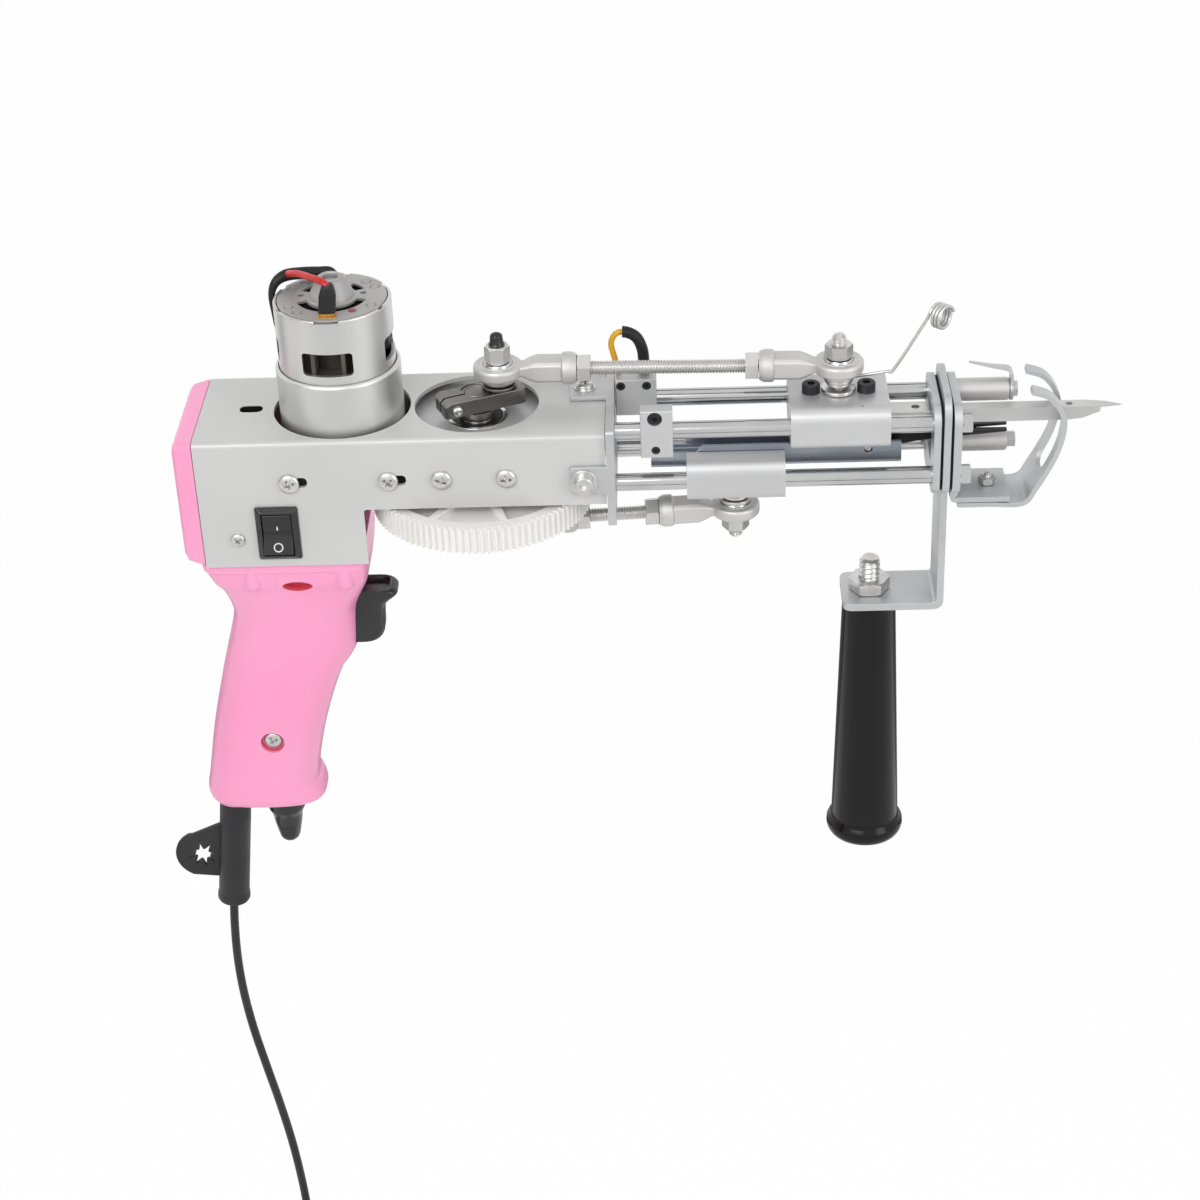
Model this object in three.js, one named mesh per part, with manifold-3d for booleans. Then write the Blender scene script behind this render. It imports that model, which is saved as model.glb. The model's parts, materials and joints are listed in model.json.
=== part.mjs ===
// A handheld tufting machine for cut-pile rugs.
//
// A motor drives a nylon gear. A crank on the gear's shaft pushes the needle carriage through the upper
// connecting rod, and a pin under the gear pushes the scissor carriage through the lower one. Both
// carriages run on four guide rods between the housing and the end plates.
//
// Millimetres, +Z up, +X towards the needle. The model is laid out from the crank axis, at the level of
// the housing's top sheet, and the whole is then moved so that the origin lies in the pistol grip.

import * as THREE from "three";
import { mergeVertices } from "three/addons/utils/BufferGeometryUtils.js";
import Module from "manifold-3d";

const wasm = await Module();
wasm.setup();

// Driving dimensions: fits and standard parts
const seat = 0.3;
const boltRadius = 2.5;
const nutAcrossCorners = 9.2;
const nutHeight = 4;

// Driving dimensions: gear train
const gearModule = 0.8;
const gearTeeth = 99;
const pinionTeeth = 23;
const gearThickness = 10;
const gearHubRadius = 14;
const gearRimWidth = 5;
const gearWebDepth = 2.5;
const gearRibs = 8;
const gearRibPhase = THREE.MathUtils.degToRad(16.5);
const shaftRadius = 4;
const gearRunClearance = 1.8;
const crankThrow = 9;
const crankStandoff = 2.9;
const armTop = 4.9;
const armBottom = -1;
const armBeyondPin = 8.2;
const armTail = 14;
const armHalfWidth = 6;
const needlePhase = THREE.MathUtils.degToRad(24);
const scissorPhase = THREE.MathUtils.degToRad(-49);

// Driving dimensions: housing
const sheet = 1.5;
const bendRadius = 2.5;
const noseBeyondGear = 6.9;
const housingBehindMotor = 51.5;
const frontDepth = 28.1;
const skirtBelowGear = 10.8;
const notchAheadOfMotor = 7.7;
const crankHoleRadius = 22.6;
const capThickness = 7.5;
const capEarClearance = 2.7;
const capEarDrop = 34;
const screwSlotLength = 8;
const screwSlotHeight = 4;
const screwSlotPlaces = [-15.5, 20];
const sideScrewDrop = 16.4;
const rockerWidth = 15.6;
const rockerHeight = 21.6;
const rockerBehindMotor = 23.8;
const rockerDrop = 36.6;
const bezelLip = 1;
const bezelWall = 1.2;
const mountClearance = 1.5;
const rockerTilt = THREE.MathUtils.degToRad(9);

// Driving dimensions: motor
const canRadius = 21;
const canWall = 1.5;
const canAboveGear = 6.7;
const canLength = 66.7;
const ringWall = 1.2;
const ringClearance = 2.75;
const ringDrop = 24.5;
const ringLength = 36;
const motorHoleGap = 2.4;
const windowWidth = 18;
const windowHeight = 8.7;
const windowDrop = 21.2;
const motorShaftRadius = 2.5;

// Driving dimensions: bearings and their carrier
const bearingRadius = 11;
const bearingHeight = 7;
const recessDepth = 4.8;
const carrierHalfLength = 23.5;

// Driving dimensions: guide rods and end plates
const rodRadius = 3.2;
const rodSpread = 13;
const upperRodDrop = 6.1;
const railClearance = 13.35;
const slideToPlate = 14.45;
const frontPlateThickness = 3;
const plateToRod = 6.4;
const endPlateThickness = 3.2;
const endPlateMargin = 5;
const endPlateCorner = 8;
const bracketThickness = 3;
const lugLength = 13;
const lugThickness = 1.5;
const spacerLength = 19.5;
const spacerRadius = 4.25;
const spacerStud = 3;
const windowHalfWidth = 8;
const windowClearance = 2.9;
const windowLip = 1;
const farClampLength = 15;
const farClampTop = 9.7;
const nearClampLength = 11.6;
const clampDrop = 4.8;

// Driving dimensions: carriages, rod ends and connecting rods
const carriageLength = 35.6;
const carriageWall = 0.5;
const carriageHeight = 15;
const carriageCorner = 4;
const needleRodLength = 122.45;
const scissorRodLength = 87.5;
const rodEndRadius = 9;
const rodEndThickness = 6;
const ballWidth = 8;
const ballRadius = 6.4;
const rodEndLength = 28.5;
const rodEndNeck = 4.1;
const collarRadius = 5.2;
const collarLength = 5.5;
const washerRadius = 6.3;
const carriageStandoff = 6.3;
const lowerRodHeight = 7.55;

// Driving dimensions: needle, scissors, presser foot
const needleBarWidth = 8.5;
const needleBarHeight = 4.5;
const needleWidth = 5.5;
const needleHeight = 5.3;
const needleReach = 59;
const needleDepth = 7.4;
const bladeThickness = 1.5;
const channelHalfWidth = 7;
const channelHeight = 8.7;
const channelFloor = 9.4;
const channelTail = 12.8;
const channelToPlate = 7.1;
const bladePinHeight = 5.8;
const bladePinInset = 12;
const footWidth = 22;
const footSlot = 12;
const footThickness = 1.8;
const shelfDrop = 38;
const shelfThickness = 2;
const shelfLength = 19;
const footBoltRadius = 1.5;
const footBoltAhead = 11.5;

// Driving dimensions: grip, trigger, side handle
const gripSplit = 0.3;
const reliefRadius = 6.2;
const triggerWidth = 13;
const triggerTravel = 6;
const triggerClearance = 0.6;
const handleBehindBracket = 24;
const handleStudRadius = 4;
const legDrop = 82;
const legWidth = 24;
const sideHandleLength = 108.5;
const sideHandleTopRadius = 10;
const sideHandleBottomRadius = 13;
const sideHandleFlange = 15;

// Driving dimensions: leads
const leadRadius = 1.75;
const coilGap = 0.5;
const coilMiddleRadius = 20.8;
const coilTurnsPerLayer = 2.3125;
const coilLayers = 4;
const coilSteps = 14;
const motorWireRadius = 0.85;

// Worked out places
const pitchRadius = (gearModule * gearTeeth) / 2;
const pinionPitchRadius = (gearModule * pinionTeeth) / 2;
const motorX = -(pitchRadius + pinionPitchRadius);
const ringRadius = canRadius + seat + ringWall;
const innerHalfWidth = ringRadius + ringClearance;
const housingWidth = 2 * (innerHalfWidth + sheet);
const housingFront = pitchRadius + noseBeyondGear;
const housingRear = motorX - housingBehindMotor;
const notchX = motorX + notchAheadOfMotor;
const rockerX = motorX - rockerBehindMotor;
const rockerPinY = -housingWidth / 2 - seat + 0.5;
const gearTop = -frontDepth - gearRunClearance;
const gearBottom = gearTop - gearThickness;
const rearDepth = skirtBelowGear - gearBottom;
const canTop = gearTop + canAboveGear + canLength;
const ringTop = canTop - ringDrop;
const windowBase = canTop - windowDrop;
const frontPlateX = housingFront + seat;
const rearPlateX = crankThrow + needleRodLength + carriageLength / 2 + slideToPlate;
const bracketX = rearPlateX + endPlateThickness + seat;
const frontEndX = bracketX + bracketThickness + seat;
const headX = frontEndX + endPlateThickness + seat;
const endPlateSize = 2 * (rodSpread + endPlateMargin);
const carriageWidth = 2 * (rodSpread + rodRadius + seat + carriageWall);

// The upper carriage hangs below its connecting rod, and the lower rods, carriage and channel follow it.
// The lower connecting rod clears both the gear and the lower carriage.
const upperEyeZ = armTop + crankStandoff + ballWidth / 2;
const upperCarriageTop = upperEyeZ - ballWidth / 2 - carriageStandoff;
const lowerRodDrop = carriageHeight - upperCarriageTop + railClearance;
const plateMiddle = -(upperRodDrop + lowerRodDrop) / 2;
const lowerCarriageBottom = -lowerRodDrop - lowerRodHeight;
const rodHalfDepth = Math.max(collarRadius, nutAcrossCorners / 2);
const lowerEyeZ = Math.min(
  gearBottom - seat - rodHalfDepth,
  lowerCarriageBottom - carriageStandoff - ballWidth / 2,
);
const lowerStandoff = lowerCarriageBottom - ballWidth / 2 - lowerEyeZ;
const frontPlateDrop = -lowerEyeZ - boltRadius - plateToRod;
const needleTop = upperCarriageTop - needleDepth;
const channelBottom = lowerCarriageBottom + channelFloor;
const channelTop = channelBottom + channelHeight;
const windowTop = needleTop + windowClearance;
const windowBottom = channelBottom + windowLip;
const needlePin = [crankThrow * Math.cos(needlePhase), crankThrow * Math.sin(needlePhase)];
const scissorPin = [crankThrow * Math.cos(scissorPhase), crankThrow * Math.sin(scissorPhase)];
const needleStudX = needlePin[0] + Math.sqrt(needleRodLength ** 2 - needlePin[1] ** 2);
const scissorStudX = scissorPin[0] + Math.sqrt(scissorRodLength ** 2 - scissorPin[1] ** 2);
const needleCarriageX = needleStudX - carriageLength / 2;
const scissorCarriageX = scissorStudX - carriageLength / 2;
const handleX = bracketX - handleBehindBracket;
const gripOrigin = new THREE.Vector3(housingRear + 16.3, 0, -rearDepth - 64.3);

// Geometry helpers

function welded(geometry) {
  const bare = geometry.index ? geometry.toNonIndexed() : geometry.clone();
  bare.deleteAttribute("normal");
  bare.deleteAttribute("uv");
  const merged = mergeVertices(bare, 1e-4);
  const corners = merged.index.array;
  const kept = [];
  for (let i = 0; i < corners.length; i += 3) {
    const [a, b, c] = [corners[i], corners[i + 1], corners[i + 2]];
    if (a !== b && b !== c && c !== a) kept.push(a, b, c);
  }
  merged.setIndex(kept);
  return merged;
}

function solid(geometry) {
  const closed = welded(geometry);
  return new wasm.Manifold(new wasm.Mesh({
    numProp: 3,
    vertProperties: new Float32Array(closed.attributes.position.array),
    triVerts: new Uint32Array(closed.index.array),
  }));
}

function surface(body) {
  const mesh = body.getMesh();
  const geometry = new THREE.BufferGeometry();
  geometry.setAttribute("position", new THREE.BufferAttribute(new Float32Array(mesh.vertProperties), 3));
  geometry.setIndex(new THREE.BufferAttribute(new Uint32Array(mesh.triVerts), 1));
  return geometry;
}

function join(...pieces) {
  return pieces.map((piece) => solid(piece)).reduce((whole, piece) => whole.add(piece));
}

function cut(body, ...tools) {
  return tools.reduce((whole, tool) => whole.subtract(solid(tool)), body);
}

function box(x0, x1, y0, y1, z0, z1) {
  const geometry = new THREE.BoxGeometry(x1 - x0, y1 - y0, z1 - z0);
  return geometry.translate((x0 + x1) / 2, (y0 + y1) / 2, (z0 + z1) / 2);
}

function rodAlongX(radius, x0, x1, y, z, sides = 14) {
  const geometry = new THREE.CylinderGeometry(radius, radius, x1 - x0, sides).rotateZ(-Math.PI / 2);
  return geometry.translate((x0 + x1) / 2, y, z);
}

function rodAlongY(radius, y0, y1, x, z, sides = 12) {
  return new THREE.CylinderGeometry(radius, radius, y1 - y0, sides).translate(x, (y0 + y1) / 2, z);
}

function rodAlongZ(radius, z0, z1, x = 0, y = 0, sides = 16) {
  const geometry = new THREE.CylinderGeometry(radius, radius, z1 - z0, sides).rotateX(Math.PI / 2);
  return geometry.translate(x, y, (z0 + z1) / 2);
}

// A profile of [radius, z] points turned about Z
function turned(profile, sides, x = 0, y = 0) {
  const points = profile.map(([radius, z]) => new THREE.Vector2(radius, z));
  return new THREE.LatheGeometry(points, sides).rotateX(Math.PI / 2).translate(x, y, 0);
}

// A profile of [radius, x] points turned about X
function turnedAlongX(profile, sides) {
  const points = profile.map(([radius, x]) => new THREE.Vector2(radius, x));
  return new THREE.LatheGeometry(points, sides).rotateZ(-Math.PI / 2);
}

function outline(points) {
  return new THREE.Shape(points.map(([a, b]) => new THREE.Vector2(a, b)));
}

function roundedRectangle(a0, a1, b0, b1, radius) {
  const shape = new THREE.Shape();
  shape.moveTo(a0 + radius, b0);
  shape.lineTo(a1 - radius, b0);
  shape.absarc(a1 - radius, b0 + radius, radius, -Math.PI / 2, 0);
  shape.absarc(a1 - radius, b1 - radius, radius, 0, Math.PI / 2);
  shape.absarc(a0 + radius, b1 - radius, radius, Math.PI / 2, Math.PI);
  shape.absarc(a0 + radius, b0 + radius, radius, Math.PI, Math.PI * 1.5);
  return shape;
}

function extruded(shape, depth, curveSegments = 4) {
  return new THREE.ExtrudeGeometry(shape, { depth, bevelEnabled: false, curveSegments });
}

// A shape drawn in Y and Z, pushed along X
function prismX(shape, x0, x1, curveSegments) {
  const turn = new THREE.Matrix4().makeBasis(
    new THREE.Vector3(0, 1, 0),
    new THREE.Vector3(0, 0, 1),
    new THREE.Vector3(1, 0, 0),
  );
  return extruded(shape, x1 - x0, curveSegments).applyMatrix4(turn).translate(x0, 0, 0);
}

// A shape drawn in X and Z, pushed along Y
function prismY(shape, y0, y1, curveSegments) {
  return extruded(shape, y1 - y0, curveSegments).rotateX(Math.PI / 2).translate(0, y1, 0);
}

function prismZ(shape, z0, z1, curveSegments) {
  return extruded(shape, z1 - z0, curveSegments).translate(0, 0, z0);
}

function slot(x0, x1, z, height, y0, y1) {
  return prismY(roundedRectangle(x0, x1, z - height / 2, z + height / 2, height / 2 - 0.01), y0, y1, 2);
}

// A skin over rings that all have the same number of points, closed by a fan at each end
function lofted(rings) {
  const count = rings[0].length;
  const positions = rings.flat().flatMap((point) => point.toArray());
  const corners = [];
  for (let row = 0; row + 1 < rings.length; row += 1) {
    for (let i = 0; i < count; i += 1) {
      const next = (i + 1) % count;
      const [a, b] = [row * count + i, row * count + next];
      corners.push(a, b, b + count, a, b + count, a + count);
    }
  }
  const ends = [[0, true], [(rings.length - 1) * count, false]];
  for (const [first, backwards] of ends) {
    const ring = rings[first / count];
    const middle = ring.reduce((sum, point) => sum.add(point), new THREE.Vector3()).divideScalar(count);
    const hub = positions.length / 3;
    positions.push(...middle.toArray());
    for (let i = 0; i < count; i += 1) {
      const [a, b] = [first + i, first + ((i + 1) % count)];
      if (backwards) corners.push(hub, b, a);
      else corners.push(hub, a, b);
    }
  }
  const geometry = new THREE.BufferGeometry();
  geometry.setAttribute("position", new THREE.BufferAttribute(new Float32Array(positions), 3));
  geometry.setIndex(corners);
  return geometry;
}

// A round wire along a list of points, with its section carried along without twist
function wire(points, radius, sides) {
  let across = null;
  const rings = points.map((point, i) => {
    const before = points[Math.max(i - 1, 0)];
    const after = points[Math.min(i + 1, points.length - 1)];
    const ahead = after.clone().sub(before).normalize();
    if (!across) {
      const guess = Math.abs(ahead.z) < 0.9 ? new THREE.Vector3(0, 0, 1) : new THREE.Vector3(1, 0, 0);
      across = new THREE.Vector3().crossVectors(guess, ahead);
    }
    across.addScaledVector(ahead, -across.dot(ahead)).normalize();
    const up = new THREE.Vector3().crossVectors(ahead, across);
    return Array.from({ length: sides }, (unused, k) => {
      const angle = (2 * Math.PI * k) / sides;
      return point.clone()
        .addScaledVector(across, radius * Math.cos(angle))
        .addScaledVector(up, radius * Math.sin(angle));
    });
  });
  return lofted(rings);
}

function tube(points, radius, steps, sides) {
  const path = new THREE.CatmullRomCurve3(points.map((point) => new THREE.Vector3(...point)));
  const section = new THREE.Shape();
  for (let k = 0; k < sides; k += 1) {
    const angle = (2 * Math.PI * k) / sides;
    const [a, b] = [radius * Math.cos(angle), radius * Math.sin(angle)];
    if (k === 0) section.moveTo(a, b);
    else section.lineTo(a, b);
  }
  return new THREE.ExtrudeGeometry(section, { steps, bevelEnabled: false, extrudePath: path });
}

function hexNut(x, y, z0, z1, cornerRadius = nutAcrossCorners / 2) {
  return rodAlongZ(cornerRadius, z0, z1, x, y, 6);
}

// A spur gear's outline, with straight flanks and a little backlash
function toothedOutline(teeth, holes = []) {
  const pitch = (2 * Math.PI) / teeth;
  const radius = (gearModule * teeth) / 2;
  const [tip, root] = [radius + gearModule * 0.92, radius - gearModule * 1.15];
  const [tipHalf, rootHalf] = [pitch * 0.1, pitch * 0.32];
  const points = [];
  for (let tooth = 0; tooth < teeth; tooth += 1) {
    const middle = tooth * pitch;
    for (const [r, offset] of [[root, -rootHalf], [tip, -tipHalf], [tip, tipHalf], [root, rootHalf]]) {
      points.push([r * Math.cos(middle + offset), r * Math.sin(middle + offset)]);
    }
  }
  const shape = outline(points);
  shape.holes.push(...holes);
  return shape;
}

function circle(radius, x = 0, y = 0) {
  return new THREE.Path().absarc(x, y, radius, 0, 2 * Math.PI, true);
}

// Materials

function finish(color, roughness, metalness) {
  return new THREE.MeshStandardMaterial({ color, roughness, metalness });
}

const paintedSheet = finish(0xd4d4d2, 0.5, 0.2);
const pinkPlastic = finish(0xfa9fca, 0.3, 0);
const blackPlastic = finish(0x2a2a2c, 0.35, 0);
const whiteNylon = finish(0xecebe6, 0.45, 0);
const plainSteel = finish(0xb4b4b4, 0.3, 1);
const polishedSteel = finish(0xc8c8ca, 0.18, 1);
const satinAlloy = finish(0xc9c9c7, 0.45, 0.8);
const zincPlate = finish(0xa9b4c2, 0.35, 0.9);
const darkSteel = finish(0x3c3c3e, 0.35, 0.9);
const redInsulation = finish(0xc81e1e, 0.45, 0);
const yellowInsulation = finish(0xe0a81a, 0.45, 0);

// Housing

function housing() {
  const [side, bottom] = [housingWidth / 2, -rearDepth];
  const profile = new THREE.Shape();
  profile.moveTo(-side, bottom);
  profile.lineTo(-innerHalfWidth, bottom);
  profile.lineTo(-innerHalfWidth, -sheet);
  profile.lineTo(innerHalfWidth, -sheet);
  profile.lineTo(innerHalfWidth, bottom);
  profile.lineTo(side, bottom);
  profile.lineTo(side, -bendRadius);
  profile.absarc(side - bendRadius, -bendRadius, bendRadius, 0, Math.PI / 2);
  profile.lineTo(bendRadius - side, 0);
  profile.absarc(bendRadius - side, -bendRadius, bendRadius, Math.PI / 2, Math.PI);
  const channel = solid(prismX(profile, housingRear, housingFront, 3));
  const [beyond, near] = [side + 1, innerHalfWidth - 1];
  const cableSlot = prismZ(
    roundedRectangle(motorX - 37.5, motorX - 29, -1.8, 1.8, 1.75), -sheet - 1, 1, 2,
  );
  const screwSlots = screwSlotPlaces.flatMap((place) => {
    const [x0, x1] = [motorX + place - screwSlotLength / 2, motorX + place + screwSlotLength / 2];
    return [
      slot(x0, x1, -sideScrewDrop, screwSlotHeight, -beyond, -near),
      slot(x0, x1, -sideScrewDrop, screwSlotHeight, near, beyond),
    ];
  });
  return cut(
    channel,
    box(notchX, housingFront + 1, -beyond, beyond, -rearDepth - 1, -frontDepth),
    rodAlongZ(ringRadius + motorHoleGap, -sheet - 1, 1, motorX, 0, 28),
    rodAlongZ(crankHoleRadius, -sheet - 1, 1, 0, 0, 28),
    cableSlot,
    ...screwSlots,
    box(
      rockerX - rockerWidth / 2 + bezelLip, rockerX + rockerWidth / 2 - bezelLip, -beyond, -near,
      -rockerDrop - rockerHeight / 2 + bezelLip, -rockerDrop + rockerHeight / 2 - bezelLip,
    ),
  );
}

function rectangleRing(x, halfWidth, z0, z1, radius) {
  const shape = roundedRectangle(-halfWidth, halfWidth, z0, z1, radius);
  return shape.extractPoints(3).shape.map((point) => new THREE.Vector3(x, point.x, point.y));
}

function rearCap() {
  const front = housingRear - seat;
  const side = housingWidth / 2;
  const shell = lofted([
    rectangleRing(front - capThickness, side - 2.4, -rearDepth + 3, -2.4, 3),
    rectangleRing(front - capThickness + 1.4, side - 1.2, -rearDepth + 1.6, -1.2, 2.6),
    rectangleRing(front, side, -rearDepth, 0, bendRadius),
  ]);
  const ears = [-1, 1].map((hand) => {
    const [inner, outer] = [hand * (innerHalfWidth - 2.5), hand * (innerHalfWidth - seat)];
    const tip = rockerX - rockerWidth / 2 - capEarClearance;
    return box(front - 1, tip, Math.min(inner, outer), Math.max(inner, outer), -capEarDrop - 10, -capEarDrop);
  });
  return join(shell, ...ears);
}

function rockerBezel() {
  const [half, tall, face] = [rockerWidth / 2, rockerHeight / 2, -housingWidth / 2 - seat];
  const outer = roundedRectangle(rockerX - half, rockerX + half, -rockerDrop - tall, -rockerDrop + tall, 1);
  const flange = prismY(outer, face - 2, face);
  const inset = bezelLip + seat;
  const bodyBox = box(
    rockerX - half + inset, rockerX + half - inset, face - 0.5, -innerHalfWidth + 11,
    -rockerDrop - tall + inset, -rockerDrop + tall - inset,
  );
  const rim = bezelLip + bezelWall;
  const mouth = box(
    rockerX - half + rim, rockerX + half - rim, face - 3, face + 8,
    -rockerDrop - tall + rim, -rockerDrop + tall - rim,
  );
  return cut(join(flange, bodyBox), mouth);
}

// The rocker turns on a pin just inside the wall. Its ends are arcs about that pin, and at rest its
// upper half is pressed in.
function rocker() {
  const half = rockerWidth / 2 - bezelLip - bezelWall - seat;
  const reach = rockerHeight / 2 - bezelLip - bezelWall - 0.4;
  const corners = [];
  for (const hand of [-1, 1]) {
    for (const degrees of [70, 82, 97, 112]) {
      const angle = THREE.MathUtils.degToRad(degrees);
      corners.push([-reach * Math.cos(angle), hand * reach * Math.sin(angle)]);
    }
  }
  const [lower, upper] = [corners.slice(0, 4), corners.slice(4).reverse()];
  const profile = prismX(outline([...lower, ...upper, [-1.9, 0]]), rockerX - half, rockerX + half);
  return profile.rotateX(-rockerTilt).translate(0, rockerPinY, -rockerDrop);
}

// Motor

function motorCan() {
  const bottom = canTop - canLength;
  const can = turned([
    [motorShaftRadius + 0.5, bottom],
    [canRadius, bottom],
    [canRadius, canTop - 1],
    [canRadius - canWall, canTop - 1],
    [canRadius - canWall, bottom + canWall],
    [motorShaftRadius + 0.5, bottom + canWall],
    [motorShaftRadius + 0.5, bottom],
  ], 28, motorX);
  const windows = [0, 1, 2, 3].map((quarter) => {
    const opening = roundedRectangle(-windowWidth / 2, windowWidth / 2, windowBase, windowBase + windowHeight, 1.6);
    return prismX(opening, canRadius - 4, canRadius + 1, 1).rotateZ((quarter * Math.PI) / 2).translate(motorX, 0, 0);
  });
  return cut(solid(can), ...windows);
}

function fluxRing() {
  const inner = canRadius + seat;
  return turned([
    [inner, ringTop - ringLength],
    [ringRadius, ringTop - ringLength],
    [ringRadius, ringTop],
    [inner, ringTop],
    [inner, ringTop - ringLength],
  ], 28, motorX);
}

function motorEndCap() {
  const base = canTop - 1 + seat;
  const cap = turned([
    [motorShaftRadius + 0.4, base],
    [canRadius - 0.2, base],
    [canRadius - 0.2, base + 0.9],
    [canRadius - 1.2, base + 1.5],
    [6.8, base + 1.5],
    [6.2, base + 4.6],
    [motorShaftRadius + 0.4, base + 4.6],
    [motorShaftRadius + 0.4, base],
  ], 20, motorX);
  const vents = [0, 1, 2, 3].map((quarter) => {
    const arc = new THREE.Shape();
    const [start, end] = [(quarter + 0.66) * (Math.PI / 2), (quarter + 1.34) * (Math.PI / 2)];
    arc.absarc(0, 0, 11.6, start, end);
    arc.absarc(0, 0, 8.8, end, start, true);
    return prismZ(arc, base - 1, base + 3, 2).rotateZ(Math.PI / 4).translate(motorX, 0, 0);
  });
  const tags = [-1, 1].map((hand) => {
    const y = hand * 15.5;
    return box(motorX - 2.4, motorX + 2.4, y - 0.4, y + 0.4, base + 0.5, base + 7);
  });
  return cut(solid(cap), ...vents).add(join(...tags));
}

function motorRotor() {
  const bottom = canTop - canLength;
  const shaft = turned([
    [0, gearBottom],
    [motorShaftRadius, gearBottom],
    [motorShaftRadius, bottom + 4],
    [14, bottom + 6],
    [17.5, bottom + 10],
    [17.5, ringTop - 4],
    [12, ringTop],
    [8.5, ringTop + 2],
    [8.5, windowBase + windowHeight + 2],
    [motorShaftRadius, windowBase + windowHeight + 3],
    [motorShaftRadius, canTop + 3],
    [0, canTop + 3],
  ], 10);
  const pinion = prismZ(toothedOutline(pinionTeeth), gearBottom + seat, gearTop - seat);
  return join(shaft, pinion).translate(motorX, 0, 0);
}

function motorMount() {
  const top = canTop - canLength - seat;
  const [x0, x1] = [rockerX + rockerWidth / 2 + mountClearance, motorX + canRadius + 0.5];
  const wall = innerHalfWidth - seat;
  const base = box(x0, x1, -wall, wall, top - 4, top);
  const flangeTop = -sideScrewDrop + 6;
  const side = outline([
    [x0 - 7, flangeTop - 12], [x0, flangeTop - 12], [x0, top - 4],
    [x1, top - 4], [x1, flangeTop], [x0 - 7, flangeTop],
  ]);
  const flanges = [prismY(side, -wall, 2 - wall), prismY(side, wall - 2, wall)];
  const boss = rodAlongZ(6, top - 5, top + 1, motorX, 0, 20);
  return cut(join(base, ...flanges), boss);
}

// A lead down the side of the can, through the gap that the motor hole leaves
function motorLead() {
  const gapRadius = ringRadius + motorHoleGap / 2;
  const angle = THREE.MathUtils.degToRad(158);
  const [x, y] = [motorX + gapRadius * Math.cos(angle), gapRadius * Math.sin(angle)];
  return tube([
    [motorX - 0.5, 14.2, canTop + 7.5],
    [motorX - 6, 15.5, canTop + 9],
    [motorX - 13, 14.5, canTop + 8.5],
    [motorX - 19.5, 10.5, canTop + 4],
    [x - 0.2, y, canTop - 10],
    [x, y, ringTop + 4],
    [x, y, ringTop - 8],
    [x, y, 0],
    [x, y, -7],
  ], motorWireRadius, 22, 6);
}

// It is soldered along the near terminal and bends over the end cap to join the other lead
function redWire() {
  const [tagFace, radius] = [-15.5 + 0.4, 1.1];
  const y = tagFace + seat + radius;
  return tube([
    [motorX - 0.4, y, canTop + 1.2],
    [motorX - 0.4, y, canTop + 3.6],
    [motorX - 0.5, y + 0.5, canTop + 6.2],
    [motorX - 1.4, y + 3.2, canTop + 7.9],
    [motorX - 4.5, -4.5, canTop + 8.5],
    [motorX - 10, 3, canTop + 9],
    [motorX - 13.5, 10.5, canTop + 8.2],
  ], radius, 14, 6);
}

// Gear train

function driveGear() {
  const gear = prismZ(toothedOutline(gearTeeth, [circle(shaftRadius + seat)]), gearBottom, gearTop, 8);
  const rim = pitchRadius - gearRimWidth;
  const web = prismZ(
    (() => {
      const ring = new THREE.Shape();
      ring.absarc(0, 0, rim, 0, 2 * Math.PI);
      ring.holes.push(circle(gearHubRadius));
      return ring;
    })(),
    gearTop - gearWebDepth, gearTop + 1, 12,
  );
  const ribs = Array.from({ length: gearRibs }, (unused, i) => {
    const rib = box(gearHubRadius - 1, rim + 1, -1.5, 1.5, gearTop - gearWebDepth - 1, gearTop - 0.3);
    return solid(rib.rotateZ(gearRibPhase + (2 * Math.PI * i) / gearRibs));
  });
  return ribs.reduce((whole, rib) => whole.add(rib), cut(solid(gear), web));
}

function crankShaft() {
  return turned([
    [0, gearBottom],
    [shaftRadius, gearBottom],
    [shaftRadius, -recessDepth + seat],
    [6.5, -recessDepth + seat],
    [6.5, armBottom - seat],
    [shaftRadius, armBottom - seat],
    [shaftRadius, armTop - 0.6],
    [0, armTop - 0.6],
  ], 16);
}

function crankArm() {
  const shape = roundedRectangle(-armTail, crankThrow + armBeyondPin, -armHalfWidth, armHalfWidth, 2);
  const bar = prismZ(shape, armBottom, armTop, 4);
  const shaftHole = rodAlongZ(shaftRadius + seat, armBottom - 1, armTop + 1);
  const groove = new THREE.Shape();
  groove.absarc(0, 0, 5.9, -0.9, 2.6);
  groove.absarc(0, 0, 5.2, 2.6, -0.9, true);
  const slit = box(-armTail - 1, -shaftRadius, -0.6, 0.6, armBottom - 1, armTop + 1);
  const bevel = new THREE.BoxGeometry(6, 14, 4).rotateY(-0.6).translate(-armTail - 0.6, 0, armTop + 0.6);
  const turn = THREE.MathUtils.radToDeg(needlePhase);
  return cut(solid(bar), prismZ(groove, armTop - 0.8, armTop + 1, 5), slit, bevel, shaftHole).rotate([0, 0, turn]);
}

function bearing(top) {
  const bottom = top - bearingHeight;
  const [inner, outer] = [shaftRadius + seat, bearingRadius];
  return turned([
    [inner, bottom],
    [outer, bottom],
    [outer, top],
    [outer - 1.6, top],
    [outer - 1.6, top - 0.5],
    [inner + 1.8, top - 0.5],
    [inner + 1.8, top],
    [inner, top],
    [inner, bottom],
  ], 14);
}

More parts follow.
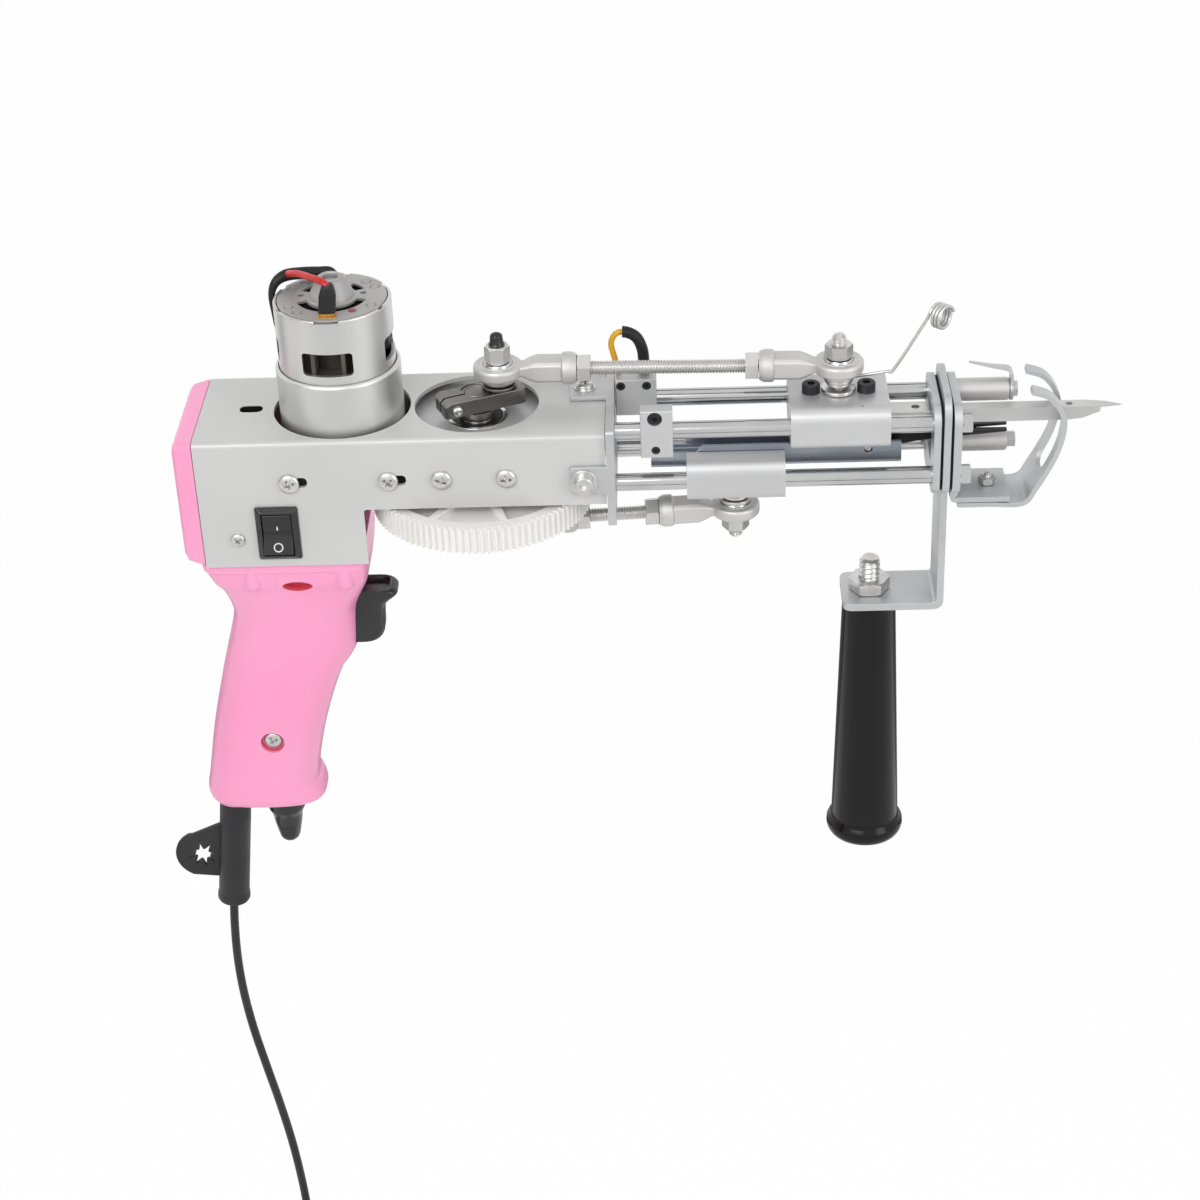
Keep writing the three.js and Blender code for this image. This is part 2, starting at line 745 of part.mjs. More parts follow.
function gearCarrier() {
  const wall = innerHalfWidth - seat;
  const block = box(-carrierHalfLength, carrierHalfLength, -wall, wall, -frontDepth, -recessDepth);
  const pocket = bearingRadius + seat;
  return cut(
    solid(block),
    rodAlongZ(pocket, -recessDepth - bearingHeight - seat, 0, 0, 0, 20),
    rodAlongZ(pocket, -frontDepth - 1, -frontDepth + bearingHeight + seat, 0, 0, 20),
    rodAlongZ(shaftRadius + 3, -frontDepth, -recessDepth, 0, 0, 16),
  );
}

// Guide rods, end plates and clamps

const rodPlaces = [
  [rodSpread, -upperRodDrop],
  [-rodSpread, -upperRodDrop],
  [rodSpread, -lowerRodDrop],
  [-rodSpread, -lowerRodDrop],
];

function rodHoles(x0, x1) {
  return rodPlaces.map(([y, z]) => rodAlongX(rodRadius + seat, x0, x1, y, z, 10));
}

// The near rods end in a bolt head, and the far ones carry a spacer
function guideRod(y, z) {
  const start = frontPlateX - 3.3;
  if (y > 0) return solid(rodAlongX(rodRadius, start, headX - seat, y, z));
  return join(rodAlongX(rodRadius, start, headX + 1, y, z), rodAlongX(3.5, headX, headX + 2.4, y, z, 6));
}

function rodSpacer(z) {
  const end = headX + spacerLength;
  const sleeve = rodAlongX(spacerRadius, headX, end, rodSpread, z);
  return join(sleeve, rodAlongX(spacerStud, end - 0.5, end + 3, rodSpread, z, 6));
}

function frontPlate() {
  const [x0, x1] = [frontPlateX, frontPlateX + frontPlateThickness];
  const side = housingWidth / 2 + seat + lugThickness;
  const plate = prismX(roundedRectangle(-side, side, -frontPlateDrop, seat + lugThickness, 1.5), x0, x1);
  const lugX = frontPlateX - lugLength;
  const topLug = box(lugX, x0 + 1, -1, 14.4, seat, seat + lugThickness);
  const sideLugs = [-1, 1].map((hand) => {
    const [inner, outer] = [hand * (housingWidth / 2 + seat), hand * side];
    return box(lugX, x0 + 1, Math.min(inner, outer), Math.max(inner, outer), -23.2, -12.2);
  });
  const passage = box(x0 - 1, x1 + 1, -channelHalfWidth - 1.5, channelHalfWidth + 1.5, channelBottom - 1.5, -2);
  return cut(join(plate, topLug, ...sideLugs), passage, ...rodHoles(x0 - 1, x1 + 1));
}

function plateOutline(extraTop = 0) {
  const half = endPlateSize / 2;
  return roundedRectangle(-half, half, plateMiddle - half, plateMiddle + half + extraTop, endPlateCorner);
}

function needleWindow(x0, x1) {
  return box(x0 - 1, x1 + 1, -windowHalfWidth, windowHalfWidth, windowBottom, windowTop);
}

function rearEndPlate() {
  const [x0, x1] = [rearPlateX, rearPlateX + endPlateThickness];
  return cut(solid(prismX(plateOutline(), x0, x1, 3)), needleWindow(x0, x1), ...rodHoles(x0 - 1, x1 + 1));
}

function frontEndPlate() {
  const [x0, x1] = [frontEndX, frontEndX + endPlateThickness];
  const plate = prismX(plateOutline(), x0, x1, 3);
  const web = box(x0, x1, -footWidth / 2, footWidth / 2, -shelfDrop - shelfThickness, plateMiddle - 10);
  const shelf = prismZ(
    roundedRectangle(x0, x1 + shelfLength, -footWidth / 2, footWidth / 2, 1.5),
    -shelfDrop - shelfThickness, -shelfDrop,
  );
  const boltHole = rodAlongZ(footBoltRadius + 0.4, -shelfDrop - 5, -shelfDrop + 2, headX + footBoltAhead, 0, 12);
  return cut(join(plate, web, shelf), needleWindow(x0, x1), boltHole, ...rodHoles(x0 - 1, x1 + 1));
}

function handleBracket() {
  const [x0, x1] = [bracketX, bracketX + bracketThickness];
  const plate = prismX(plateOutline(3.5), x0, x1, 3);
  const strap = box(x0, x1, -legWidth / 2, legWidth / 2, -legDrop - bracketThickness + 2, plateMiddle - 10);
  const legShape = roundedRectangle(handleX - 10.5, x1, -legWidth / 2, legWidth / 2, 4);
  const leg = prismZ(legShape, -legDrop - bracketThickness, -legDrop);
  const half = legWidth / 2;
  const bottom = -legDrop - bracketThickness;
  const bend = rodAlongY(2, -half, half, x1 - 2, bottom + 2, 12);
  const square = box(x1 - 5, x1, -half, half, bottom, bottom + 2);
  const rounded = solid(square).subtract(solid(bend));
  const trim = rounded.intersect(solid(box(x1 - 2, x1 + 1, -legWidth, legWidth, -legDrop - 5, -legDrop - 1)));
  const hole = rodAlongZ(handleStudRadius + 0.4, -legDrop - 5, -legDrop + 2, handleX, 0, 16);
  return cut(join(plate, strap, leg).subtract(trim), needleWindow(x0, x1), hole, ...rodHoles(x0 - 1, x1 + 1));
}

function farClamp() {
  const x0 = frontPlateX + frontPlateThickness + seat;
  const block = box(
    x0, x0 + farClampLength, rodSpread - 4.7, rodSpread + 6,
    -upperRodDrop - clampDrop, -upperRodDrop + farClampTop,
  );
  return cut(solid(block), rodAlongX(rodRadius + seat, x0 - 1, x0 + farClampLength + 1, rodSpread, -upperRodDrop));
}

function nearClamp() {
  const [x0, length] = [frontPlateX + frontPlateThickness + 9.3, nearClampLength];
  const [outer, inner] = [-rodSpread - 5.4, -rodSpread + 4.4];
  const [top, bottom] = [-upperRodDrop + 10.3, -upperRodDrop - 8.3];
  const side = outline([[outer, bottom], [inner, bottom], [inner, top - 4.2], [inner - 4.2, top], [outer, top]]);
  const counterbore = rodAlongY(2.6, outer - 1.6, outer + 1.6, x0 + 5.2, top - 3);
  const bore = rodAlongX(rodRadius + seat, x0 - 1, x0 + length + 1, -rodSpread, -upperRodDrop);
  return cut(solid(prismX(side, x0, x0 + length)), counterbore, bore);
}

// Carriages, with a running clearance round both of their rods

function carriageBlock(x0, z0, rodZ) {
  const profile = roundedRectangle(-carriageWidth / 2, carriageWidth / 2, z0, z0 + carriageHeight, carriageCorner);
  return cut(
    solid(prismX(profile, x0, x0 + carriageLength, 3)),
    ...[-1, 1].map((hand) => (
      rodAlongX(rodRadius + seat, x0 - 1, x0 + carriageLength + 1, hand * rodSpread, rodZ, 12))),
  );
}

function needleCarriage() {
  const block = carriageBlock(needleCarriageX, upperCarriageTop - carriageHeight, -upperRodDrop);
  const half = needleBarWidth / 2 + seat;
  const socket = box(
    needleStudX, needleCarriageX + carriageLength + 1, -half, half,
    needleTop - needleBarHeight - seat, needleTop + seat,
  );
  return cut(block, socket);
}

function scissorCarriage() {
  const block = carriageBlock(scissorCarriageX, lowerCarriageBottom, -lowerRodDrop);
  const half = channelHalfWidth + seat;
  const groove = box(
    scissorCarriageX - 1, scissorCarriageX + carriageLength + 1, -half, half,
    channelBottom - seat, lowerCarriageBottom + carriageHeight + 1,
  );
  return cut(block, groove);
}

// The stud that a connecting rod turns on: washers below the eye, a nut and the stud's end above it.
// It is drawn upwards from the carriage's face, and turned over for the lower carriage.
function carriageStud(standoff) {
  const washerTop = standoff - 2 * seat;
  const nutBase = standoff + ballWidth;
  const stud = turned([
    [0, 0],
    [washerRadius, 0],
    [washerRadius, 1.4],
    [boltRadius, 1.4],
    [boltRadius, washerTop - 1.6],
    [washerRadius - 0.8, washerTop - 1.6],
    [washerRadius - 0.8, washerTop],
    [boltRadius, washerTop],
    [boltRadius, nutBase + nutHeight + 2.8],
    [boltRadius - 1, nutBase + nutHeight + 4.1],
    [0, nutBase + nutHeight + 4.5],
  ], 10);
  return join(stud, hexNut(0, 0, nutBase, nutBase + nutHeight));
}

// The stud in a crank, drawn from the crank's face. Its washer fills the standoff up to the ball.
function crankStud(standoff, tail) {
  const washerTop = standoff - 2 * seat;
  const nutBase = standoff + ballWidth;
  const stud = turned([
    [0, 0],
    [washerRadius - 1, 0],
    [washerRadius - 1, washerTop],
    [boltRadius, washerTop],
    [boltRadius, nutBase + nutHeight + 1],
    [boltRadius + 0.5, nutBase + nutHeight + 1],
    [boltRadius + 0.5, nutBase + nutHeight + tail - 1.2],
    [boltRadius - 0.8, nutBase + nutHeight + tail],
    [0, nutBase + nutHeight + tail],
  ], 10);
  return join(stud, hexNut(0, 0, nutBase, nutBase + nutHeight));
}

// A rod end: the ball sits in the eye, and the shank takes the threaded rod
function rodEnd() {
  const half = rodEndThickness / 2;
  const eye = turned([
    [boltRadius + seat, -ballWidth / 2],
    [boltRadius + 1.6, -ballWidth / 2],
    [ballRadius, -half],
    [rodEndRadius - 0.8, -half],
    [rodEndRadius, -half + 1.4],
    [rodEndRadius, half - 1.4],
    [rodEndRadius - 0.8, half],
    [ballRadius, half],
    [boltRadius + 1.6, ballWidth / 2],
    [boltRadius + seat, ballWidth / 2],
    [boltRadius + seat, -ballWidth / 2],
  ], 14);
  const shank = turnedAlongX([
    [0, rodEndRadius - 2.5],
    [half, rodEndRadius - 2.5],
    [rodEndNeck, rodEndRadius + 4],
    [rodEndNeck, rodEndLength - collarLength],
    [collarRadius, rodEndLength - collarLength + 0.8],
    [collarRadius, rodEndLength - 0.8],
    [collarRadius - 0.8, rodEndLength],
    [0, rodEndLength],
  ], 8);
  return cut(join(eye, shank), rodAlongX(boltRadius + seat, rodEndLength - 12, rodEndLength + 1, 0, 0, 8));
}

function threadedRod(length) {
  const [x0, x1] = [rodEndLength - 11, length - rodEndLength + 11];
  const nuts = [rodEndLength + seat, length - rodEndLength - seat - nutHeight].map((x) =>
    rodAlongX(nutAcrossCorners / 2, x, x + nutHeight, 0, 0, 6));
  return join(rodAlongX(boltRadius, x0, x1, 0, 0, 10), ...nuts);
}

// A wire eye for the yarn: a ring round the stud, a rising arm and a few open turns at its end
function threadGuide() {
  const [ring, eye, pitch, turns, steps] = [3.8, 4.15, 1.9, 3.4, 12];
  const base = new THREE.Vector3(needleStudX, 0, upperCarriageTop + 3.3);
  const points = [];
  for (let k = 0; k <= 14; k += 1) {
    const angle = THREE.MathUtils.degToRad(390 - (300 * k) / 14);
    points.push(new THREE.Vector3(ring * Math.cos(angle), ring * Math.sin(angle), 0));
  }
  const arm = [[6, 3.8, 0.2], [17.4, 3.6, 2], [20, 3.5, 2.7], [21.8, 3.4, 4.6], [31.6, 2.4, 23.4]];
  points.push(...arm.map((point) => new THREE.Vector3(...point)));
  const centre = new THREE.Vector3(36.4, 2.5, 23.9);
  const along = new THREE.Vector3(Math.cos(Math.PI / 6), -Math.sin(Math.PI / 6), 0);
  const sideways = new THREE.Vector3(-along.y, along.x, 0);
  const start = THREE.MathUtils.degToRad(150);
  for (let k = 0; k <= steps * turns; k += 1) {
    const angle = start - (2 * Math.PI * k) / steps;
    points.push(centre.clone()
      .addScaledVector(along, (pitch * k) / steps - (pitch * turns) / 2)
      .addScaledVector(sideways, eye * Math.cos(angle))
      .add(new THREE.Vector3(0, 0, eye * Math.sin(angle))));
  }
  return wire(points.map((point) => point.add(base)), 0.6, 5);
}

// Needle: a flat bar in the carriage, then a hollow blade with an eye and a slanted tip
function needle() {
  const [barStart, bladeStart] = [needleStudX + seat, headX - 2];
  const tipX = headX + needleReach;
  const bar = box(
    barStart, bladeStart + 0.5, -needleBarWidth / 2, needleBarWidth / 2, needleTop - needleBarHeight, needleTop,
  );
  const [top, bottom] = [needleTop - 0.2, needleTop - 0.2 - needleHeight];
  const blade = prismY(outline([
    [bladeStart, top],
    [bladeStart, bottom],
    [tipX - 20, bottom],
    [tipX - 10, bottom + 2.3],
    [tipX, top - 0.9],
    [tipX - 6, top],
  ]), -needleWidth / 2, needleWidth / 2);
  const narrowing = [-1, 1].map((hand) => {
    const wedge = outline([[tipX - 14, hand * 3.2], [tipX + 1, hand * 3.2], [tipX + 1, hand * 0.1]]);
    return prismZ(wedge, bottom - 1, top + 1);
  });
  const bore = box(tipX - 26, tipX + 1, -1.5, 1.5, bottom - 1, top - 1.3);
  const eye = rodAlongZ(1.3, bottom - 1, top + 1, tipX - 19.3, 0, 12);
  const screwHole = rodAlongZ(1.4, needleTop - 2, needleTop + 1, headX - 15.5, 0, 12);
  return cut(join(bar, blade), ...narrowing, bore, eye, screwHole);
}

// Scissors: a channel carries a fixed blade and one that turns on a pin beside it
const scissorChannelX = scissorCarriageX - channelTail;
const channelReach = crankThrow + scissorRodLength - carriageLength / 2 - channelTail;
const channelLength = rearPlateX - channelToPlate - channelReach;
const bladePin = [scissorChannelX + channelLength - bladePinInset, channelBottom + bladePinHeight];
const movingBladeY = channelHalfWidth - sheet - seat - bladeThickness;
const fixedBladeY = movingBladeY - seat - bladeThickness;

function scissorChannel() {
  const [x0, x1] = [scissorChannelX, scissorChannelX + channelLength];
  const side = outline([
    [x0, channelBottom],
    [x1, channelBottom],
    [x1, channelTop],
    [x0 + 18.7, channelTop],
    [x0 + 14.6, channelTop - 5.5],
    [x0, channelTop - 5.5],
  ]);
  const half = channelHalfWidth - sheet;
  const trough = box(x0 - 1, x1 + 1, -half, half, channelBottom + sheet, 0);
  const pinHole = rodAlongY(1.6, -8, 8, ...bladePin, 12);
  return cut(solid(prismY(side, -channelHalfWidth, channelHalfWidth)), trough, pinHole);
}

// The fixed blade and the pin that carries the moving one are a single piece
function fixedBlade() {
  const [x, z] = bladePin;
  const shape = outline([
    [x - 16, z - 3.6], [x + 9, z - 3.6], [x + 20, z - 1.5], [x + 51, z + 1.2],
    [x + 51, z + 2.4], [x + 20, z + 2.8], [x + 8, z + 2.4], [x - 16, z + 2],
  ]);
  const blade = prismY(shape, fixedBladeY, fixedBladeY + bladeThickness);
  return join(blade, rodAlongY(1.3, -channelHalfWidth - 0.8, channelHalfWidth + 0.8, x, z, 12));
}

function movingBlade() {
  const [x, z] = bladePin;
  const shape = outline([
    [x - 14, z - 0.6], [x + 4, z - 3.2], [x + 14, z - 0.4], [x + 24, z + 1.2], [x + 51, z + 3],
    [x + 51, z + 4.2], [x + 24, z + 3.7], [x + 12, z + 3.2], [x, z + 2.6], [x - 14, z + 1.8],
  ]);
  shape.holes.push(circle(1.6, x, z));
  return prismY(shape, movingBladeY, movingBladeY + bladeThickness, 5);
}

// Presser foot: a strip under the shelf that curls up round the needle, forked above its bend
function presserFoot() {
  const base = -shelfDrop - shelfThickness - seat - footThickness / 2;
  const line = new THREE.CatmullRomCurve3([
    [23.5, 0], [28, 5.7], [34.8, 19.7], [37.2, 31.4], [35.4, 37.8], [31.2, 42.9], [25, 45.2],
  ].map(([ahead, above]) => new THREE.Vector3(headX + ahead, 0, base + above)));
  const middle = [new THREE.Vector3(headX - 0.2, 0, base), ...line.getPoints(15)];
  const [left, right] = [[], []];
  middle.forEach((point, i) => {
    const before = middle[Math.max(i - 1, 0)];
    const after = middle[Math.min(i + 1, middle.length - 1)];
    const ahead = after.clone().sub(before).normalize().multiplyScalar(footThickness / 2);
    left.push([point.x - ahead.z, point.z + ahead.x]);
    right.push([point.x + ahead.z, point.z - ahead.x]);
  });
  const strip = solid(prismY(outline([...right, ...left.reverse()]), -footWidth / 2, footWidth / 2));
  const fork = box(headX + 15, headX + 45, -footSlot / 2, footSlot / 2, base + 10.2, base + 51.2);
  const boltSlot = prismZ(roundedRectangle(headX + 2, headX + 15.5, -2.3, 2.3, 2.25), base - 2, base + 2, 3);
  return cut(strip, fork, boltSlot);
}

function footBolt() {
  const under = -shelfDrop - shelfThickness - 2 * seat - footThickness;
  const head = turned([[0, under - 2], [2.2, under - 2], [3.6, under], [0, under]], 16);
  const shank = rodAlongZ(footBoltRadius, under - 0.5, -shelfDrop + 4.2, 0, 0, 12);
  const nut = hexNut(0, 0, -shelfDrop + seat, -shelfDrop + seat + 2.4, 3.2);
  return join(head, shank, nut).translate(headX + footBoltAhead, 0, 0);
}

function yarnHook() {
  const x0 = headX + spacerLength + seat;
  const z = -upperRodDrop;
  const ring = solid(rodAlongX(spacerRadius, x0, x0 + 1.2, rodSpread, z));
  const washer = cut(ring, rodAlongX(spacerStud + seat, x0 - 1, x0 + 2, rodSpread, z));
  const finger = prismY(outline([
    [x0, z + 3.6], [x0 + 1.2, z + 3.6], [x0 + 1.2, z + 7], [x0, z + 8.6],
    [x0 - 6, z + 9.6], [x0 - 15, z + 11.4], [x0 - 6, z + 8.4], [x0 - 0.6, z + 7.2],
  ]), rodSpread - 1.6, rodSpread + 1.6);
  return washer.add(solid(finger));
}

// Side handle

function sideHandle() {
  const top = -legDrop - bracketThickness - seat;
  const bottom = top - sideHandleLength;
  return turned([
    [0, bottom],
    [sideHandleFlange - 3, bottom],
    [sideHandleFlange - 1, bottom + 1.2],
    [sideHandleFlange, bottom + 4],
    [sideHandleFlange - 0.4, bottom + 6.5],
    [sideHandleBottomRadius, bottom + 8.5],
    [sideHandleBottomRadius, bottom + 12],
    [sideHandleTopRadius, top - 1],
    [sideHandleTopRadius - 1, top],
    [0, top],
  ], 18, handleX);
}

function handleBolt() {
  const nutBase = -legDrop + seat;
  const nut = rodAlongZ(7.5, nutBase, nutBase + 6.5, 0, 0, 6);
  const stud = rodAlongZ(handleStudRadius, nutBase, nutBase + 14.5, 0, 0, 20);
  return join(nut, stud).translate(handleX, 0, 0);
}

// The grip and what hangs on it are drawn from the housing's lower rear corner. The sections give the
// height, back, front, half width and squareness, from the housing down.
const gripSections = [
  [3.1, 0.9, 57.3, innerHalfWidth - seat, 12],
  [-0.7, 0.9, 57.4, innerHalfWidth - seat, 12],
  [-1, -3.2, 57.5, innerHalfWidth - seat, 12],
  [-4.5, -2.4, 57.5, innerHalfWidth - seat, 11],
  [-11.3, -0.4, 56.9, 22.6, 8],
  [-17.3, 1.8, 55.6, 20, 5],
  [-28, 3.6, 51, 18, 3.2],
  [-35.3, 2.7, 50.2, 17.2, 2.8],
  [-46.3, -0.3, 49.6, 16.8, 2.6],
  [-52.3, -2, 46.9, 16.8, 2.6],
  [-60.8, -4.3, 41.6, 16.9, 2.6],
  [-83.3, -9.9, 33.9, 17.1, 2.6],
  [-105.3, -14.1, 28.9, 17.2, 2.6],
  [-110.8, -15.3, 29.9, 17.1, 2.7],
  [-114.3, -15.1, 30.8, 16.5, 2.9],
  [-116.7, -14, 30.8, 15, 3],
  [-118, -11.6, 28.6, 12.4, 3],
];

function gripRing([z, back, front, halfWidth, squareness]) {
  const [middle, reach] = [(back + front) / 2, (front - back) / 2];
  return Array.from({ length: 20 }, (unused, k) => {
    const angle = (2 * Math.PI * (k + 0.5)) / 20;
    const [c, s] = [Math.cos(angle), Math.sin(angle)];
    const x = middle + reach * Math.sign(c) * Math.abs(c) ** (2 / squareness);
    return new THREE.Vector3(x, halfWidth * Math.sign(s) * Math.abs(s) ** (2 / squareness), z);
  });
}

const strainTop = new THREE.Vector3(-6, 0, -119.3);
const strainEnd = new THREE.Vector3(-12.4, 0, -172.1);
const [triggerBack, triggerTop, triggerBottom] = [42.3, -24.3, -46.4];
const reliefSeat = 7;
const beyondGrip = 200;
const gripBottom = gripSections[gripSections.length - 1][0];
const knobX = 13.8;
const knobStud = 3;
const knobDrop = 25.4;

function gripShell(hand) {
  const whole = solid(lofted([...gripSections].reverse().map(gripRing)));
  const split = gripSplit / 2;
  const [y0, y1] = hand > 0 ? [split, beyondGrip] : [-beyondGrip, -split];
  const half = whole.intersect(solid(box(-beyondGrip, beyondGrip, y0, y1, -beyondGrip, beyondGrip)));
  const bossY = hand * (innerHalfWidth - 3.85);
  const bosses = [13.5, 46.9].map((x) => solid(rodAlongZ(3, -13.3, -4.8, x, bossY, 12)));
  const oval = rodAlongY(4, hand > 0 ? 17 : -30, hand > 0 ? 30 : -17, 0, 0, 16).scale(1.25, 1, 0.55);
  const pocketHalf = triggerWidth / 2 + seat;
  return cut(
    bosses.reduce((sum, boss) => sum.add(boss), half),
    oval.translate(31.9, 0, -9.7),
    rodAlongY(4.6, hand > 0 ? 14.6 : -40, hand > 0 ? 40 : -14.6, 14.3, -84.8, 20),
    box(
      triggerBack - triggerTravel - 1.5, beyondGrip, -pocketHalf, pocketHalf,
      triggerBottom - triggerClearance, triggerTop + triggerClearance,
    ),
    strainCylinder(reliefRadius + 1, -reliefSeat - 1, 12),
    rodAlongZ(knobStud + 0.4, gripBottom - 1, gripBottom + 9, knobX, 0, 16),
  );
}

function strainCylinder(radius, from, to, sides = 20) {
  const down = strainEnd.clone().sub(strainTop).normalize();
  const turn = new THREE.Quaternion().setFromUnitVectors(new THREE.Vector3(0, 1, 0), down.clone().negate());
  const middle = strainTop.clone().addScaledVector(down, (from + to) / 2);
  const geometry = new THREE.CylinderGeometry(radius, radius, to - from, sides).applyQuaternion(turn);
  return geometry.translate(...middle.toArray());
}

// The sleeve round the lead, with a hanging tab beside it that has a star-shaped hole
function strainRelief() {
  const length = strainEnd.distanceTo(strainTop);
  const sleeve = strainCylinder(reliefRadius, -reliefSeat, length);
  const tab = new THREE.Shape();
  const [starX, starZ] = [-22.5, -149.7];
  tab.moveTo(-9.7, -133.3);
  tab.lineTo(-12.7, -133.9);
  tab.lineTo(-25.7, -139.7);
  tab.absarc(starX, starZ, 11, THREE.MathUtils.degToRad(112), THREE.MathUtils.degToRad(245));
  tab.lineTo(-11.7, -161.3);
  const star = new THREE.Path();
  for (let k = 15; k >= 0; k -= 1) {
    const reach = k % 2 ? 3.1 : 5.2;
    const angle = (k * Math.PI) / 8;
    const [x, z] = [starX + reach * Math.cos(angle), starZ + reach * Math.sin(angle)];
    if (k === 15) star.moveTo(x, z);
    else star.lineTo(x, z);
  }
  tab.holes.push(star);
  return join(sleeve, prismY(tab, -1.6, 1.6, 5));
}

function trigger() {
  const half = triggerWidth / 2;
  const side = outline([
    [triggerBack, triggerTop], [62.6, triggerTop], [64.9, -24.8], [65.9, -25.9], [65.2, -27.5], [61, -31.4],
    [60.2, -36], [60, -42.3], [59.2, -44.8], [57.3, triggerBottom], [triggerBack, triggerBottom],
  ]);
  const blank = solid(prismY(side, -half, half));
  const corners = [-1, 1].map((hand) => {
    const edge = outline([[57.6, hand * (half + 0.1)], [70, hand * (half + 0.1)], [70, hand * (half - 7)]]);
    return prismZ(edge, triggerBottom - 8, triggerTop + 8);
  });
  return cut(blank, ...corners);
}

function speedKnob() {
  const top = gripBottom - seat;
  const knob = turned([
    [0, top - knobDrop],
    [2.4, top - knobDrop],
    [4, top - knobDrop + 2.2],
    [5.5, top - 15.7],
    [5.8, top - 12.2],
    [7.4, top - 9.5],
    [7.4, top],
    [knobStud, top],
    [knobStud, top + 8],
    [0, top + 8],
  ], 12, knobX);
  const flats = [-1, 1].map((hand) => {
    const [inner, outer] = [hand * 3.9, hand * 9];
    return box(knobX - 9, knobX + 9, Math.min(inner, outer), Math.max(inner, outer), top - knobDrop - 2, top - 15);
  });
  return cut(solid(knob), ...flats);
}

// Leads

function wireLoop() {
  const [top, y] = [-upperRodDrop + farClampTop + seat, rodSpread + 2];
  return tube([
    [frontPlateX + 4.6, y, top],
    [frontPlateX + 3.2, y, top + 6],
    [frontPlateX + 2.2, y, top + 11.4],
    [frontPlateX + 4, y, top + 15.2],
    [frontPlateX + 7.6, y, top + 15.8],
    [frontPlateX + 11.4, y, top + 13.6],
    [frontPlateX + 13.4, y, top + 9],
    [frontPlateX + 13.9, y, top + 4],
    [frontPlateX + 14, y, top],
  ], 1.1, 20, 6);
}

// The free lead hangs from the strain relief, turns onto the surface below and runs into its coil.
// These points lie on its centre line, after a straight first few millimetres.
const floorZ = -381.3;
const cordPoints = [
  [-12.45, 0, -172.4],
  [-12.9, 0, -176.3],
  [-13.8, 0, -187.3],
  [-14.4, 0, -203.3],
  [-13.9, 0, -221.3],
  [-11.9, 0, -241.3],
  [-8.6, 0, -262.3],
  [-4.9, 0, -284.3],
  [-1.7, -0.4, -306.3],
  [0.5, -1.4, -327.3],
  [1.7, -3, -344.3],
  [2.1, -6.4, -358.3],
  [2.2, -12, -369.3],
  [2.3, -20.5, -376.9],
  [2.3, -32, floorZ + leadRadius],
  [2.3, -44, floorZ + leadRadius],
];

const coilPitch = 2 * leadRadius + coilGap;
const coilOuter = coilMiddleRadius + (coilPitch * coilTurnsPerLayer) / 2;
const [cordEndX, cordEndY] = cordPoints[cordPoints.length - 1];
const coilCentre = new THREE.Vector3(cordEndX + coilOuter, cordEndY - seat - 2 * leadRadius, floorZ + leadRadius);
const [coilRunOut, coilDescent] = [14, 34];

// Piled loops: each layer spirals in or out at a steady rate, and the next starts where it turns back.
// The wire then runs straight off the top layer, comes down beside the coil and ends in its connector.
function coilPoints() {
  const points = [0, leadRadius, 2 * leadRadius].map((y) => new THREE.Vector3(-coilOuter, 2 * leadRadius - y, 0));
  const turnsInAll = coilTurnsPerLayer * coilLayers;
  const steps = Math.round(coilSteps * turnsInAll);
  for (let k = 1; k <= steps; k += 1) {
    const turn = (k / steps) * turnsInAll;
    const layer = Math.min(Math.floor(turn / coilTurnsPerLayer), coilLayers - 1);
    const within = turn - layer * coilTurnsPerLayer;
    const inwards = layer % 2 === 0 ? within : coilTurnsPerLayer - within;
    const radius = coilOuter - coilPitch * inwards;
    const ahead = Math.max(0, within - coilTurnsPerLayer + 0.25) * 2;
    const behind = Math.max(0, 0.25 - within) * 2;
    const level = layer + (layer < coilLayers - 1 ? ahead : 0) - (layer > 0 ? behind : 0);
    const angle = Math.PI + 2 * Math.PI * turn;
    points.push(new THREE.Vector3(radius * Math.cos(angle), radius * Math.sin(angle), coilPitch * level));
  }
  const end = points[points.length - 1];
  const top = end.z;
  for (let k = 1; k <= 12; k += 1) {
    const share = k / 12;
    const fall = top * share * share * (3 - 2 * share);
    points.push(new THREE.Vector3(end.x + coilRunOut + coilDescent * share, end.y, top - fall));
  }
  points.push(new THREE.Vector3(end.x + coilRunOut + coilDescent + 2 * leadRadius, end.y, 0));
  return points;
}

function leastGap(points, apart) {
  let least = Infinity;
  for (let i = 0; i < points.length; i += 1) {
    for (let j = i + apart; j < points.length; j += 1) {
      least = Math.min(least, points[i].distanceTo(points[j]));
    }
  }
  return least - 2 * leadRadius;
}

// The coil lies on its lowest turns, which are pressed a little flat
function coil() {
  const points = coilPoints();
  console.log(`least gap in the coil ${leastGap(points, coilSteps / 2).toFixed(2)} mm`);
  const loops = solid(wire(points, leadRadius, 6));
  const under = box(-200, 200, -200, 200, -leadRadius - 5, -leadRadius * 0.8);
  return cut(loops, under);
}

const connectorRadius = 5.5;

function connector() {
  return turnedAlongX([
    [0, 0],
    [2.6, 0],
    [3.4, 8],
    [5.2, 12],
    [connectorRadius, 14],
    [connectorRadius, 30],
    [5, 31],
    [2.75, 31],
    [2.75, 41],
    [2.3, 41.5],
    [0, 41.5],
  ], 10);
}

// Assembly

const machine = new THREE.Group();
machine.name = "tufting_machine";
machine.position.copy(gripOrigin).negate();

function add(parent, name, piece, material) {
  const geometry = piece.isBufferGeometry ? surface(solid(piece)) : surface(piece);
  const mesh = new THREE.Mesh(geometry, material);
  mesh.name = name;
  geometry.computeVertexNormals();
  parent.add(mesh);
  return mesh;
}

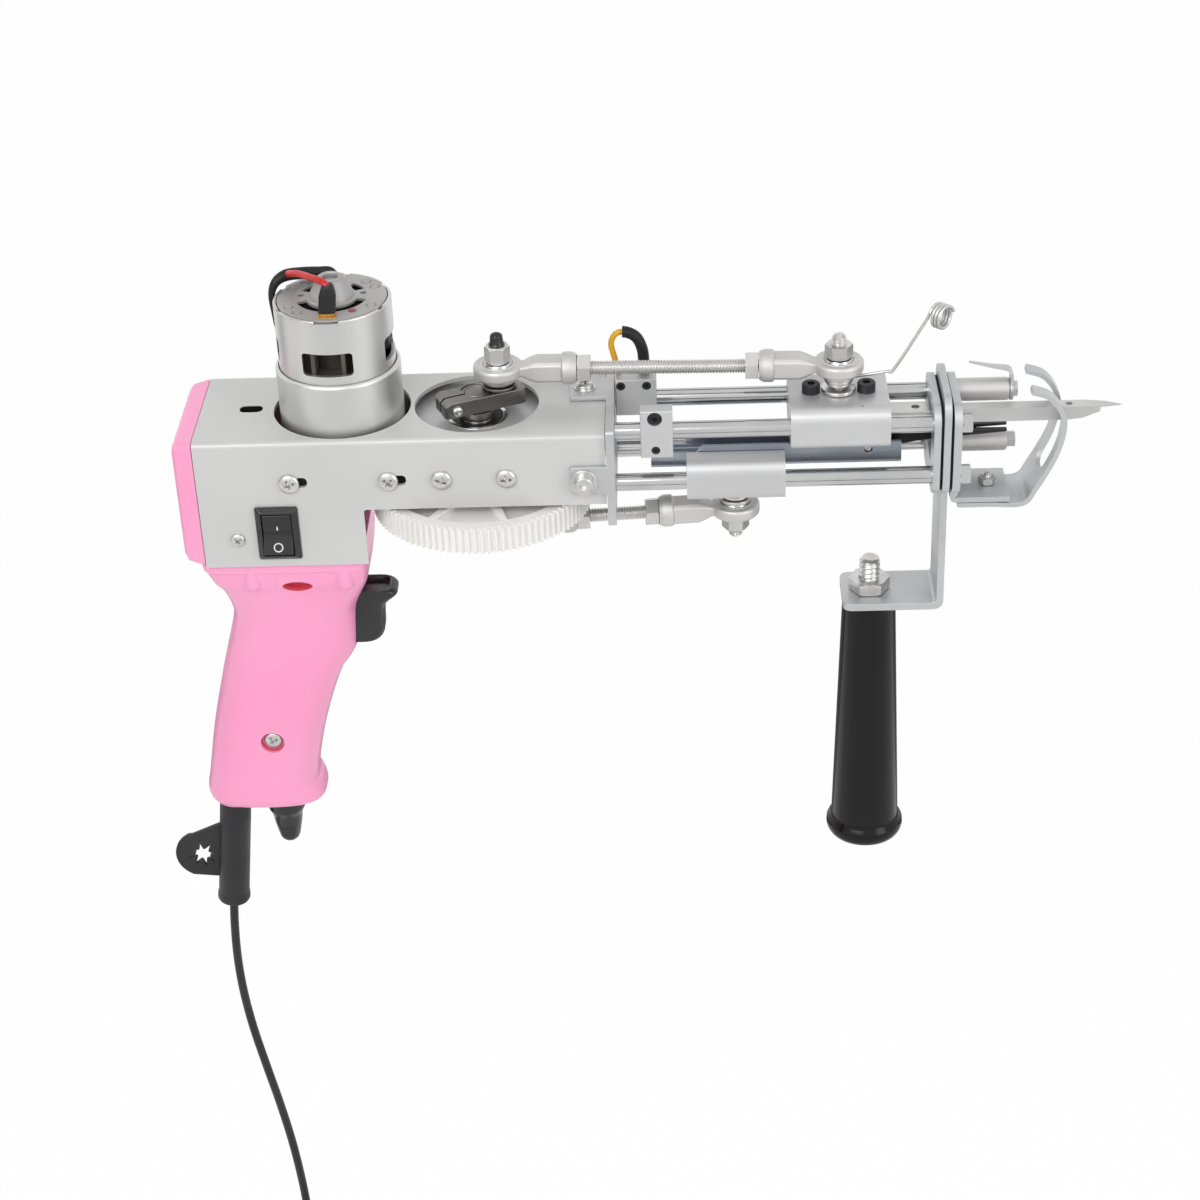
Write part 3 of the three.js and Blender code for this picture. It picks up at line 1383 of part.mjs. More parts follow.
add(machine, "housing", housing(), paintedSheet);
add(machine, "rear_cap", rearCap(), pinkPlastic);
add(machine, "rocker_bezel", rockerBezel(), blackPlastic);
add(machine, "rocker", rocker(), blackPlastic);

add(machine, "motor_can", motorCan(), satinAlloy);
add(machine, "motor_flux_ring", fluxRing(), plainSteel);
add(machine, "motor_end_cap", motorEndCap(), satinAlloy);
add(machine, "motor_rotor", motorRotor(), darkSteel);
add(machine, "motor_mount", motorMount(), plainSteel);
add(machine, "black_wire", motorLead(), blackPlastic);
add(machine, "red_wire", redWire(), redInsulation);

add(machine, "drive_gear", driveGear(), whiteNylon);
add(machine, "crank_shaft", crankShaft(), plainSteel);
add(machine, "crank_arm", crankArm(), darkSteel);
add(machine, "gear_carrier", gearCarrier(), satinAlloy);
add(machine, "bearing_upper", bearing(-recessDepth), polishedSteel);
add(machine, "bearing_lower", bearing(-frontDepth + bearingHeight), polishedSteel);

add(machine, "front_plate", frontPlate(), plainSteel);
rodPlaces.forEach(([y, z], i) => add(machine, `guide_rod_${i + 1}`, guideRod(y, z), polishedSteel));
add(machine, "clamp_block_far", farClamp(), satinAlloy);
add(machine, "clamp_block_near", nearClamp(), satinAlloy);
add(machine, "end_plate_rear", rearEndPlate(), plainSteel);
add(machine, "handle_bracket", handleBracket(), plainSteel);
add(machine, "end_plate_front", frontEndPlate(), plainSteel);
add(machine, "rod_spacer_upper", rodSpacer(-upperRodDrop), plainSteel);
add(machine, "rod_spacer_lower", rodSpacer(-lowerRodDrop), plainSteel);
add(machine, "yarn_hook", yarnHook(), plainSteel);
add(machine, "presser_foot", presserFoot(), polishedSteel);
add(machine, "foot_bolt", footBolt(), plainSteel);
add(machine, "side_handle", sideHandle(), blackPlastic);
add(machine, "handle_bolt", handleBolt(), plainSteel);

add(machine, "needle_slide", needleCarriage(), satinAlloy);
add(machine, "needle", needle(), polishedSteel);
const needleStud = add(machine, "needle_slide_stud", carriageStud(carriageStandoff), plainSteel);
needleStud.position.set(needleStudX, 0, upperCarriageTop + seat);
add(machine, "thread_guide", threadGuide(), zincPlate);

add(machine, "scissor_slide", scissorCarriage(), satinAlloy);
add(machine, "scissor_channel", scissorChannel(), zincPlate);
add(machine, "scissor_blade_fixed", fixedBlade(), darkSteel);
add(machine, "scissor_blade_moving", movingBlade(), darkSteel);
const scissorStud = add(machine, "scissor_slide_stud", carriageStud(lowerStandoff), plainSteel);
scissorStud.position.set(scissorStudX, 0, lowerCarriageBottom - seat);
scissorStud.rotation.x = Math.PI;

// A connecting rod lies along its own X axis, from the crank pin to the carriage's stud
function connectingRod(name, length, pin, eyeZ) {
  const rod = new THREE.Group();
  rod.position.set(pin[0], pin[1], eyeZ);
  rod.rotation.z = -Math.asin(pin[1] / length);
  machine.add(rod);
  add(rod, `${name}_rod_end_crank`, rodEnd(), satinAlloy);
  add(rod, `${name}_rod_thread`, threadedRod(length), plainSteel);
  const far = add(rod, `${name}_rod_end_slide`, rodEnd(), satinAlloy);
  far.position.x = length;
  far.rotation.z = Math.PI;
}

const needleCrankStud = add(machine, "needle_crank_stud", crankStud(crankStandoff, 5.2), plainSteel);
needleCrankStud.position.set(...needlePin, armTop + seat);
connectingRod("needle", needleRodLength, needlePin, upperEyeZ);

const gearStandoff = gearBottom - lowerEyeZ - ballWidth / 2;
const scissorCrankStud = add(machine, "scissor_crank_stud", crankStud(gearStandoff, 3.6), plainSteel);
scissorCrankStud.position.set(...scissorPin, gearBottom - seat);
scissorCrankStud.rotation.x = Math.PI;
connectingRod("scissor", scissorRodLength, scissorPin, lowerEyeZ);

const handle = new THREE.Group();
handle.position.set(housingRear, 0, -rearDepth);
machine.add(handle);
add(handle, "grip_shell_left", gripShell(1), pinkPlastic);
add(handle, "grip_shell_right", gripShell(-1), pinkPlastic);
add(handle, "trigger", trigger(), blackPlastic);
add(handle, "speed_knob", speedKnob(), blackPlastic);
add(handle, "strain_relief", strainRelief(), blackPlastic);

add(machine, "signal_wire", wireLoop(), yellowInsulation);
add(handle, "cord", tube(cordPoints, leadRadius, 30, 8), blackPlastic);
const coilMesh = add(handle, "coil", coil(), blackPlastic);
coilMesh.position.copy(coilCentre);
const connectorMesh = add(handle, "connector", connector(), blackPlastic);
connectorMesh.position.set(
  coilCentre.x + coilRunOut + coilDescent + 2 * leadRadius + seat,
  coilCentre.y - coilOuter,
  floorZ + connectorRadius,
);

const part = new THREE.Group();
part.add(machine);
export default part;
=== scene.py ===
# %% [markdown]
# # A handheld tufting machine, dressed for its picture
#
# A CAD model gives every solid of this machine: where it is and how it moves. This script keeps
# that model as a fixed frame and builds the finer pieces around it: round bores, rolled edges,
# threads, screw heads and the finishes of sheet steel, nylon and moulded plastic.
#
# Read it from top to bottom. Each step says what the piece is, and why it is made the way it is.

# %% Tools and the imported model
import json
import math

import bmesh
import bpy
from mathutils import Matrix, Vector


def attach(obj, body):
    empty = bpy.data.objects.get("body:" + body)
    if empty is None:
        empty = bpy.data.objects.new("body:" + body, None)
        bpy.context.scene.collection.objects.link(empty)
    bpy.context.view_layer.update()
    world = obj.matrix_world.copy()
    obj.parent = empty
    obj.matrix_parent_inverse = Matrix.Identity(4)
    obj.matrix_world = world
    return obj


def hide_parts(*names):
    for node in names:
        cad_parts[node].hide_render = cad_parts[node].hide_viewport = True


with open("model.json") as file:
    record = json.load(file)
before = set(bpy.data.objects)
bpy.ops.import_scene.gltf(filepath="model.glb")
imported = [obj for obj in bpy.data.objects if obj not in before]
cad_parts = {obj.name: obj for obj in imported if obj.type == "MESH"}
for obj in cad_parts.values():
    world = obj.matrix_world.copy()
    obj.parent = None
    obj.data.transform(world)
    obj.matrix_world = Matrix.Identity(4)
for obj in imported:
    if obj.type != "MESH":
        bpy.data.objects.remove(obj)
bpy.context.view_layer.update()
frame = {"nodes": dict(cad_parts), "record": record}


def linked(name, data):
    """An object in the scene that shows the data."""
    made = bpy.data.objects.new(name, data)
    bpy.context.scene.collection.objects.link(made)
    return made


print("nodes loaded", len(frame["nodes"]))

# %% [markdown]
# ## The camera
#
# A photograph fixes the camera. It looked down on the machine by about thirty degrees, from nearly
# a metre away and through a long lens, so the far end shrinks very little. The three directions
# below were measured from parts whose real sizes are standard, such as ball bearings and nuts.

# %% Camera
camera_right = Vector((0.99927, 0.01398, -0.03568))
camera_up = Vector((0.02310, 0.52322, 0.85189))
camera_back = Vector((0.03058, -0.85208, 0.52251))
camera_place = Vector((0.155701, -0.838283, 0.544265))

camera_data = bpy.data.cameras.new("camera")
camera_data.lens = 77.95
camera_data.sensor_width = 36
camera_data.clip_start = 0.01
camera = linked("camera", camera_data)
turn = Matrix((camera_right, camera_up, camera_back)).transposed().to_4x4()
camera.matrix_world = Matrix.Translation(camera_place) @ turn
bpy.context.scene.camera = camera
print("camera looks down by", round(math.degrees(math.asin(camera_back.z)), 1), "degrees")

# %% [markdown]
# ## Tubes along a line
#
# A cord, a wire and a bent rod are the same thing: a circle that travels along a line. The circle
# must not twist on its way, so each one starts from the sideways direction of the one before and is
# only straightened against the new heading. `lofted` then lays a skin over all the circles.

# %% Tube tools
SAME_POINT = 1e-5


def mesh_piece(points, faces):
    """A shape of its own. Points that fall together are merged, and all faces look outwards."""
    mesh = bpy.data.meshes.new("shape")
    mesh.from_pydata([tuple(p) for p in points], [], faces)
    mesh.validate()
    bm = bmesh.new()
    bm.from_mesh(mesh)
    bmesh.ops.remove_doubles(bm, verts=bm.verts, dist=SAME_POINT)
    bmesh.ops.recalc_face_normals(bm, faces=bm.faces)
    bm.to_mesh(mesh)
    bm.free()
    return linked("shape", mesh)


def lofted(rings):
    """A skin over rings of points, closed at both ends."""
    count = len(rings[0])
    points = [p for ring in rings for p in ring]
    faces = [list(range(count))[::-1], list(range(len(points) - count, len(points)))]
    for row in range(len(rings) - 1):
        for k in range(count):
            n = (k + 1) % count
            faces.append((row * count + k, row * count + n,
                          (row + 1) * count + n, (row + 1) * count + k))
    return mesh_piece(points, faces)


def wire(points, radius, sides=16):
    """A round wire. The section is carried along the line without twisting."""
    points = [Vector(p) for p in points]
    across, rings = None, []
    for i, point in enumerate(points):
        ahead = (points[min(i + 1, len(points) - 1)] - points[max(i - 1, 0)]).normalized()
        if across is None:
            guess = Vector((0, 0, 1)) if abs(ahead.z) < 0.9 else Vector((1, 0, 0))
            across = guess.cross(ahead)
        across = (across - ahead * across.dot(ahead)).normalized()
        up = ahead.cross(across)
        thick = radius(i / (len(points) - 1)) if callable(radius) else radius
        rings.append([point + across * thick * math.cos(2 * math.pi * k / sides)
                      + up * thick * math.sin(2 * math.pi * k / sides) for k in range(sides)])
    return lofted(rings)


print("tube tools are ready")

# %% [markdown]
# ## The lead
#
# The supply lead is a fixed length of something flexible. It leaves its relief straight, hangs
# under its own weight, turns onto the table and ends in a neat coil that the picture doesn't show.
# Its points are those of the CAD route, in metres, with a smooth line drawn through them.

# %% Lead
LEAD_RADIUS = 0.00175
TABLE_Z = -0.317
lead_route = [
    (-0.02875, 0, -0.1081), (-0.0292, 0, -0.112), (-0.0301, 0, -0.123), (-0.0307, 0, -0.139),
    (-0.0302, 0, -0.157), (-0.0282, 0, -0.177), (-0.0249, 0, -0.198), (-0.0212, 0, -0.22),
    (-0.018, -0.0004, -0.242), (-0.0158, -0.0014, -0.263), (-0.0146, -0.003, -0.28),
    (-0.0142, -0.0064, -0.294), (-0.0141, -0.012, -0.305), (-0.014, -0.0205, -0.3126),
    (-0.014, -0.032, -0.31525), (-0.014, -0.044, -0.31525),
]


def smooth_line(points, per_span):
    """Points along a curve that passes through every given point."""
    points = [Vector(p) for p in points]
    line = []
    for i in range(len(points) - 1):
        a = points[max(i - 1, 0)]
        b, c = points[i], points[i + 1]
        d = points[min(i + 2, len(points) - 1)]
        for k in range(per_span):
            t = k / per_span
            line.append(0.5 * (2 * b + (c - a) * t + (2 * a - 5 * b + 4 * c - d) * t ** 2
                               + (3 * b - a - 3 * c + d) * t ** 3))
    line.append(points[-1])
    return line


def stored_coil():
    """The lead's coil: four layers that spiral in and out, then a run down to the connector."""
    pitch, turns_per_layer, layers, steps_per_turn = 0.004, 2.3125, 4, 24
    outer = 0.0208 + pitch * turns_per_layer / 2
    centre = Vector((lead_route[-1][0] + outer, lead_route[-1][1] - 0.0038, TABLE_Z + LEAD_RADIUS))
    points = [Vector((-outer, 2 * LEAD_RADIUS - y, 0)) for y in (0, LEAD_RADIUS, 2 * LEAD_RADIUS)]
    steps = round(steps_per_turn * turns_per_layer * layers)
    for k in range(1, steps + 1):
        turns = k / steps * turns_per_layer * layers
        layer = min(int(turns / turns_per_layer), layers - 1)
        within = turns - layer * turns_per_layer
        inwards = within if layer % 2 == 0 else turns_per_layer - within
        radius = outer - pitch * inwards
        ahead = max(0, within - turns_per_layer + 0.25) * 2 if layer < layers - 1 else 0
        behind = max(0, 0.25 - within) * 2 if layer > 0 else 0
        angle = math.pi + 2 * math.pi * turns
        level = pitch * (layer + ahead - behind)
        points.append(Vector((radius * math.cos(angle), radius * math.sin(angle), level)))
    end, run_out, descent = points[-1].copy(), 0.014, 0.034
    for k in range(1, 13):
        share = k / 12
        fall = end.z * share * share * (3 - 2 * share)
        points.append(Vector((end.x + run_out + descent * share, end.y, end.z - fall)))
    points.append(Vector((end.x + run_out + descent + 2 * LEAD_RADIUS, end.y, 0)))
    return [centre + p for p in points]


lead_line = smooth_line(lead_route, 5) + stored_coil()
lead_length = sum((b - a).length for a, b in zip(lead_line, lead_line[1:]))
lead = wire(lead_line, LEAD_RADIUS, 20)
lead.name = "supply_lead"
lead.data.shade_smooth()
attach(lead, "frame")
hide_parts("cord", "coil")
print("lead length", round(lead_length, 3), "m")

# %% [markdown]
# ## Detail that many finishes share
#
# No real surface has one even colour and gloss. Three effects make most of the difference, and
# each is a node group that every material can use with its own numbers:
# fine marks (grain, brushing, casting skin), soft patches (handling, uneven gloss) and a painted
# edge highlight (a lighter colour along sharp edges, for the light that rounded edges catch). The
# groups give out only masks and heights; the shader itself stays in each material.

# %% Shared effects


def added(nodes, kind, operation=None, **values):
    """A node of a kind, with its operation and what its inputs start from."""
    node = nodes.new("ShaderNode" + kind)
    if operation:
        node.operation = operation
    for socket, value in values.items():
        node.inputs[socket.replace("_", " ")].default_value = value
    return node


def wired(links, *cables):
    """Each cable is a node, its output, another node and its input."""
    for source, out, target, into in cables:
        links.new(source.outputs[out], target.inputs[into])


def effect_group(name, inputs, outputs):
    group = bpy.data.node_groups.new(name, "ShaderNodeTree")
    for label, value in inputs.items():
        kind = "NodeSocketVector" if isinstance(value, tuple) else "NodeSocketFloat"
        socket = group.interface.new_socket(name=label, in_out="INPUT", socket_type=kind)
        socket.default_value = value
    for label in outputs:
        group.interface.new_socket(name=label, in_out="OUTPUT", socket_type="NodeSocketFloat")
    start = group.nodes.new("NodeGroupInput")
    end = group.nodes.new("NodeGroupOutput")
    return group, group.nodes, group.links, start, end


def make_fine_marks():
    """Fine noise. A stretch of 1, 1, 1 gives grain, and one short side gives lines."""
    group, nodes, links, start, end = effect_group(
        "fine_marks", {"Stretch": (1.0, 1.0, 1.0), "Scale": 1500.0}, ["Height"])
    place = added(nodes, "TexCoord")
    scaled = added(nodes, "VectorMath", "MULTIPLY")
    noise = added(nodes, "TexNoise", Detail=3, Roughness=0.6)
    wired(links, (place, "Object", scaled, 0), (start, "Stretch", scaled, 1),
          (scaled, "Vector", noise, "Vector"), (start, "Scale", noise, "Scale"),
          (noise, "Fac", end, "Height"))
    return group


def make_soft_patches():
    """Broad, soft clouds from 0 to 1, for small changes of tone and gloss."""
    group, nodes, links, start, end = effect_group("soft_patches", {"Scale": 40.0}, ["Mask"])
    place = added(nodes, "TexCoord")
    noise = added(nodes, "TexNoise", Detail=1)
    spread = added(nodes, "MapRange", From_Min=0.25, From_Max=0.75)
    spread.interpolation_type = "SMOOTHSTEP"
    wired(links, (place, "Object", noise, "Vector"), (start, "Scale", noise, "Scale"),
          (noise, "Fac", spread, "Value"), (spread, "Result", end, "Mask"))
    return group


def make_painted_edge_highlight():
    """1 along sharp edges and 0 on flat ground: how far a rounded normal leans from the true one. The
    finishes paint a highlight along the edges with it.
    """
    group, nodes, links, start, end = effect_group("edge_light", {"Width": 0.0004}, ["Mask"])
    bevel = added(nodes, "Bevel")
    bevel.samples = 4
    shape = added(nodes, "NewGeometry")
    lean = added(nodes, "VectorMath", "DOT_PRODUCT")
    spread = added(nodes, "MapRange", From_Min=0.995, From_Max=0.8)
    wired(links, (start, "Width", bevel, "Radius"), (bevel, "Normal", lean, 0),
          (shape, "Normal", lean, 1), (lean, "Value", spread, "Value"), (spread, "Result", end, "Mask"))
    return group


fine_marks = make_fine_marks()
soft_patches = make_soft_patches()
edge_light = make_painted_edge_highlight()
print("effects", [group.name for group in bpy.data.node_groups])

# %% [markdown]
# ## The finishes
#
# Colours are given as they look in daylight, from 0 to 255, and turned into the linear values that
# the shader works with. A finish has two close tones that the soft patches blend, two roughness
# values that they blend too, and a bump from the fine marks. Numbers that are the same all over a
# surface, such as a clear coat's weight, are set straight on the shader.

# %% Finishes
ALONG_X, AROUND_Z = (0.03, 1.0, 1.0), (0.03, 0.03, 1.0)
EVEN = (1.0, 1.0, 1.0)
MARK_DEPTH = 0.0002


def daylight(red, green, blue):
    def linear(value):
        value /= 255
        return value / 12.92 if value <= 0.04045 else ((value + 0.055) / 1.055) ** 2.4
    return (linear(red), linear(green), linear(blue), 1.0)


def finish(name, tones, gloss, metallic=0.0, marks=(EVEN, 1500.0, 0.04), patches=40.0,
           edge=None, **fixed):
    """tones: two colours, gloss: two roughnesses, marks: stretch, scale and bump strength,
    edge: colour, width and strength of a painted highlight along sharp edges, fixed: even values on the
    shader."""
    material = bpy.data.materials.new(name)
    material.use_nodes = True
    nodes, links = material.node_tree.nodes, material.node_tree.links
    shader = nodes["Principled BSDF"]
    shader.inputs["Metallic"].default_value = metallic
    for socket, value in fixed.items():
        shader.inputs[socket.replace("_", " ")].default_value = value

    def effect(group, **values):
        node = nodes.new("ShaderNodeGroup")
        node.node_tree = group
        for socket, value in values.items():
            node.inputs[socket].default_value = value
        return node

    cloud = effect(soft_patches, Scale=patches)
    colour = nodes.new("ShaderNodeMix")
    colour.data_type = "RGBA"
    colour.inputs["A"].default_value = daylight(*tones[0])
    colour.inputs["B"].default_value = daylight(*tones[1])
    wired(links, (cloud, "Mask", colour, "Factor"))
    last = colour
    # Painted highlight: the edge colour is mixed in along sharp edges.
    if edge:
        tone, width, strength = edge
        rim = effect(edge_light, Width=width)
        share = added(nodes, "Math", "MULTIPLY")
        share.inputs[1].default_value = strength
        last = nodes.new("ShaderNodeMix")
        last.data_type = "RGBA"
        last.inputs["B"].default_value = daylight(*tone)
        wired(links, (rim, "Mask", share, 0), (share, "Value", last, "Factor"),
              (colour, "Result", last, "A"))
    wired(links, (last, "Result", shader, "Base Color"))

    sheen = added(nodes, "MapRange", To_Min=gloss[0], To_Max=gloss[1])
    wired(links, (cloud, "Mask", sheen, "Value"), (sheen, "Result", shader, "Roughness"))

    stretch, scale, strength = marks
    grain = effect(fine_marks, Stretch=stretch, Scale=scale)
    bump = added(nodes, "Bump", Strength=strength, Distance=MARK_DEPTH)
    wired(links, (grain, "Height", bump, "Height"), (bump, "Normal", shader, "Normal"))
    return material


# Each finish's edge entry is a painted highlight: a lighter colour along sharp edges.
painted_sheet = finish(
    "painted_sheet", [(206, 206, 204), (200, 200, 198)], [0.36, 0.46], 0.12,
    marks=(EVEN, 1800, 0.10), patches=25, edge=((238, 238, 237), 0.0005, 0.6))
pink_plastic = finish(
    "pink_plastic", [(254, 166, 206), (252, 158, 200)], [0.27, 0.33],
    marks=(EVEN, 1400, 0.03), patches=22, edge=((255, 198, 224), 0.0007, 0.5),
    Subsurface_Weight=0.1, Subsurface_Scale=0.003, Coat_Weight=0.1, Coat_Roughness=0.26,
    Specular_IOR_Level=0.42)
black_plastic = finish(
    "black_plastic", [(36, 35, 36), (29, 28, 29)], [0.2, 0.29],
    marks=(EVEN, 2200, 0.12), patches=60, edge=((104, 104, 107), 0.0004, 0.7))
handle_plastic = finish(
    "handle_plastic", [(10, 10, 11), (14, 14, 15)], [0.16, 0.24],
    marks=(AROUND_Z, 900, 0.03), patches=30, edge=((60, 60, 62), 0.0005, 0.4),
    Coat_Weight=0.06, Coat_Roughness=0.08, Specular_IOR_Level=0.22)
motor_zinc = finish(
    "motor_zinc", [(214, 214, 212), (205, 205, 203)], [0.34, 0.42], 0.85,
    marks=(AROUND_Z, 3800, 0.14), patches=30, edge=((236, 236, 236), 0.0003, 0.4))
cap_steel = finish(
    "cap_steel", [(184, 183, 181), (172, 171, 169)], [0.46, 0.58], 0.55,
    marks=(EVEN, 2600, 0.16), patches=60, edge=((206, 205, 203), 0.0003, 0.4))
rotor_steel = finish(
    "rotor_steel", [(96, 92, 88), (66, 62, 58)], [0.4, 0.6], 0.85,
    marks=(AROUND_Z, 2600, 0.35), patches=120)
mount_steel = finish(
    "mount_steel", [(190, 190, 190), (176, 176, 177)], [0.32, 0.44], 0.9,
    marks=(ALONG_X, 2400, 0.10), patches=40)
nylon = finish(
    "nylon", [(244, 243, 240), (240, 239, 236)], [0.42, 0.54],
    marks=(EVEN, 900, 0.06), patches=35, edge=((250, 250, 248), 0.0004, 0.4))
bearing_steel = finish(
    "bearing_steel", [(214, 214, 215), (196, 196, 198)], [0.1, 0.2], 1.0,
    marks=(AROUND_Z, 3000, 0.06), patches=80)
crank_steel = finish(
    "crank_steel", [(140, 138, 135), (120, 118, 115)], [0.26, 0.36], 0.9,
    marks=(ALONG_X, 2000, 0.06), patches=70, edge=((196, 193, 188), 0.0004, 0.7))
cast_alloy = finish(
    "cast_alloy", [(208, 208, 209), (200, 200, 201)], [0.42, 0.52], 0.6,
    marks=(EVEN, 4200, 0.12), patches=24, edge=((228, 228, 228), 0.0004, 0.5))
plate_steel = finish(
    "plate_steel", [(202, 203, 204), (192, 193, 195)], [0.36, 0.46], 0.7,
    marks=(EVEN, 2600, 0.06), patches=45, edge=((232, 232, 233), 0.0003, 0.5))
guide_steel = finish(
    "guide_steel", [(196, 196, 196), (184, 184, 185)], [0.1, 0.17], 1.0,
    marks=(ALONG_X, 1700, 0.05), patches=60)
fastener_steel = finish(
    "fastener_steel", [(214, 213, 211), (200, 199, 197)], [0.24, 0.34], 0.92,
    marks=(EVEN, 3500, 0.05), patches=160, edge=((244, 244, 243), 0.0002, 0.5))
rod_end_zinc = finish(
    "rod_end_zinc", [(208, 207, 205), (198, 197, 195)], [0.46, 0.56], 0.6,
    marks=(EVEN, 3000, 0.16), patches=70, edge=((232, 231, 229), 0.0004, 0.5))
threaded_steel = finish(
    "threaded_steel", [(212, 211, 209), (202, 201, 199)], [0.3, 0.38], 0.8,
    marks=(EVEN, 3000, 0.04), patches=90)
needle_steel = finish(
    "needle_steel", [(206, 206, 205), (197, 197, 197)], [0.28, 0.36], 0.9,
    marks=(ALONG_X, 3000, 0.05), patches=70, edge=((236, 236, 236), 0.0003, 0.5))
blue_zinc = finish(
    "blue_zinc", [(160, 166, 174), (148, 154, 164)], [0.26, 0.34], 0.92,
    marks=(ALONG_X, 2400, 0.04), patches=35, edge=((226, 229, 234), 0.0003, 0.5))
blade_steel = finish(
    "blade_steel", [(64, 64, 66), (48, 48, 50)], [0.24, 0.36], 0.9,
    marks=(ALONG_X, 2200, 0.10), patches=60, edge=((168, 168, 170), 0.0004, 0.8))
cap_screw_black = finish(
    "cap_screw_black", [(52, 52, 55), (40, 40, 42)], [0.36, 0.48], 0.6,
    marks=(EVEN, 3200, 0.2), patches=200, edge=((104, 104, 108), 0.0003, 0.6))
red_insulation = finish(
    "red_insulation", [(214, 38, 34), (198, 26, 24)], [0.34, 0.44],
    marks=(EVEN, 2600, 0.1), patches=90)
yellow_insulation = finish(
    "yellow_insulation", [(232, 178, 30), (221, 164, 22)], [0.36, 0.46],
    marks=(EVEN, 2600, 0.1), patches=90)
black_insulation = finish(
    "black_insulation", [(33, 33, 35), (25, 25, 27)], [0.36, 0.48],
    marks=(EVEN, 2600, 0.16), patches=90, Specular_IOR_Level=0.3)
black_rubber = finish(
    "black_rubber", [(44, 43, 45), (38, 37, 39)], [0.38, 0.48],
    marks=(EVEN, 3000, 0.12), patches=60, Specular_IOR_Level=0.35)
brass = finish(
    "brass", [(226, 190, 108), (206, 166, 84)], [0.22, 0.34], 0.95,
    marks=(EVEN, 3000, 0.1), patches=160)
switch_mark = finish(
    "switch_mark", [(228, 228, 226), (214, 214, 212)], [0.4, 0.5],
    marks=(EVEN, 3000, 0.05), patches=200)
red_dot = finish(
    "red_dot", [(156, 66, 92), (140, 56, 80)], [0.4, 0.5],
    marks=(EVEN, 3000, 0.1), patches=300)
# Painted shade: the warm red of the deep pockets in the pink grip.
recess_red = finish(
    "recess_red", [(236, 104, 122), (224, 88, 106)], [0.4, 0.5],
    marks=(EVEN, 2000, 0.1), patches=100)
dark_hollow = finish(
    "dark_hollow", [(96, 88, 80), (70, 63, 57)], [0.4, 0.6],
    marks=(EVEN, 2000, 0.2), patches=100)
slot_shadow = finish(
    "slot_shadow", [(24, 23, 23), (16, 16, 16)], [0.6, 0.8],
    marks=(EVEN, 2000, 0.2), patches=100, Specular_IOR_Level=0.2)
lead.data.materials.append(black_rubber)
print("finishes", len(bpy.data.materials))

# %% [markdown]
# ## Tools for machined pieces
#
# Most of this machine was turned, folded, cast or milled, so a few helpers go a long way. They work
# in millimetres from one origin that a fitter would choose: the crank's axis, level with the
# housing's top sheet, with X towards the needle and Z up. When a piece is done, it is scaled to
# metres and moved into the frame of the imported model.
#
# `turned` spins a profile, `prism` pushes an outline along an axis, `carved` cuts with booleans, and
# `eased` rounds the corners of an outline before it is used. `soft` then rolls every sharp edge a
# little, because a perfectly sharp edge never catches the light as metal does.

# %% Shape tools
MM = 0.001
CRANK = Vector((84, 0, 115))
TO_FRAME = Matrix.Scale(MM, 4) @ Matrix.Translation(CRANK)


def applied(piece):
    """Builds the modifiers' result into the mesh."""
    depsgraph = bpy.context.evaluated_depsgraph_get()
    mesh = bpy.data.meshes.new_from_object(piece.evaluated_get(depsgraph))
    piece.modifiers.clear()
    piece.data = mesh
    return piece


def combined(operation, piece, tools):
    for tool in tools:
        step = piece.modifiers.new("step", "BOOLEAN")
        step.operation = operation
        step.solver = "EXACT"
        step.object = tool
    applied(piece)
    for tool in tools:
        bpy.data.objects.remove(tool)
    return piece


def carved(piece, *tools):
    return combined("DIFFERENCE", piece, tools)


def fused(piece, *others):
    return combined("UNION", piece, others)


def common(piece, *others):
    return combined("INTERSECT", piece, others)


def soft(piece, width=0.25, segments=2, angle=32):
    """Rolls the edges that are sharper than the angle."""
    bevel = piece.modifiers.new("bevel", "BEVEL")
    bevel.width = width
    bevel.segments = segments
    bevel.angle_limit = math.radians(angle)
    return applied(piece)


def moved(piece, matrix):
    piece.data.transform(matrix)
    if matrix.determinant() < 0:
        piece.data.flip_normals()
    return piece


def shifted(piece, x=0, y=0, z=0):
    return moved(piece, Matrix.Translation((x, y, z)))


def all_shifted(shapes, x=0, y=0, z=0):
    return [shifted(shape, x, y, z) for shape in shapes]


def polar(radius, angle, a=0.0, b=0.0):
    """The point at an angle around a centre."""
    return (a + radius * math.cos(angle), b + radius * math.sin(angle))


def turned(profile, place=(0, 0, 0), axis="Z", sides=64):
    """Spins [radius, height] points. A profile that starts off the axis is closed to a ring."""
    if profile[0][0] > 0:
        profile = profile + [profile[0]]
    points, faces, rows = [], [], []
    for radius, height in profile:
        if radius < 1e-6:
            rows.append([len(points)])
            points.append((0, 0, height))
            continue
        rows.append(list(range(len(points), len(points) + sides)))
        for k in range(sides):
            points.append((*polar(radius, 2 * math.pi * (k + 0.5) / sides), height))
    for low, high in zip(rows, rows[1:]):
        for k in range(sides):
            n = (k + 1) % sides
            if len(low) == 1 and len(high) > 1:
                faces.append((low[0], high[n], high[k]))
            elif len(high) == 1 and len(low) > 1:
                faces.append((low[k], low[n], high[0]))
            elif len(low) > 1:
                faces.append((low[k], low[n], high[n], high[k]))
    piece = mesh_piece(points, faces)
    turns = {"Z": Matrix(), "X": Matrix.Rotation(math.pi / 2, 4, "Y"),
             "Y": Matrix.Rotation(-math.pi / 2, 4, "X")}
    return moved(piece, Matrix.Translation(place) @ turns[axis])


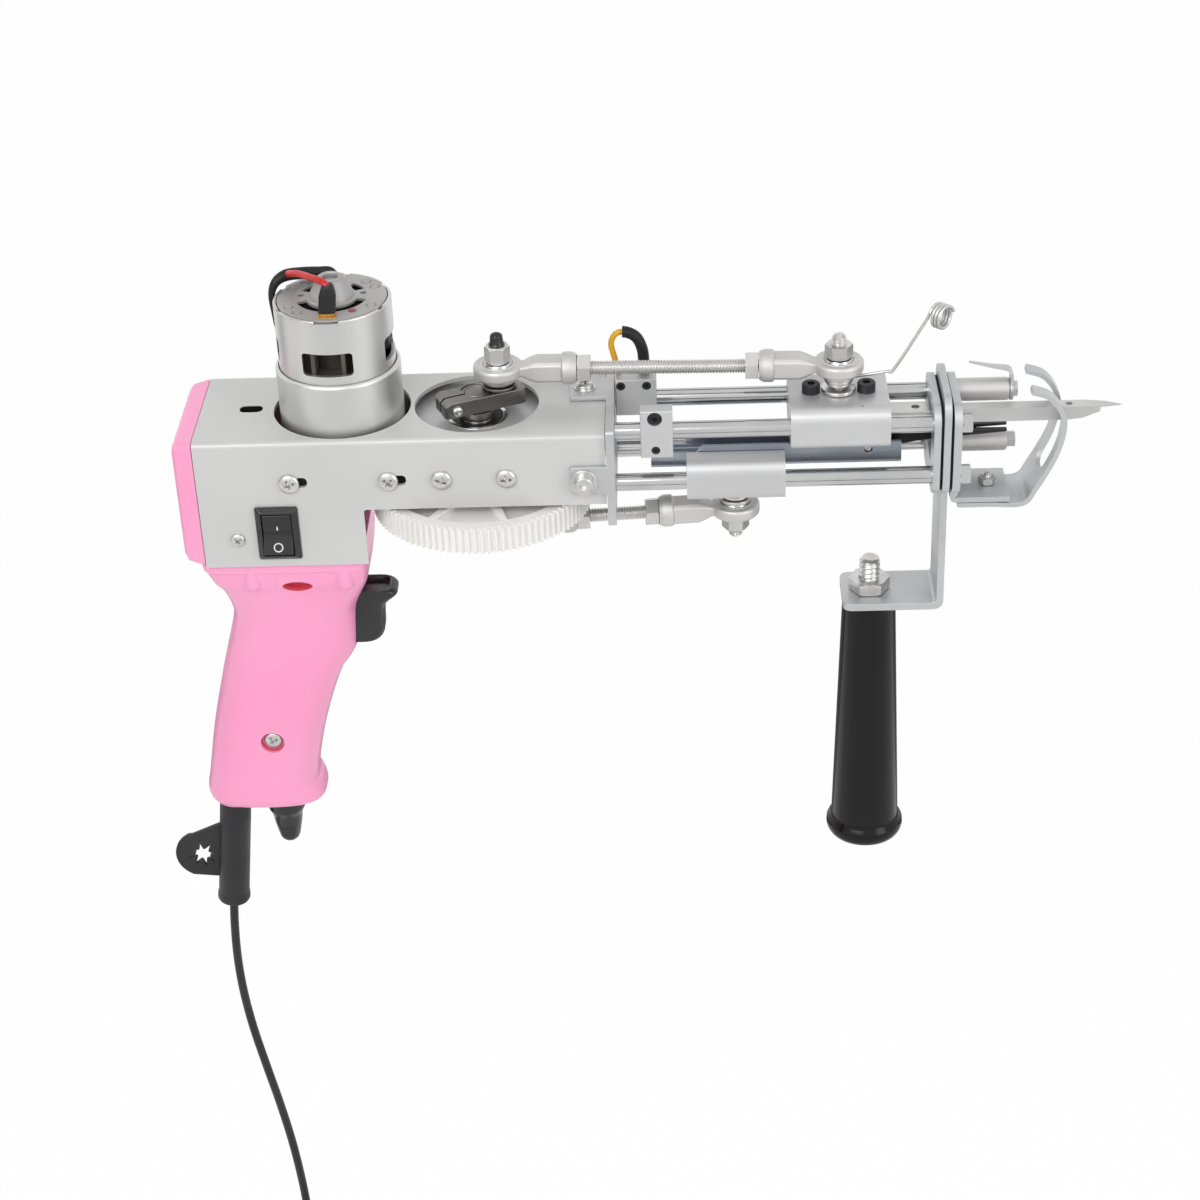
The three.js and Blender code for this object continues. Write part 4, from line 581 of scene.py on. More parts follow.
def rod(radius, low, high, place=(0, 0), axis="X", sides=48):
    """A plain round bar between two heights on its axis; place is where that axis crosses."""
    a, b = place
    spots = {"X": (0, a, b), "Y": (a, 0, b), "Z": (a, b, 0)}
    return turned([(0, low), (radius, low), (radius, high), (0, high)], spots[axis], axis, sides)


def tube(inside, outside, low, high, place=(0, 0, 0), axis="Z", sides=64):
    """A plain hollow bar between two heights on its axis."""
    return turned([(inside, low), (outside, low), (outside, high), (inside, high)], place, axis, sides)


def prism(outline, low, high, axis):
    """Pushes an outline along an axis. Along X it is drawn in Y and Z, along Y in X and Z."""
    def corner(a, b, c):
        return {"X": (c, a, b), "Y": (a, c, b), "Z": (a, b, c)}[axis]
    low, high = sorted((low, high))
    count = len(outline)
    points = [corner(a, b, low) for a, b in outline] + [corner(a, b, high) for a, b in outline]
    faces = [list(range(count))[::-1], list(range(count, 2 * count))]
    faces += [(k, (k + 1) % count, count + (k + 1) % count, count + k) for k in range(count)]
    return mesh_piece(points, faces)


def block(x0, x1, y0, y1, z0, z1):
    y0, y1 = sorted((y0, y1))
    return prism([(x0, y0), (x1, y0), (x1, y1), (x0, y1)], z0, z1, "Z")


def eased(points, radius, steps=5):
    """An outline with its corners rounded. The radius is one number, or one for each corner."""
    count, line = len(points), []
    radii = radius if isinstance(radius, (list, tuple)) else [radius] * count
    for i in range(count):
        a, b, c = (Vector(points[(i + k) % count]) for k in (-1, 0, 1))
        back, ahead = (a - b), (c - b)
        half = back.angle(ahead) / 2 if back.length and ahead.length else math.pi / 2
        reach = min(radii[i] / max(math.tan(half), 1e-6), back.length * 0.49, ahead.length * 0.49)
        if reach < 1e-4:
            line.append(tuple(b))
            continue
        start, end = b + back.normalized() * reach, b + ahead.normalized() * reach
        for k in range(steps + 1):
            t = k / steps
            point = start * (1 - t) ** 2 + b * 2 * t * (1 - t) + end * t ** 2
            line.append(tuple(point))
    return line


def rectangle(a0, a1, b0, b1, radius=0.0, steps=6):
    corners = [(a0, b0), (a1, b0), (a1, b1), (a0, b1)]
    return eased(corners, radius, steps) if radius else corners


def centred(a, b, half_a, half_b, radius=0.0, steps=6):
    """A rectangle given by its middle and its half sizes."""
    return rectangle(a - half_a, a + half_a, b - half_b, b + half_b, radius, steps)


def circle(radius, a=0.0, b=0.0, sides=48):
    return [polar(radius, 2 * math.pi * k / sides, a, b) for k in range(sides)]


def piece(name, shapes, body, material, nodes=(), angle=34):
    """Joins shapes into one named piece that rides on a body and stands for its CAD nodes."""
    bm = bmesh.new()
    for shape in shapes:
        bm.from_mesh(shape.data)
    mesh = bpy.data.meshes.new(name)
    bm.to_mesh(mesh)
    bm.free()
    for shape in shapes:
        bpy.data.objects.remove(shape)
    mesh.transform(TO_FRAME)
    mesh.shade_smooth()
    mesh.set_sharp_from_angle(angle=math.radians(angle))
    mesh.materials.append(material)
    made = linked(name, mesh)
    weighted = made.modifiers.new("normals", "WEIGHTED_NORMAL")
    weighted.keep_sharp = True
    applied(made)
    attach(made, body)
    if nodes:
        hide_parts(*nodes)
    return made


slots = {entry["slot"] for entry in frame["record"]["materials"]}
print("slots in the record", len(slots))

# %% [markdown]
# ## Screws, nuts and threads
#
# Every fastener is made once, standing on the origin with its axis up, and `standing` puts it in
# place. A thread is a round bar whose radius rises and falls as it is read around and along at the
# same time: that is what makes it a helix and not a stack of rings.

# %% Fastener tools
UP, FORWARD = Vector((0, 0, 1)), Vector((1, 0, 0))
NEARWARD, FARWARD = Vector((0, -1, 0)), Vector((0, 1, 0))
BOTH_SIDES = ((-1, NEARWARD), (1, FARWARD))


def standing(shape, place, direction=UP, spin=0.0):
    """Turns a shape's own Z axis to the direction and moves its origin to the place."""
    turn = UP.rotation_difference(direction).to_matrix().to_4x4()
    return moved(shape, Matrix.Translation(place) @ turn @ Matrix.Rotation(math.radians(spin), 4, "Z"))


def fitted(shapes, place, direction=UP, spin=0.0):
    """All the shapes of one fastener, in its place."""
    return [standing(shape, place, direction, spin) for shape in shapes]


def hexagon(across_corners):
    return [polar(across_corners / 2, math.radians(60 * k)) for k in range(6)]


def cross_recess(reach, depth, height):
    """Four tapering wings, as a Phillips driver leaves them."""
    wings = []
    for angle in (0, 90):
        wing = lofted([
            [(x * reach * s, y * reach * 0.2, z) for x, y in ((-1, -1), (1, -1), (1, 1), (-1, 1))]
            for z, s in ((height - depth, 0.35), (height + 0.1, 1.0))
        ])
        wings.append(moved(wing, Matrix.Rotation(math.radians(angle), 4, "Z")))
    return wings


def pan_screw(radius=3.6, height=2.3, washer=0.0):
    """A rounded head with a cross recess, on a washer if that has a radius."""
    dome = [(radius * math.cos(math.radians(a)), height * (0.45 + 0.55 * math.sin(math.radians(a))))
            for a in range(0, 91, 15)]
    head = turned([(0, 0), (radius, 0)] + dome[:-1] + [(0, height)], sides=40)
    head = carved(head, *cross_recess(radius * 0.62, height * 0.75, height))
    if not washer:
        return [head]
    return [shifted(head, z=0.5), soft(rod(washer, 0, 0.5, axis="Z", sides=64), 0.12)]


def socket_screw(radius=2.4, height=2.2, key=2.4):
    """A cylinder head with a hexagonal socket."""
    head = turned([(0, 0), (radius, 0), (radius, height - 0.3), (radius - 0.3, height), (0, height)],
                  sides=40)
    return [carved(head, prism(hexagon(key), height * 0.45, height + 1, "Z"))]


def nut(across_corners, height, bore=0.0, crown=0.9, slope=0.55):
    """A hexagon whose corners are turned off to a cone at both ends. The crown is the share of
    the top that stays flat, and the slope says how steeply the upper cone falls away."""
    big, small = across_corners / 2 + 0.01, across_corners / 2 * 0.9
    chamfer = (big - small) * 0.55
    top = across_corners / 2 * crown
    body = common(
        prism(hexagon(across_corners), 0, height, "Z"),
        turned([(0, 0), (small, 0), (big, chamfer), (big, height - (big - top) * slope), (top, height),
                (0, height)]),
    )
    if bore:
        body = carved(body, rod(bore, -1, height + 1, axis="Z"))
    return body


def thread(radius, pitch, low, high, sides=36, depth=None, tip=0.0):
    """A threaded bar along Z. The tip is how much its top end narrows."""
    depth = depth or pitch * 0.5
    rows = max(2, round((high - low) / pitch * 8))
    rings = []
    for row in range(rows + 1):
        height = low + (high - low) * row / rows
        narrow = tip * max(0.0, 1 - (high - height) / max(tip, 0.01)) if tip else 0.0
        ring = []
        for k in range(sides):
            angle = 2 * math.pi * k / sides
            phase = height / pitch - k / sides
            reach = radius - depth * (0.5 + 0.5 * math.cos(2 * math.pi * phase)) - narrow
            ring.append((*polar(reach, angle), height))
        rings.append(ring)
    return lofted(rings)


print("fastener tools are ready")

# %% [markdown]
# ## The housing
#
# One steel sheet, folded twice into a channel. The folds have a real radius outside and a smaller
# one inside, and every hole is punched: the motor's, the crank's, a slot for the leads, slots for
# the screws and a window for the power switch. The pink cap behind it is moulded, with a sloped
# face all round.

# %% Housing
SHEET, FOLD = 1.5, 2.5
HALF_WIDTH, FRONT, REAR, SKIRT = 26.75, 46.5, -100.3, -50.7
MOTOR_X, NOTCH_X, ROCKER_X, ROCKER_Z = -48.8, -41.1, -72.6, -36.6
NOSE_DEPTH, SIDE_SCREW_Z = -28.1, -16.4
MOTOR_HOLE, CRANK_HOLE = 24.9, 22.6
MOUNT_SLOTS = (MOTOR_X - 15.5, MOTOR_X + 20)
inner = HALF_WIDTH - SHEET


def housing_shell():
    outline = eased(
        [(-HALF_WIDTH, SKIRT), (-inner, SKIRT), (-inner, -SHEET), (inner, -SHEET), (inner, SKIRT),
         (HALF_WIDTH, SKIRT), (HALF_WIDTH, 0), (-HALF_WIDTH, 0)],
        [0, 0, 1, 1, 0, 0, FOLD, FOLD], 6)
    notch_corner = eased(
        [(NOTCH_X, SKIRT - 1), (FRONT + 1, SKIRT - 1), (FRONT + 1, NOSE_DEPTH), (NOTCH_X, NOSE_DEPTH)],
        [0, 0, 0, 1.5], 5)
    cuts = [
        prism(notch_corner, -HALF_WIDTH - 1, HALF_WIDTH + 1, "Y"),
        rod(MOTOR_HOLE, -4, 2, (MOTOR_X, 0), "Z", 96),
        rod(CRANK_HOLE, -4, 2, (0, 0), "Z", 96),
        prism(rectangle(MOTOR_X - 37.5, MOTOR_X - 29, -2.7, 2.7, 2.6), -4, 2, "Z"),
        prism(centred(ROCKER_X, ROCKER_Z, 6.8, 9.8), -30, -20, "Y"),
    ]
    for place in MOUNT_SLOTS:
        slot = centred(place, SIDE_SCREW_Z, 4, 2, 1.95)
        cuts += [prism(slot, side * HALF_WIDTH - 2, side * HALF_WIDTH + 2, "Y") for side in (-1, 1)]
    shell = carved(prism(outline, REAR, FRONT, "X"), *cuts)
    return soft(shell, 0.22, 2, 40)


def slot_shade_linings():
    """Dark skins of painted shade inside the leads' slot and behind the screws' slots, so that they read as
    deep.
    """
    outer = prism(rectangle(MOTOR_X - 37.45, MOTOR_X - 29.05, -2.65, 2.65, 2.55), -9, -0.3, "Z")
    bore = prism(rectangle(MOTOR_X - 37.3, MOTOR_X - 29.2, -2.5, 2.5, 2.4), -8.5, 1, "Z")
    backs = [block(place - 4.4, place + 4.4, side * 25, side * 25.2, SIDE_SCREW_Z - 2.4, SIDE_SCREW_Z + 2.4)
             for place in MOUNT_SLOTS for side in (-1, 1)]
    return [carved(outer, bore)] + backs


def rear_cap():
    """Each ring is so far behind the cap's front, and smaller than the housing by so much."""
    front = REAR - 0.3
    shell = lofted([
        [(front - behind, a, b) for a, b in
         rectangle(less - HALF_WIDTH, HALF_WIDTH - less, SKIRT + foot, -less, radius, 8)]
        for behind, less, foot, radius in (
            (7.5, 3.1, 3.8, 2.6), (7.3, 2.6, 3.3, 3.0), (6.9, 2.2, 2.8, 3.2), (6.1, 1.2, 1.6, 2.8),
            (0.4, 0.05, 0.05, 2.5), (0, 0.35, 0.35, 2.4))])
    ears = [block(front - 1, -83.1, side - 1.1, side + 1.1, -44, -34) for side in (-23.85, 23.85)]
    return [shell] + ears


piece("housing_shell", [housing_shell()], "frame", painted_sheet, ["housing"])
# Painted shade: dark skins inside the housing's slots.
piece("housing_slots", slot_shade_linings(), "frame", slot_shadow)
piece("rear_cap_shell", rear_cap(), "frame", pink_plastic, ["rear_cap"])


def side_screws():
    """Pan-head screws on both flanks. Some sit in slots, where a motor's mount can be slid."""
    shapes = []
    for side, outwards in BOTH_SIDES:
        face = side * HALF_WIDTH
        for i, x in enumerate((MOTOR_X - 18, MOTOR_X + 17.5, -12.2, 10.9)):
            shapes += fitted(pan_screw(3.7, 2.2), (x, face, SIDE_SCREW_Z), outwards, 20 + 25 * i)
        shapes += fitted(pan_screw(2.6, 1.7), (-87.5, face, -39.1), outwards, 35)
    return shapes


piece("housing_screws", side_screws(), "frame", fastener_steel)

# %% [markdown]
# ## The power switch
#
# A snap-in rocker: a bezel with a sloped flange holds a body behind the sheet, and the rocker's
# face is a shallow V that turns on a pin. Its upper half is pressed in. The two marks are the
# common signs for on and off, as thin pads on the rocker's halves.

# %% Power switch
FACE = -HALF_WIDTH - 0.3
ROCKER_REACH, ROCKER_EDGE, ROCKER_TILT = 10.8 - 2.2 - 0.4, 66, 9


def bezel():
    """Its flange slopes on all four sides to a flat rim."""
    def ring(depth, narrow):
        return [(ROCKER_X + a, FACE - depth, ROCKER_Z + b) for a, b in
                rectangle(narrow - 7.8, 7.8 - narrow, narrow - 10.8, 10.8 - narrow, 1.0, 5)]

    flange = lofted([ring(0, 0), ring(0.4, 0), ring(1.7, 1.3), ring(2, 1.6)])
    body = prism(centred(ROCKER_X, ROCKER_Z, 6.5, 9.5), FACE - 0.5, -14.25, "Y")
    mouth = prism(centred(ROCKER_X, ROCKER_Z, 5.6, 8.6, 0.5, 4), FACE - 3, FACE + 8, "Y")
    return soft(carved(fused(flange, body), mouth), 0.35, 3, 40)


def rocker_turned(shape):
    """From the rocker's own pin, tilted by its rest angle, to its place in the bezel."""
    tilt = Matrix.Rotation(-math.radians(ROCKER_TILT), 4, "X")
    return moved(shape, Matrix.Translation((0, FACE + 0.5, ROCKER_Z)) @ tilt)


def rocker_body():
    """Drawn in depth and height: an arc below, its mirror image above, and a shallow V between."""
    lower = [polar(-ROCKER_REACH, math.radians(a)) for a in (ROCKER_EDGE, 72, 80, 88, 97, 105, 112)]
    upper = [(depth, -height) for depth, height in reversed(lower)]
    outline = lower + upper + [(-2.2, 1.6), (-1.9, 0), (-2.2, -1.6)]
    body = prism(outline, ROCKER_X - 5.3, ROCKER_X + 5.3, "X")
    return rocker_turned(soft(body, 0.3, 3, 50))


def rocker_marks():
    """A dash above and a ring below, just proud of the faces they lie on."""
    tip_depth, tip_height = polar(ROCKER_REACH, math.radians(ROCKER_EDGE))
    slope = math.atan2(tip_depth - 2.1, tip_height - 1.0)
    shapes = []
    dash = prism(rectangle(-0.8, 0.8, -0.27, 0.27, 0.2), 0, 0.08, "Z")
    ring = tube(1.3, 1.75, 0, 0.08, sides=40)
    for shape, side, height, spin in ((dash, 1, 2.3, 90), (ring, -1, -4.9, 0)):
        depth = -2.1 - math.tan(slope) * (abs(height) - 1.0)
        outwards = Vector((0, -math.cos(slope), -side * math.sin(slope)))
        shapes.append(rocker_turned(standing(shape, (ROCKER_X, depth, height), outwards, spin)))
    return shapes


piece("switch_bezel", [bezel()], "frame", black_plastic, ["rocker_bezel"])
piece("switch_rocker", [rocker_body()], "power_rocker", black_plastic, ["rocker"])
piece("switch_marks", rocker_marks(), "power_rocker", switch_mark)
print("switch is in its window")

# %% [markdown]
# ## The motor
#
# The can is drawn from sheet, so its foot has a radius and its wall is thin enough to see in the
# four brush windows. A plain steel ring closes the magnetic path around it. On top lies the end
# cap: a boss for the bearing, five curved vents, small pressed rings, and the two terminals.

# %% Motor
CAN_TOP, CAN_BOTTOM, RING_TOP, WINDOW_Z = 43.5, -23.2, 19.0, 22.3
CAN_R, RING_R, SHAFT_R, WINDOW_TURN = 21.0, 22.5, 2.45, -3
AXIS = (MOTOR_X, 0, 0)


def around(shape, degrees):
    """Turns a shape that was drawn about the origin, and sets it on the motor's axis."""
    turn = Matrix.Rotation(math.radians(degrees), 4, "Z")
    return moved(shape, Matrix.Translation(AXIS) @ turn)


def can_shell():
    wall = turned([
        (3, CAN_BOTTOM), (CAN_R - 2, CAN_BOTTOM), (CAN_R - 0.6, CAN_BOTTOM + 0.6),
        (CAN_R, CAN_BOTTOM + 2), (CAN_R, CAN_TOP - 0.5), (CAN_R - 0.25, CAN_TOP - 0.1),
        (CAN_R - 0.6, CAN_TOP), (CAN_R - 1.1, CAN_TOP - 0.1), (CAN_R - 1.3, CAN_TOP - 1),
        (CAN_R - 1.5, CAN_TOP - 1.4), (CAN_R - 1.5, CAN_BOTTOM + 1.5), (3, CAN_BOTTOM + 1.5)],
        AXIS, "Z", 112)
    cuts = []
    for quarter in range(4):
        window = prism(rectangle(-9, 9, WINDOW_Z, WINDOW_Z + 8.7, 1.6, 6), CAN_R - 4, CAN_R + 2, "X")
        cuts.append(around(window, 90 * quarter + WINDOW_TURN))
    for degrees in (-90, 90, 28, 152, -28, -152):
        width = 4.4 if abs(degrees) == 90 else 1.6
        notch = block(CAN_R - 2.5, CAN_R + 1, -width, width, CAN_TOP - 0.9, CAN_TOP + 1)
        cuts.append(around(notch, degrees))
    return soft(carved(wall, *cuts), 0.15, 2, 45)


def motor_inside():
    """What shows through the windows: a dark brush carrier with its posts and a copper-brown drum."""
    drum = turned([(0, 8), (17, 8), (17, 20), (11, 21), (11, 32), (18.8, 33), (18.8, 35), (0, 35)], AXIS)
    posts = [around(block(13, 18.6, -2.2, 2.2, 20, 34), 45 + 90 * k) for k in range(4)]
    arms = [around(block(12, 18.2, s * 5.4 - 0.7, s * 5.4 + 0.7, 21, 31), 90 * k + WINDOW_TURN)
            for k in range(4) for s in (-1, 1)]
    return [drum] + posts + arms


def curved_band(inside, outside, degrees):
    """The outline of a band between two radii."""
    angles = [math.radians(a) for a in degrees]
    return [polar(outside, a) for a in angles] + [polar(inside, a) for a in reversed(angles)]


def end_cap():
    """Each vent is an arc around the boss, given by its middle and how far it reaches to each side."""
    base = CAN_TOP - 0.7
    plate = turned([
        (2.9, base), (CAN_R - 1.5, base), (CAN_R - 1.5, base + 0.7), (CAN_R - 2.2, base + 0.9),
        (13.4, base + 0.9), (8.5, base + 1.0), (8.0, base + 1.4), (7.8, base + 2.6), (7.0, base + 4.2),
        (6.0, base + 6.2), (5.4, base + 7.8), (4.9, base + 8.4), (2.9, base + 8.5)], AXIS, "Z", 112)
    cuts = []
    for degrees, reach in ((229, 32), (314, 34), (44, 15), (90, 17), (140, 14)):
        arc = curved_band(9.1, 12.7, range(-reach, reach + 1, 2))
        cuts.append(around(prism(eased(arc, 0.4, 2), base - 1, base + 3, "Z"), degrees))
    cuts += [around(rod(1.15, base - 1, base + 3, (11.3, 0), "Z", 24), a) for a in (14, 171)]
    for degrees in (-151, -131, -28, 28, 48, 131, 154):
        cuts.append(around(tube(1.45, 1.85, base + 0.5, base + 1.2, (16.6, 0, 0), "Z", 32), degrees))
    return soft(carved(plate, *cuts), 0.12, 2, 40)


def bearing_cup():
    """The rolled seat around the shaft's end, with the shaft showing in it."""
    top = CAN_TOP + 7.9
    return [
        turned([(2.9, top - 1.2), (4.4, top - 1.2), (4.4, top), (4.0, top + 0.4), (3.3, top + 0.4),
                (2.9, top)], AXIS),
        rod(SHAFT_R, CAN_TOP - 2, CAN_TOP + 6.6, (MOTOR_X, 0), "Z"),
    ]


def oval_ring(x, y, z, half, deep):
    """A flattened oval, level, for the terminals' crimps and sleeves."""
    ring = []
    for c, s in circle(1, sides=32):
        across, along = math.copysign(abs(c) ** 0.6, c), math.copysign(abs(s) ** 0.6, s)
        ring.append((x + half * across, y + deep * along, z))
    return ring


def terminal(side):
    """An insulated foot, and the brass crimp that stands in it."""
    y = side * 16
    rows = ((-0.5, 2.7, 1.0), (0.5, 2.8, 1.2), (0.8, 2.9, 1.5), (1.5, 2.9, 1.5))
    crimp = lofted([oval_ring(MOTOR_X, y, CAN_TOP + z, half, deep) for z, half, deep in rows])
    return [crimp, block(MOTOR_X - 3.4, MOTOR_X + 3.4, y - 1.9, y + 1.7, CAN_TOP - 0.6, CAN_TOP + 0.4)]


piece("motor_casing", [can_shell()], "frame", motor_zinc, ["motor_can"])
piece("motor_ring", [turned([
    (21.1, RING_TOP - 36), (RING_R - 0.2, RING_TOP - 36), (RING_R, RING_TOP - 35.8),
    (RING_R, RING_TOP - 1.5), (RING_R - 0.1, RING_TOP - 0.9), (RING_R - 0.4, RING_TOP - 0.4),
    (RING_R - 0.8, RING_TOP - 0.1), (21.4, RING_TOP), (21.25, RING_TOP - 0.25)], AXIS, "Z", 112)],
    "frame", motor_zinc, ["motor_flux_ring"])
piece("motor_cap", [end_cap()] + bearing_cup(), "frame", cap_steel, ["motor_end_cap"])
piece("motor_core", motor_inside(), "frame", dark_hollow)
# Painted shade: a dark disc under the end cap, so that the vents read as deep holes.
piece("motor_vents", [tube(7, 14, CAN_TOP - 2, CAN_TOP - 1.6, AXIS)], "frame", slot_shadow)
piece("motor_terminals", terminal(-1) + terminal(1), "frame", brass)
piece("motor_mark", [around(turned([(0, CAN_TOP + 0.1), (1.55, CAN_TOP + 0.1), (1.45, CAN_TOP + 0.35),
                                    (0, CAN_TOP + 0.4)], (14.7, 0, 0), "Z", 32), -55)], "frame", red_dot)
print("motor built")

# %% [markdown]
# ## The motor's leads
#
# The red lead leaves a black sleeve over the near terminal and crosses the cap. The black one
# starts in a thick sleeve at the back, bends over the rim and goes down the can's side into the
# housing. Their lines follow the CAD ones, and the thickness changes along the way.

# %% Motor leads
GAP_X, GAP_Y = polar(23.7, math.radians(158), MOTOR_X)
red_line = [
    (MOTOR_X + 0.7, -14.6, CAN_TOP + 9.5), (MOTOR_X, -13.8, CAN_TOP + 11.4),
    (MOTOR_X - 2.4, -11.0, CAN_TOP + 11.6), (MOTOR_X - 6.5, -5, CAN_TOP + 10.2),
    (MOTOR_X - 11.5, 2.5, CAN_TOP + 8.2), (MOTOR_X - 16, 9.5, CAN_TOP + 5.2),
]
black_line = [
    (MOTOR_X - 0.4, 16, CAN_TOP + 1.4), (MOTOR_X - 2.4, 16.4, CAN_TOP + 2.7),
    (MOTOR_X - 6.5, 16, CAN_TOP + 2.5), (MOTOR_X - 12, 14.2, CAN_TOP + 3.2),
    (MOTOR_X - 17.5, 11.4, CAN_TOP + 3.7), (MOTOR_X - 21.2, 9.4, CAN_TOP + 1.6),
    (MOTOR_X - 22.8, 8.6, CAN_TOP - 3.6), (GAP_X - 0.4, GAP_Y, CAN_TOP - 13),
    (GAP_X, GAP_Y, RING_TOP + 8), (GAP_X, GAP_Y, RING_TOP - 4), (GAP_X, GAP_Y, 0), (GAP_X, GAP_Y, -7),
]


def lead_thickness(share):
    """Thick in its sleeve, and thin once the sleeve has ended beside the can."""
    return 1.3 + 0.9 * min(1.0, share / 0.2) - 1.35 * min(1.0, max(0.0, (share - 0.36) / 0.24))


def sleeve_over_terminal():
    """A flat sleeve that leans back over the cap and closes to a blunt point."""
    rows = ((0, 2.9, 1.35), (0.08, 3.05, 1.5), (0.6, 3.05, 1.5), (0.76, 2.7, 1.6), (0.94, 2.1, 1.5),
            (1, 1.5, 1.1))
    return lofted([oval_ring(MOTOR_X + share, -16 + 1.9 * share, CAN_TOP + 1.2 + 10.4 * share, half, deep)
                   for share, half, deep in rows])


piece("motor_lead_red", [wire(smooth_line(red_line, 8), 1.25)], "frame", red_insulation, ["red_wire"])
piece("motor_lead_black", [wire(smooth_line(black_line, 8), lead_thickness), sleeve_over_terminal()],
      "frame", black_insulation, ["black_wire"])
print("leads on the motor", 2)

# %% [markdown]
# ## The gear and the crank
#
# Ninety-nine teeth of module 0.8 give a wheel of 79 mm. It is moulded nylon: the web is thinner
# than the rim and the hub, and eight ribs stiffen it. Each tooth's outline is drawn from a flank
# that narrows towards the tip, with its corners eased as a mould leaves them. Above it sits the
# clamped crank, of dark steel with a painted highlight along its edges, over a sealed ball bearing.

# %% Gear
MODULE, TEETH, PINION = 0.8, 99, 23
GEAR_TOP, GEAR_BOTTOM, GEAR_BORE, PHASE = -29.9, -39.9, 4.3, 16.5


def toothed(teeth):
    """One outline of all the teeth. The flank's points are rises and half widths."""
    pitch, radius = 2 * math.pi / teeth, MODULE * teeth / 2
    flank = [(-1.15, 0.33), (-0.85, 0.28), (0.1, 0.205), (0.75, 0.13), (0.92, 0.085)]
    points = []
    for tooth in range(teeth):
        for side in (-1, 1):
            for rise, half in (flank if side < 0 else reversed(flank)):
                angle = (tooth + side * half) * pitch
                points.append(polar(radius + MODULE * rise, angle))
    return points


def gear_wheel():
    wheel = prism(toothed(TEETH), GEAR_BOTTOM, GEAR_TOP, "Z")
    web = turned([(14, GEAR_TOP - 2.2), (14.4, GEAR_TOP - 2.5), (34.2, GEAR_TOP - 2.5),
                  (34.7, GEAR_TOP - 2.1), (35, GEAR_TOP + 1), (13.7, GEAR_TOP + 1)], sides=128)
    wheel = carved(wheel, web, rod(GEAR_BORE, GEAR_BOTTOM - 1, GEAR_TOP + 1, axis="Z"))
    ribs = []
    for k in range(8):
        rib = soft(block(13, 35.4, -1.5, 1.5, GEAR_TOP - 3, GEAR_TOP - 0.3), 0.4, 3)
        ribs.append(moved(rib, Matrix.Rotation(math.radians(PHASE + 45 * k), 4, "Z")))
    hub = turned([(GEAR_BORE, GEAR_TOP - 1), (8, GEAR_TOP - 1), (8, GEAR_TOP + 0.2), (7.6, GEAR_TOP + 0.5),
                  (4.6, GEAR_TOP + 0.5), (GEAR_BORE, GEAR_TOP + 0.2)])
    return [wheel] + ribs + [hub]


def rotor_pinion():
    teeth = carved(prism(toothed(PINION), GEAR_BOTTOM + 0.3, GEAR_TOP - 0.3, "Z"),
                   rod(2.4, GEAR_BOTTOM - 1, GEAR_TOP + 1, axis="Z"))
    return shifted(soft(teeth, 0.1, 1, 60), x=MOTOR_X)


piece("gear_wheel", gear_wheel(), "gear", nylon, ["drive_gear"], 30)
rotor_shaft = rod(SHAFT_R, GEAR_BOTTOM, CAN_BOTTOM + 3, (MOTOR_X, 0), "Z")
piece("motor_pinion", [rotor_pinion(), rotor_shaft], "rotor", rotor_steel, ["motor_rotor"])
print("teeth", TEETH, "and", PINION)

# %% Crank and its bearing
THROW, NEEDLE_PHASE = 9.0, math.radians(24)
ARM_TOP, ARM_BOTTOM = 4.9, -1.0
CARRIER_TOP, BEARING_WIDTH = -4.8, 7


def crank_turned(shape):
    return moved(shape, Matrix.Rotation(NEEDLE_PHASE, 4, "Z"))


def crank_arm():
    """A milled bar, clamped on the shaft by a slit, with a groove ground around the shaft."""
    bar = prism(rectangle(-14, THROW + 8.2, -6, 6, 1.8, 6), ARM_BOTTOM, ARM_TOP, "Z")
    groove = curved_band(5.2, 5.95, range(-52, 150, 8))
    slope = moved(block(-3.4, 3.4, -8, 8, -2, 2), Matrix.Translation((-14.4, 0, ARM_TOP + 0.8))
                  @ Matrix.Rotation(-0.6, 4, "Y"))
    bar = carved(bar, prism(groove, ARM_TOP - 0.8, ARM_TOP + 1, "Z"), slope,
                 block(-15, -4, -0.6, 0.6, ARM_BOTTOM - 1, ARM_TOP + 1),
                 rod(4.25, ARM_BOTTOM - 1, ARM_TOP + 1, axis="Z"))
    return crank_turned(soft(bar, 0.35, 3, 40))


def clamp_screw():
    """The bright cross-head screw that draws the slit together."""
    return [crank_turned(shape) for shape in fitted(pan_screw(1.9, 1.2), (-9.5, -6, 1.6), NEARWARD, 30)]


def shaft_end():
    """The blackened end that the crank clamps, and the collar that it rests on."""
    end = turned([(0, -8), (4.2, -8), (4.2, ARM_TOP - 0.3), (4.05, ARM_TOP - 0.1), (0, ARM_TOP - 0.1)])
    collar = turned([(4, CARRIER_TOP + 0.3), (6.5, CARRIER_TOP + 0.3), (6.5, -1.5), (6.1, -1.3), (4, -1.3)])
    return [end, collar]


def ball_bearing(top):
    """Two bright rings, and the dark shield that is sunk between them."""
    low = top - BEARING_WIDTH
    rings = [soft(tube(9.4, 11, low, top), 0.3, 3), soft(tube(4.3, 6.1, low, top), 0.25, 3)]
    return rings, tube(6, 9.5, low + 0.5, top - 0.5)


def carrier():
    wall = inner - 0.3
    body = soft(block(-23.5, 23.5, -wall, wall, NOSE_DEPTH, CARRIER_TOP), 0.6, 3)
    return carved(body, rod(11.25, CARRIER_TOP - 7.3, 0, axis="Z", sides=72),
                  rod(11.25, NOSE_DEPTH - 1, NOSE_DEPTH + 7.3, axis="Z", sides=72),
                  rod(7, NOSE_DEPTH - 1, 0, axis="Z"))


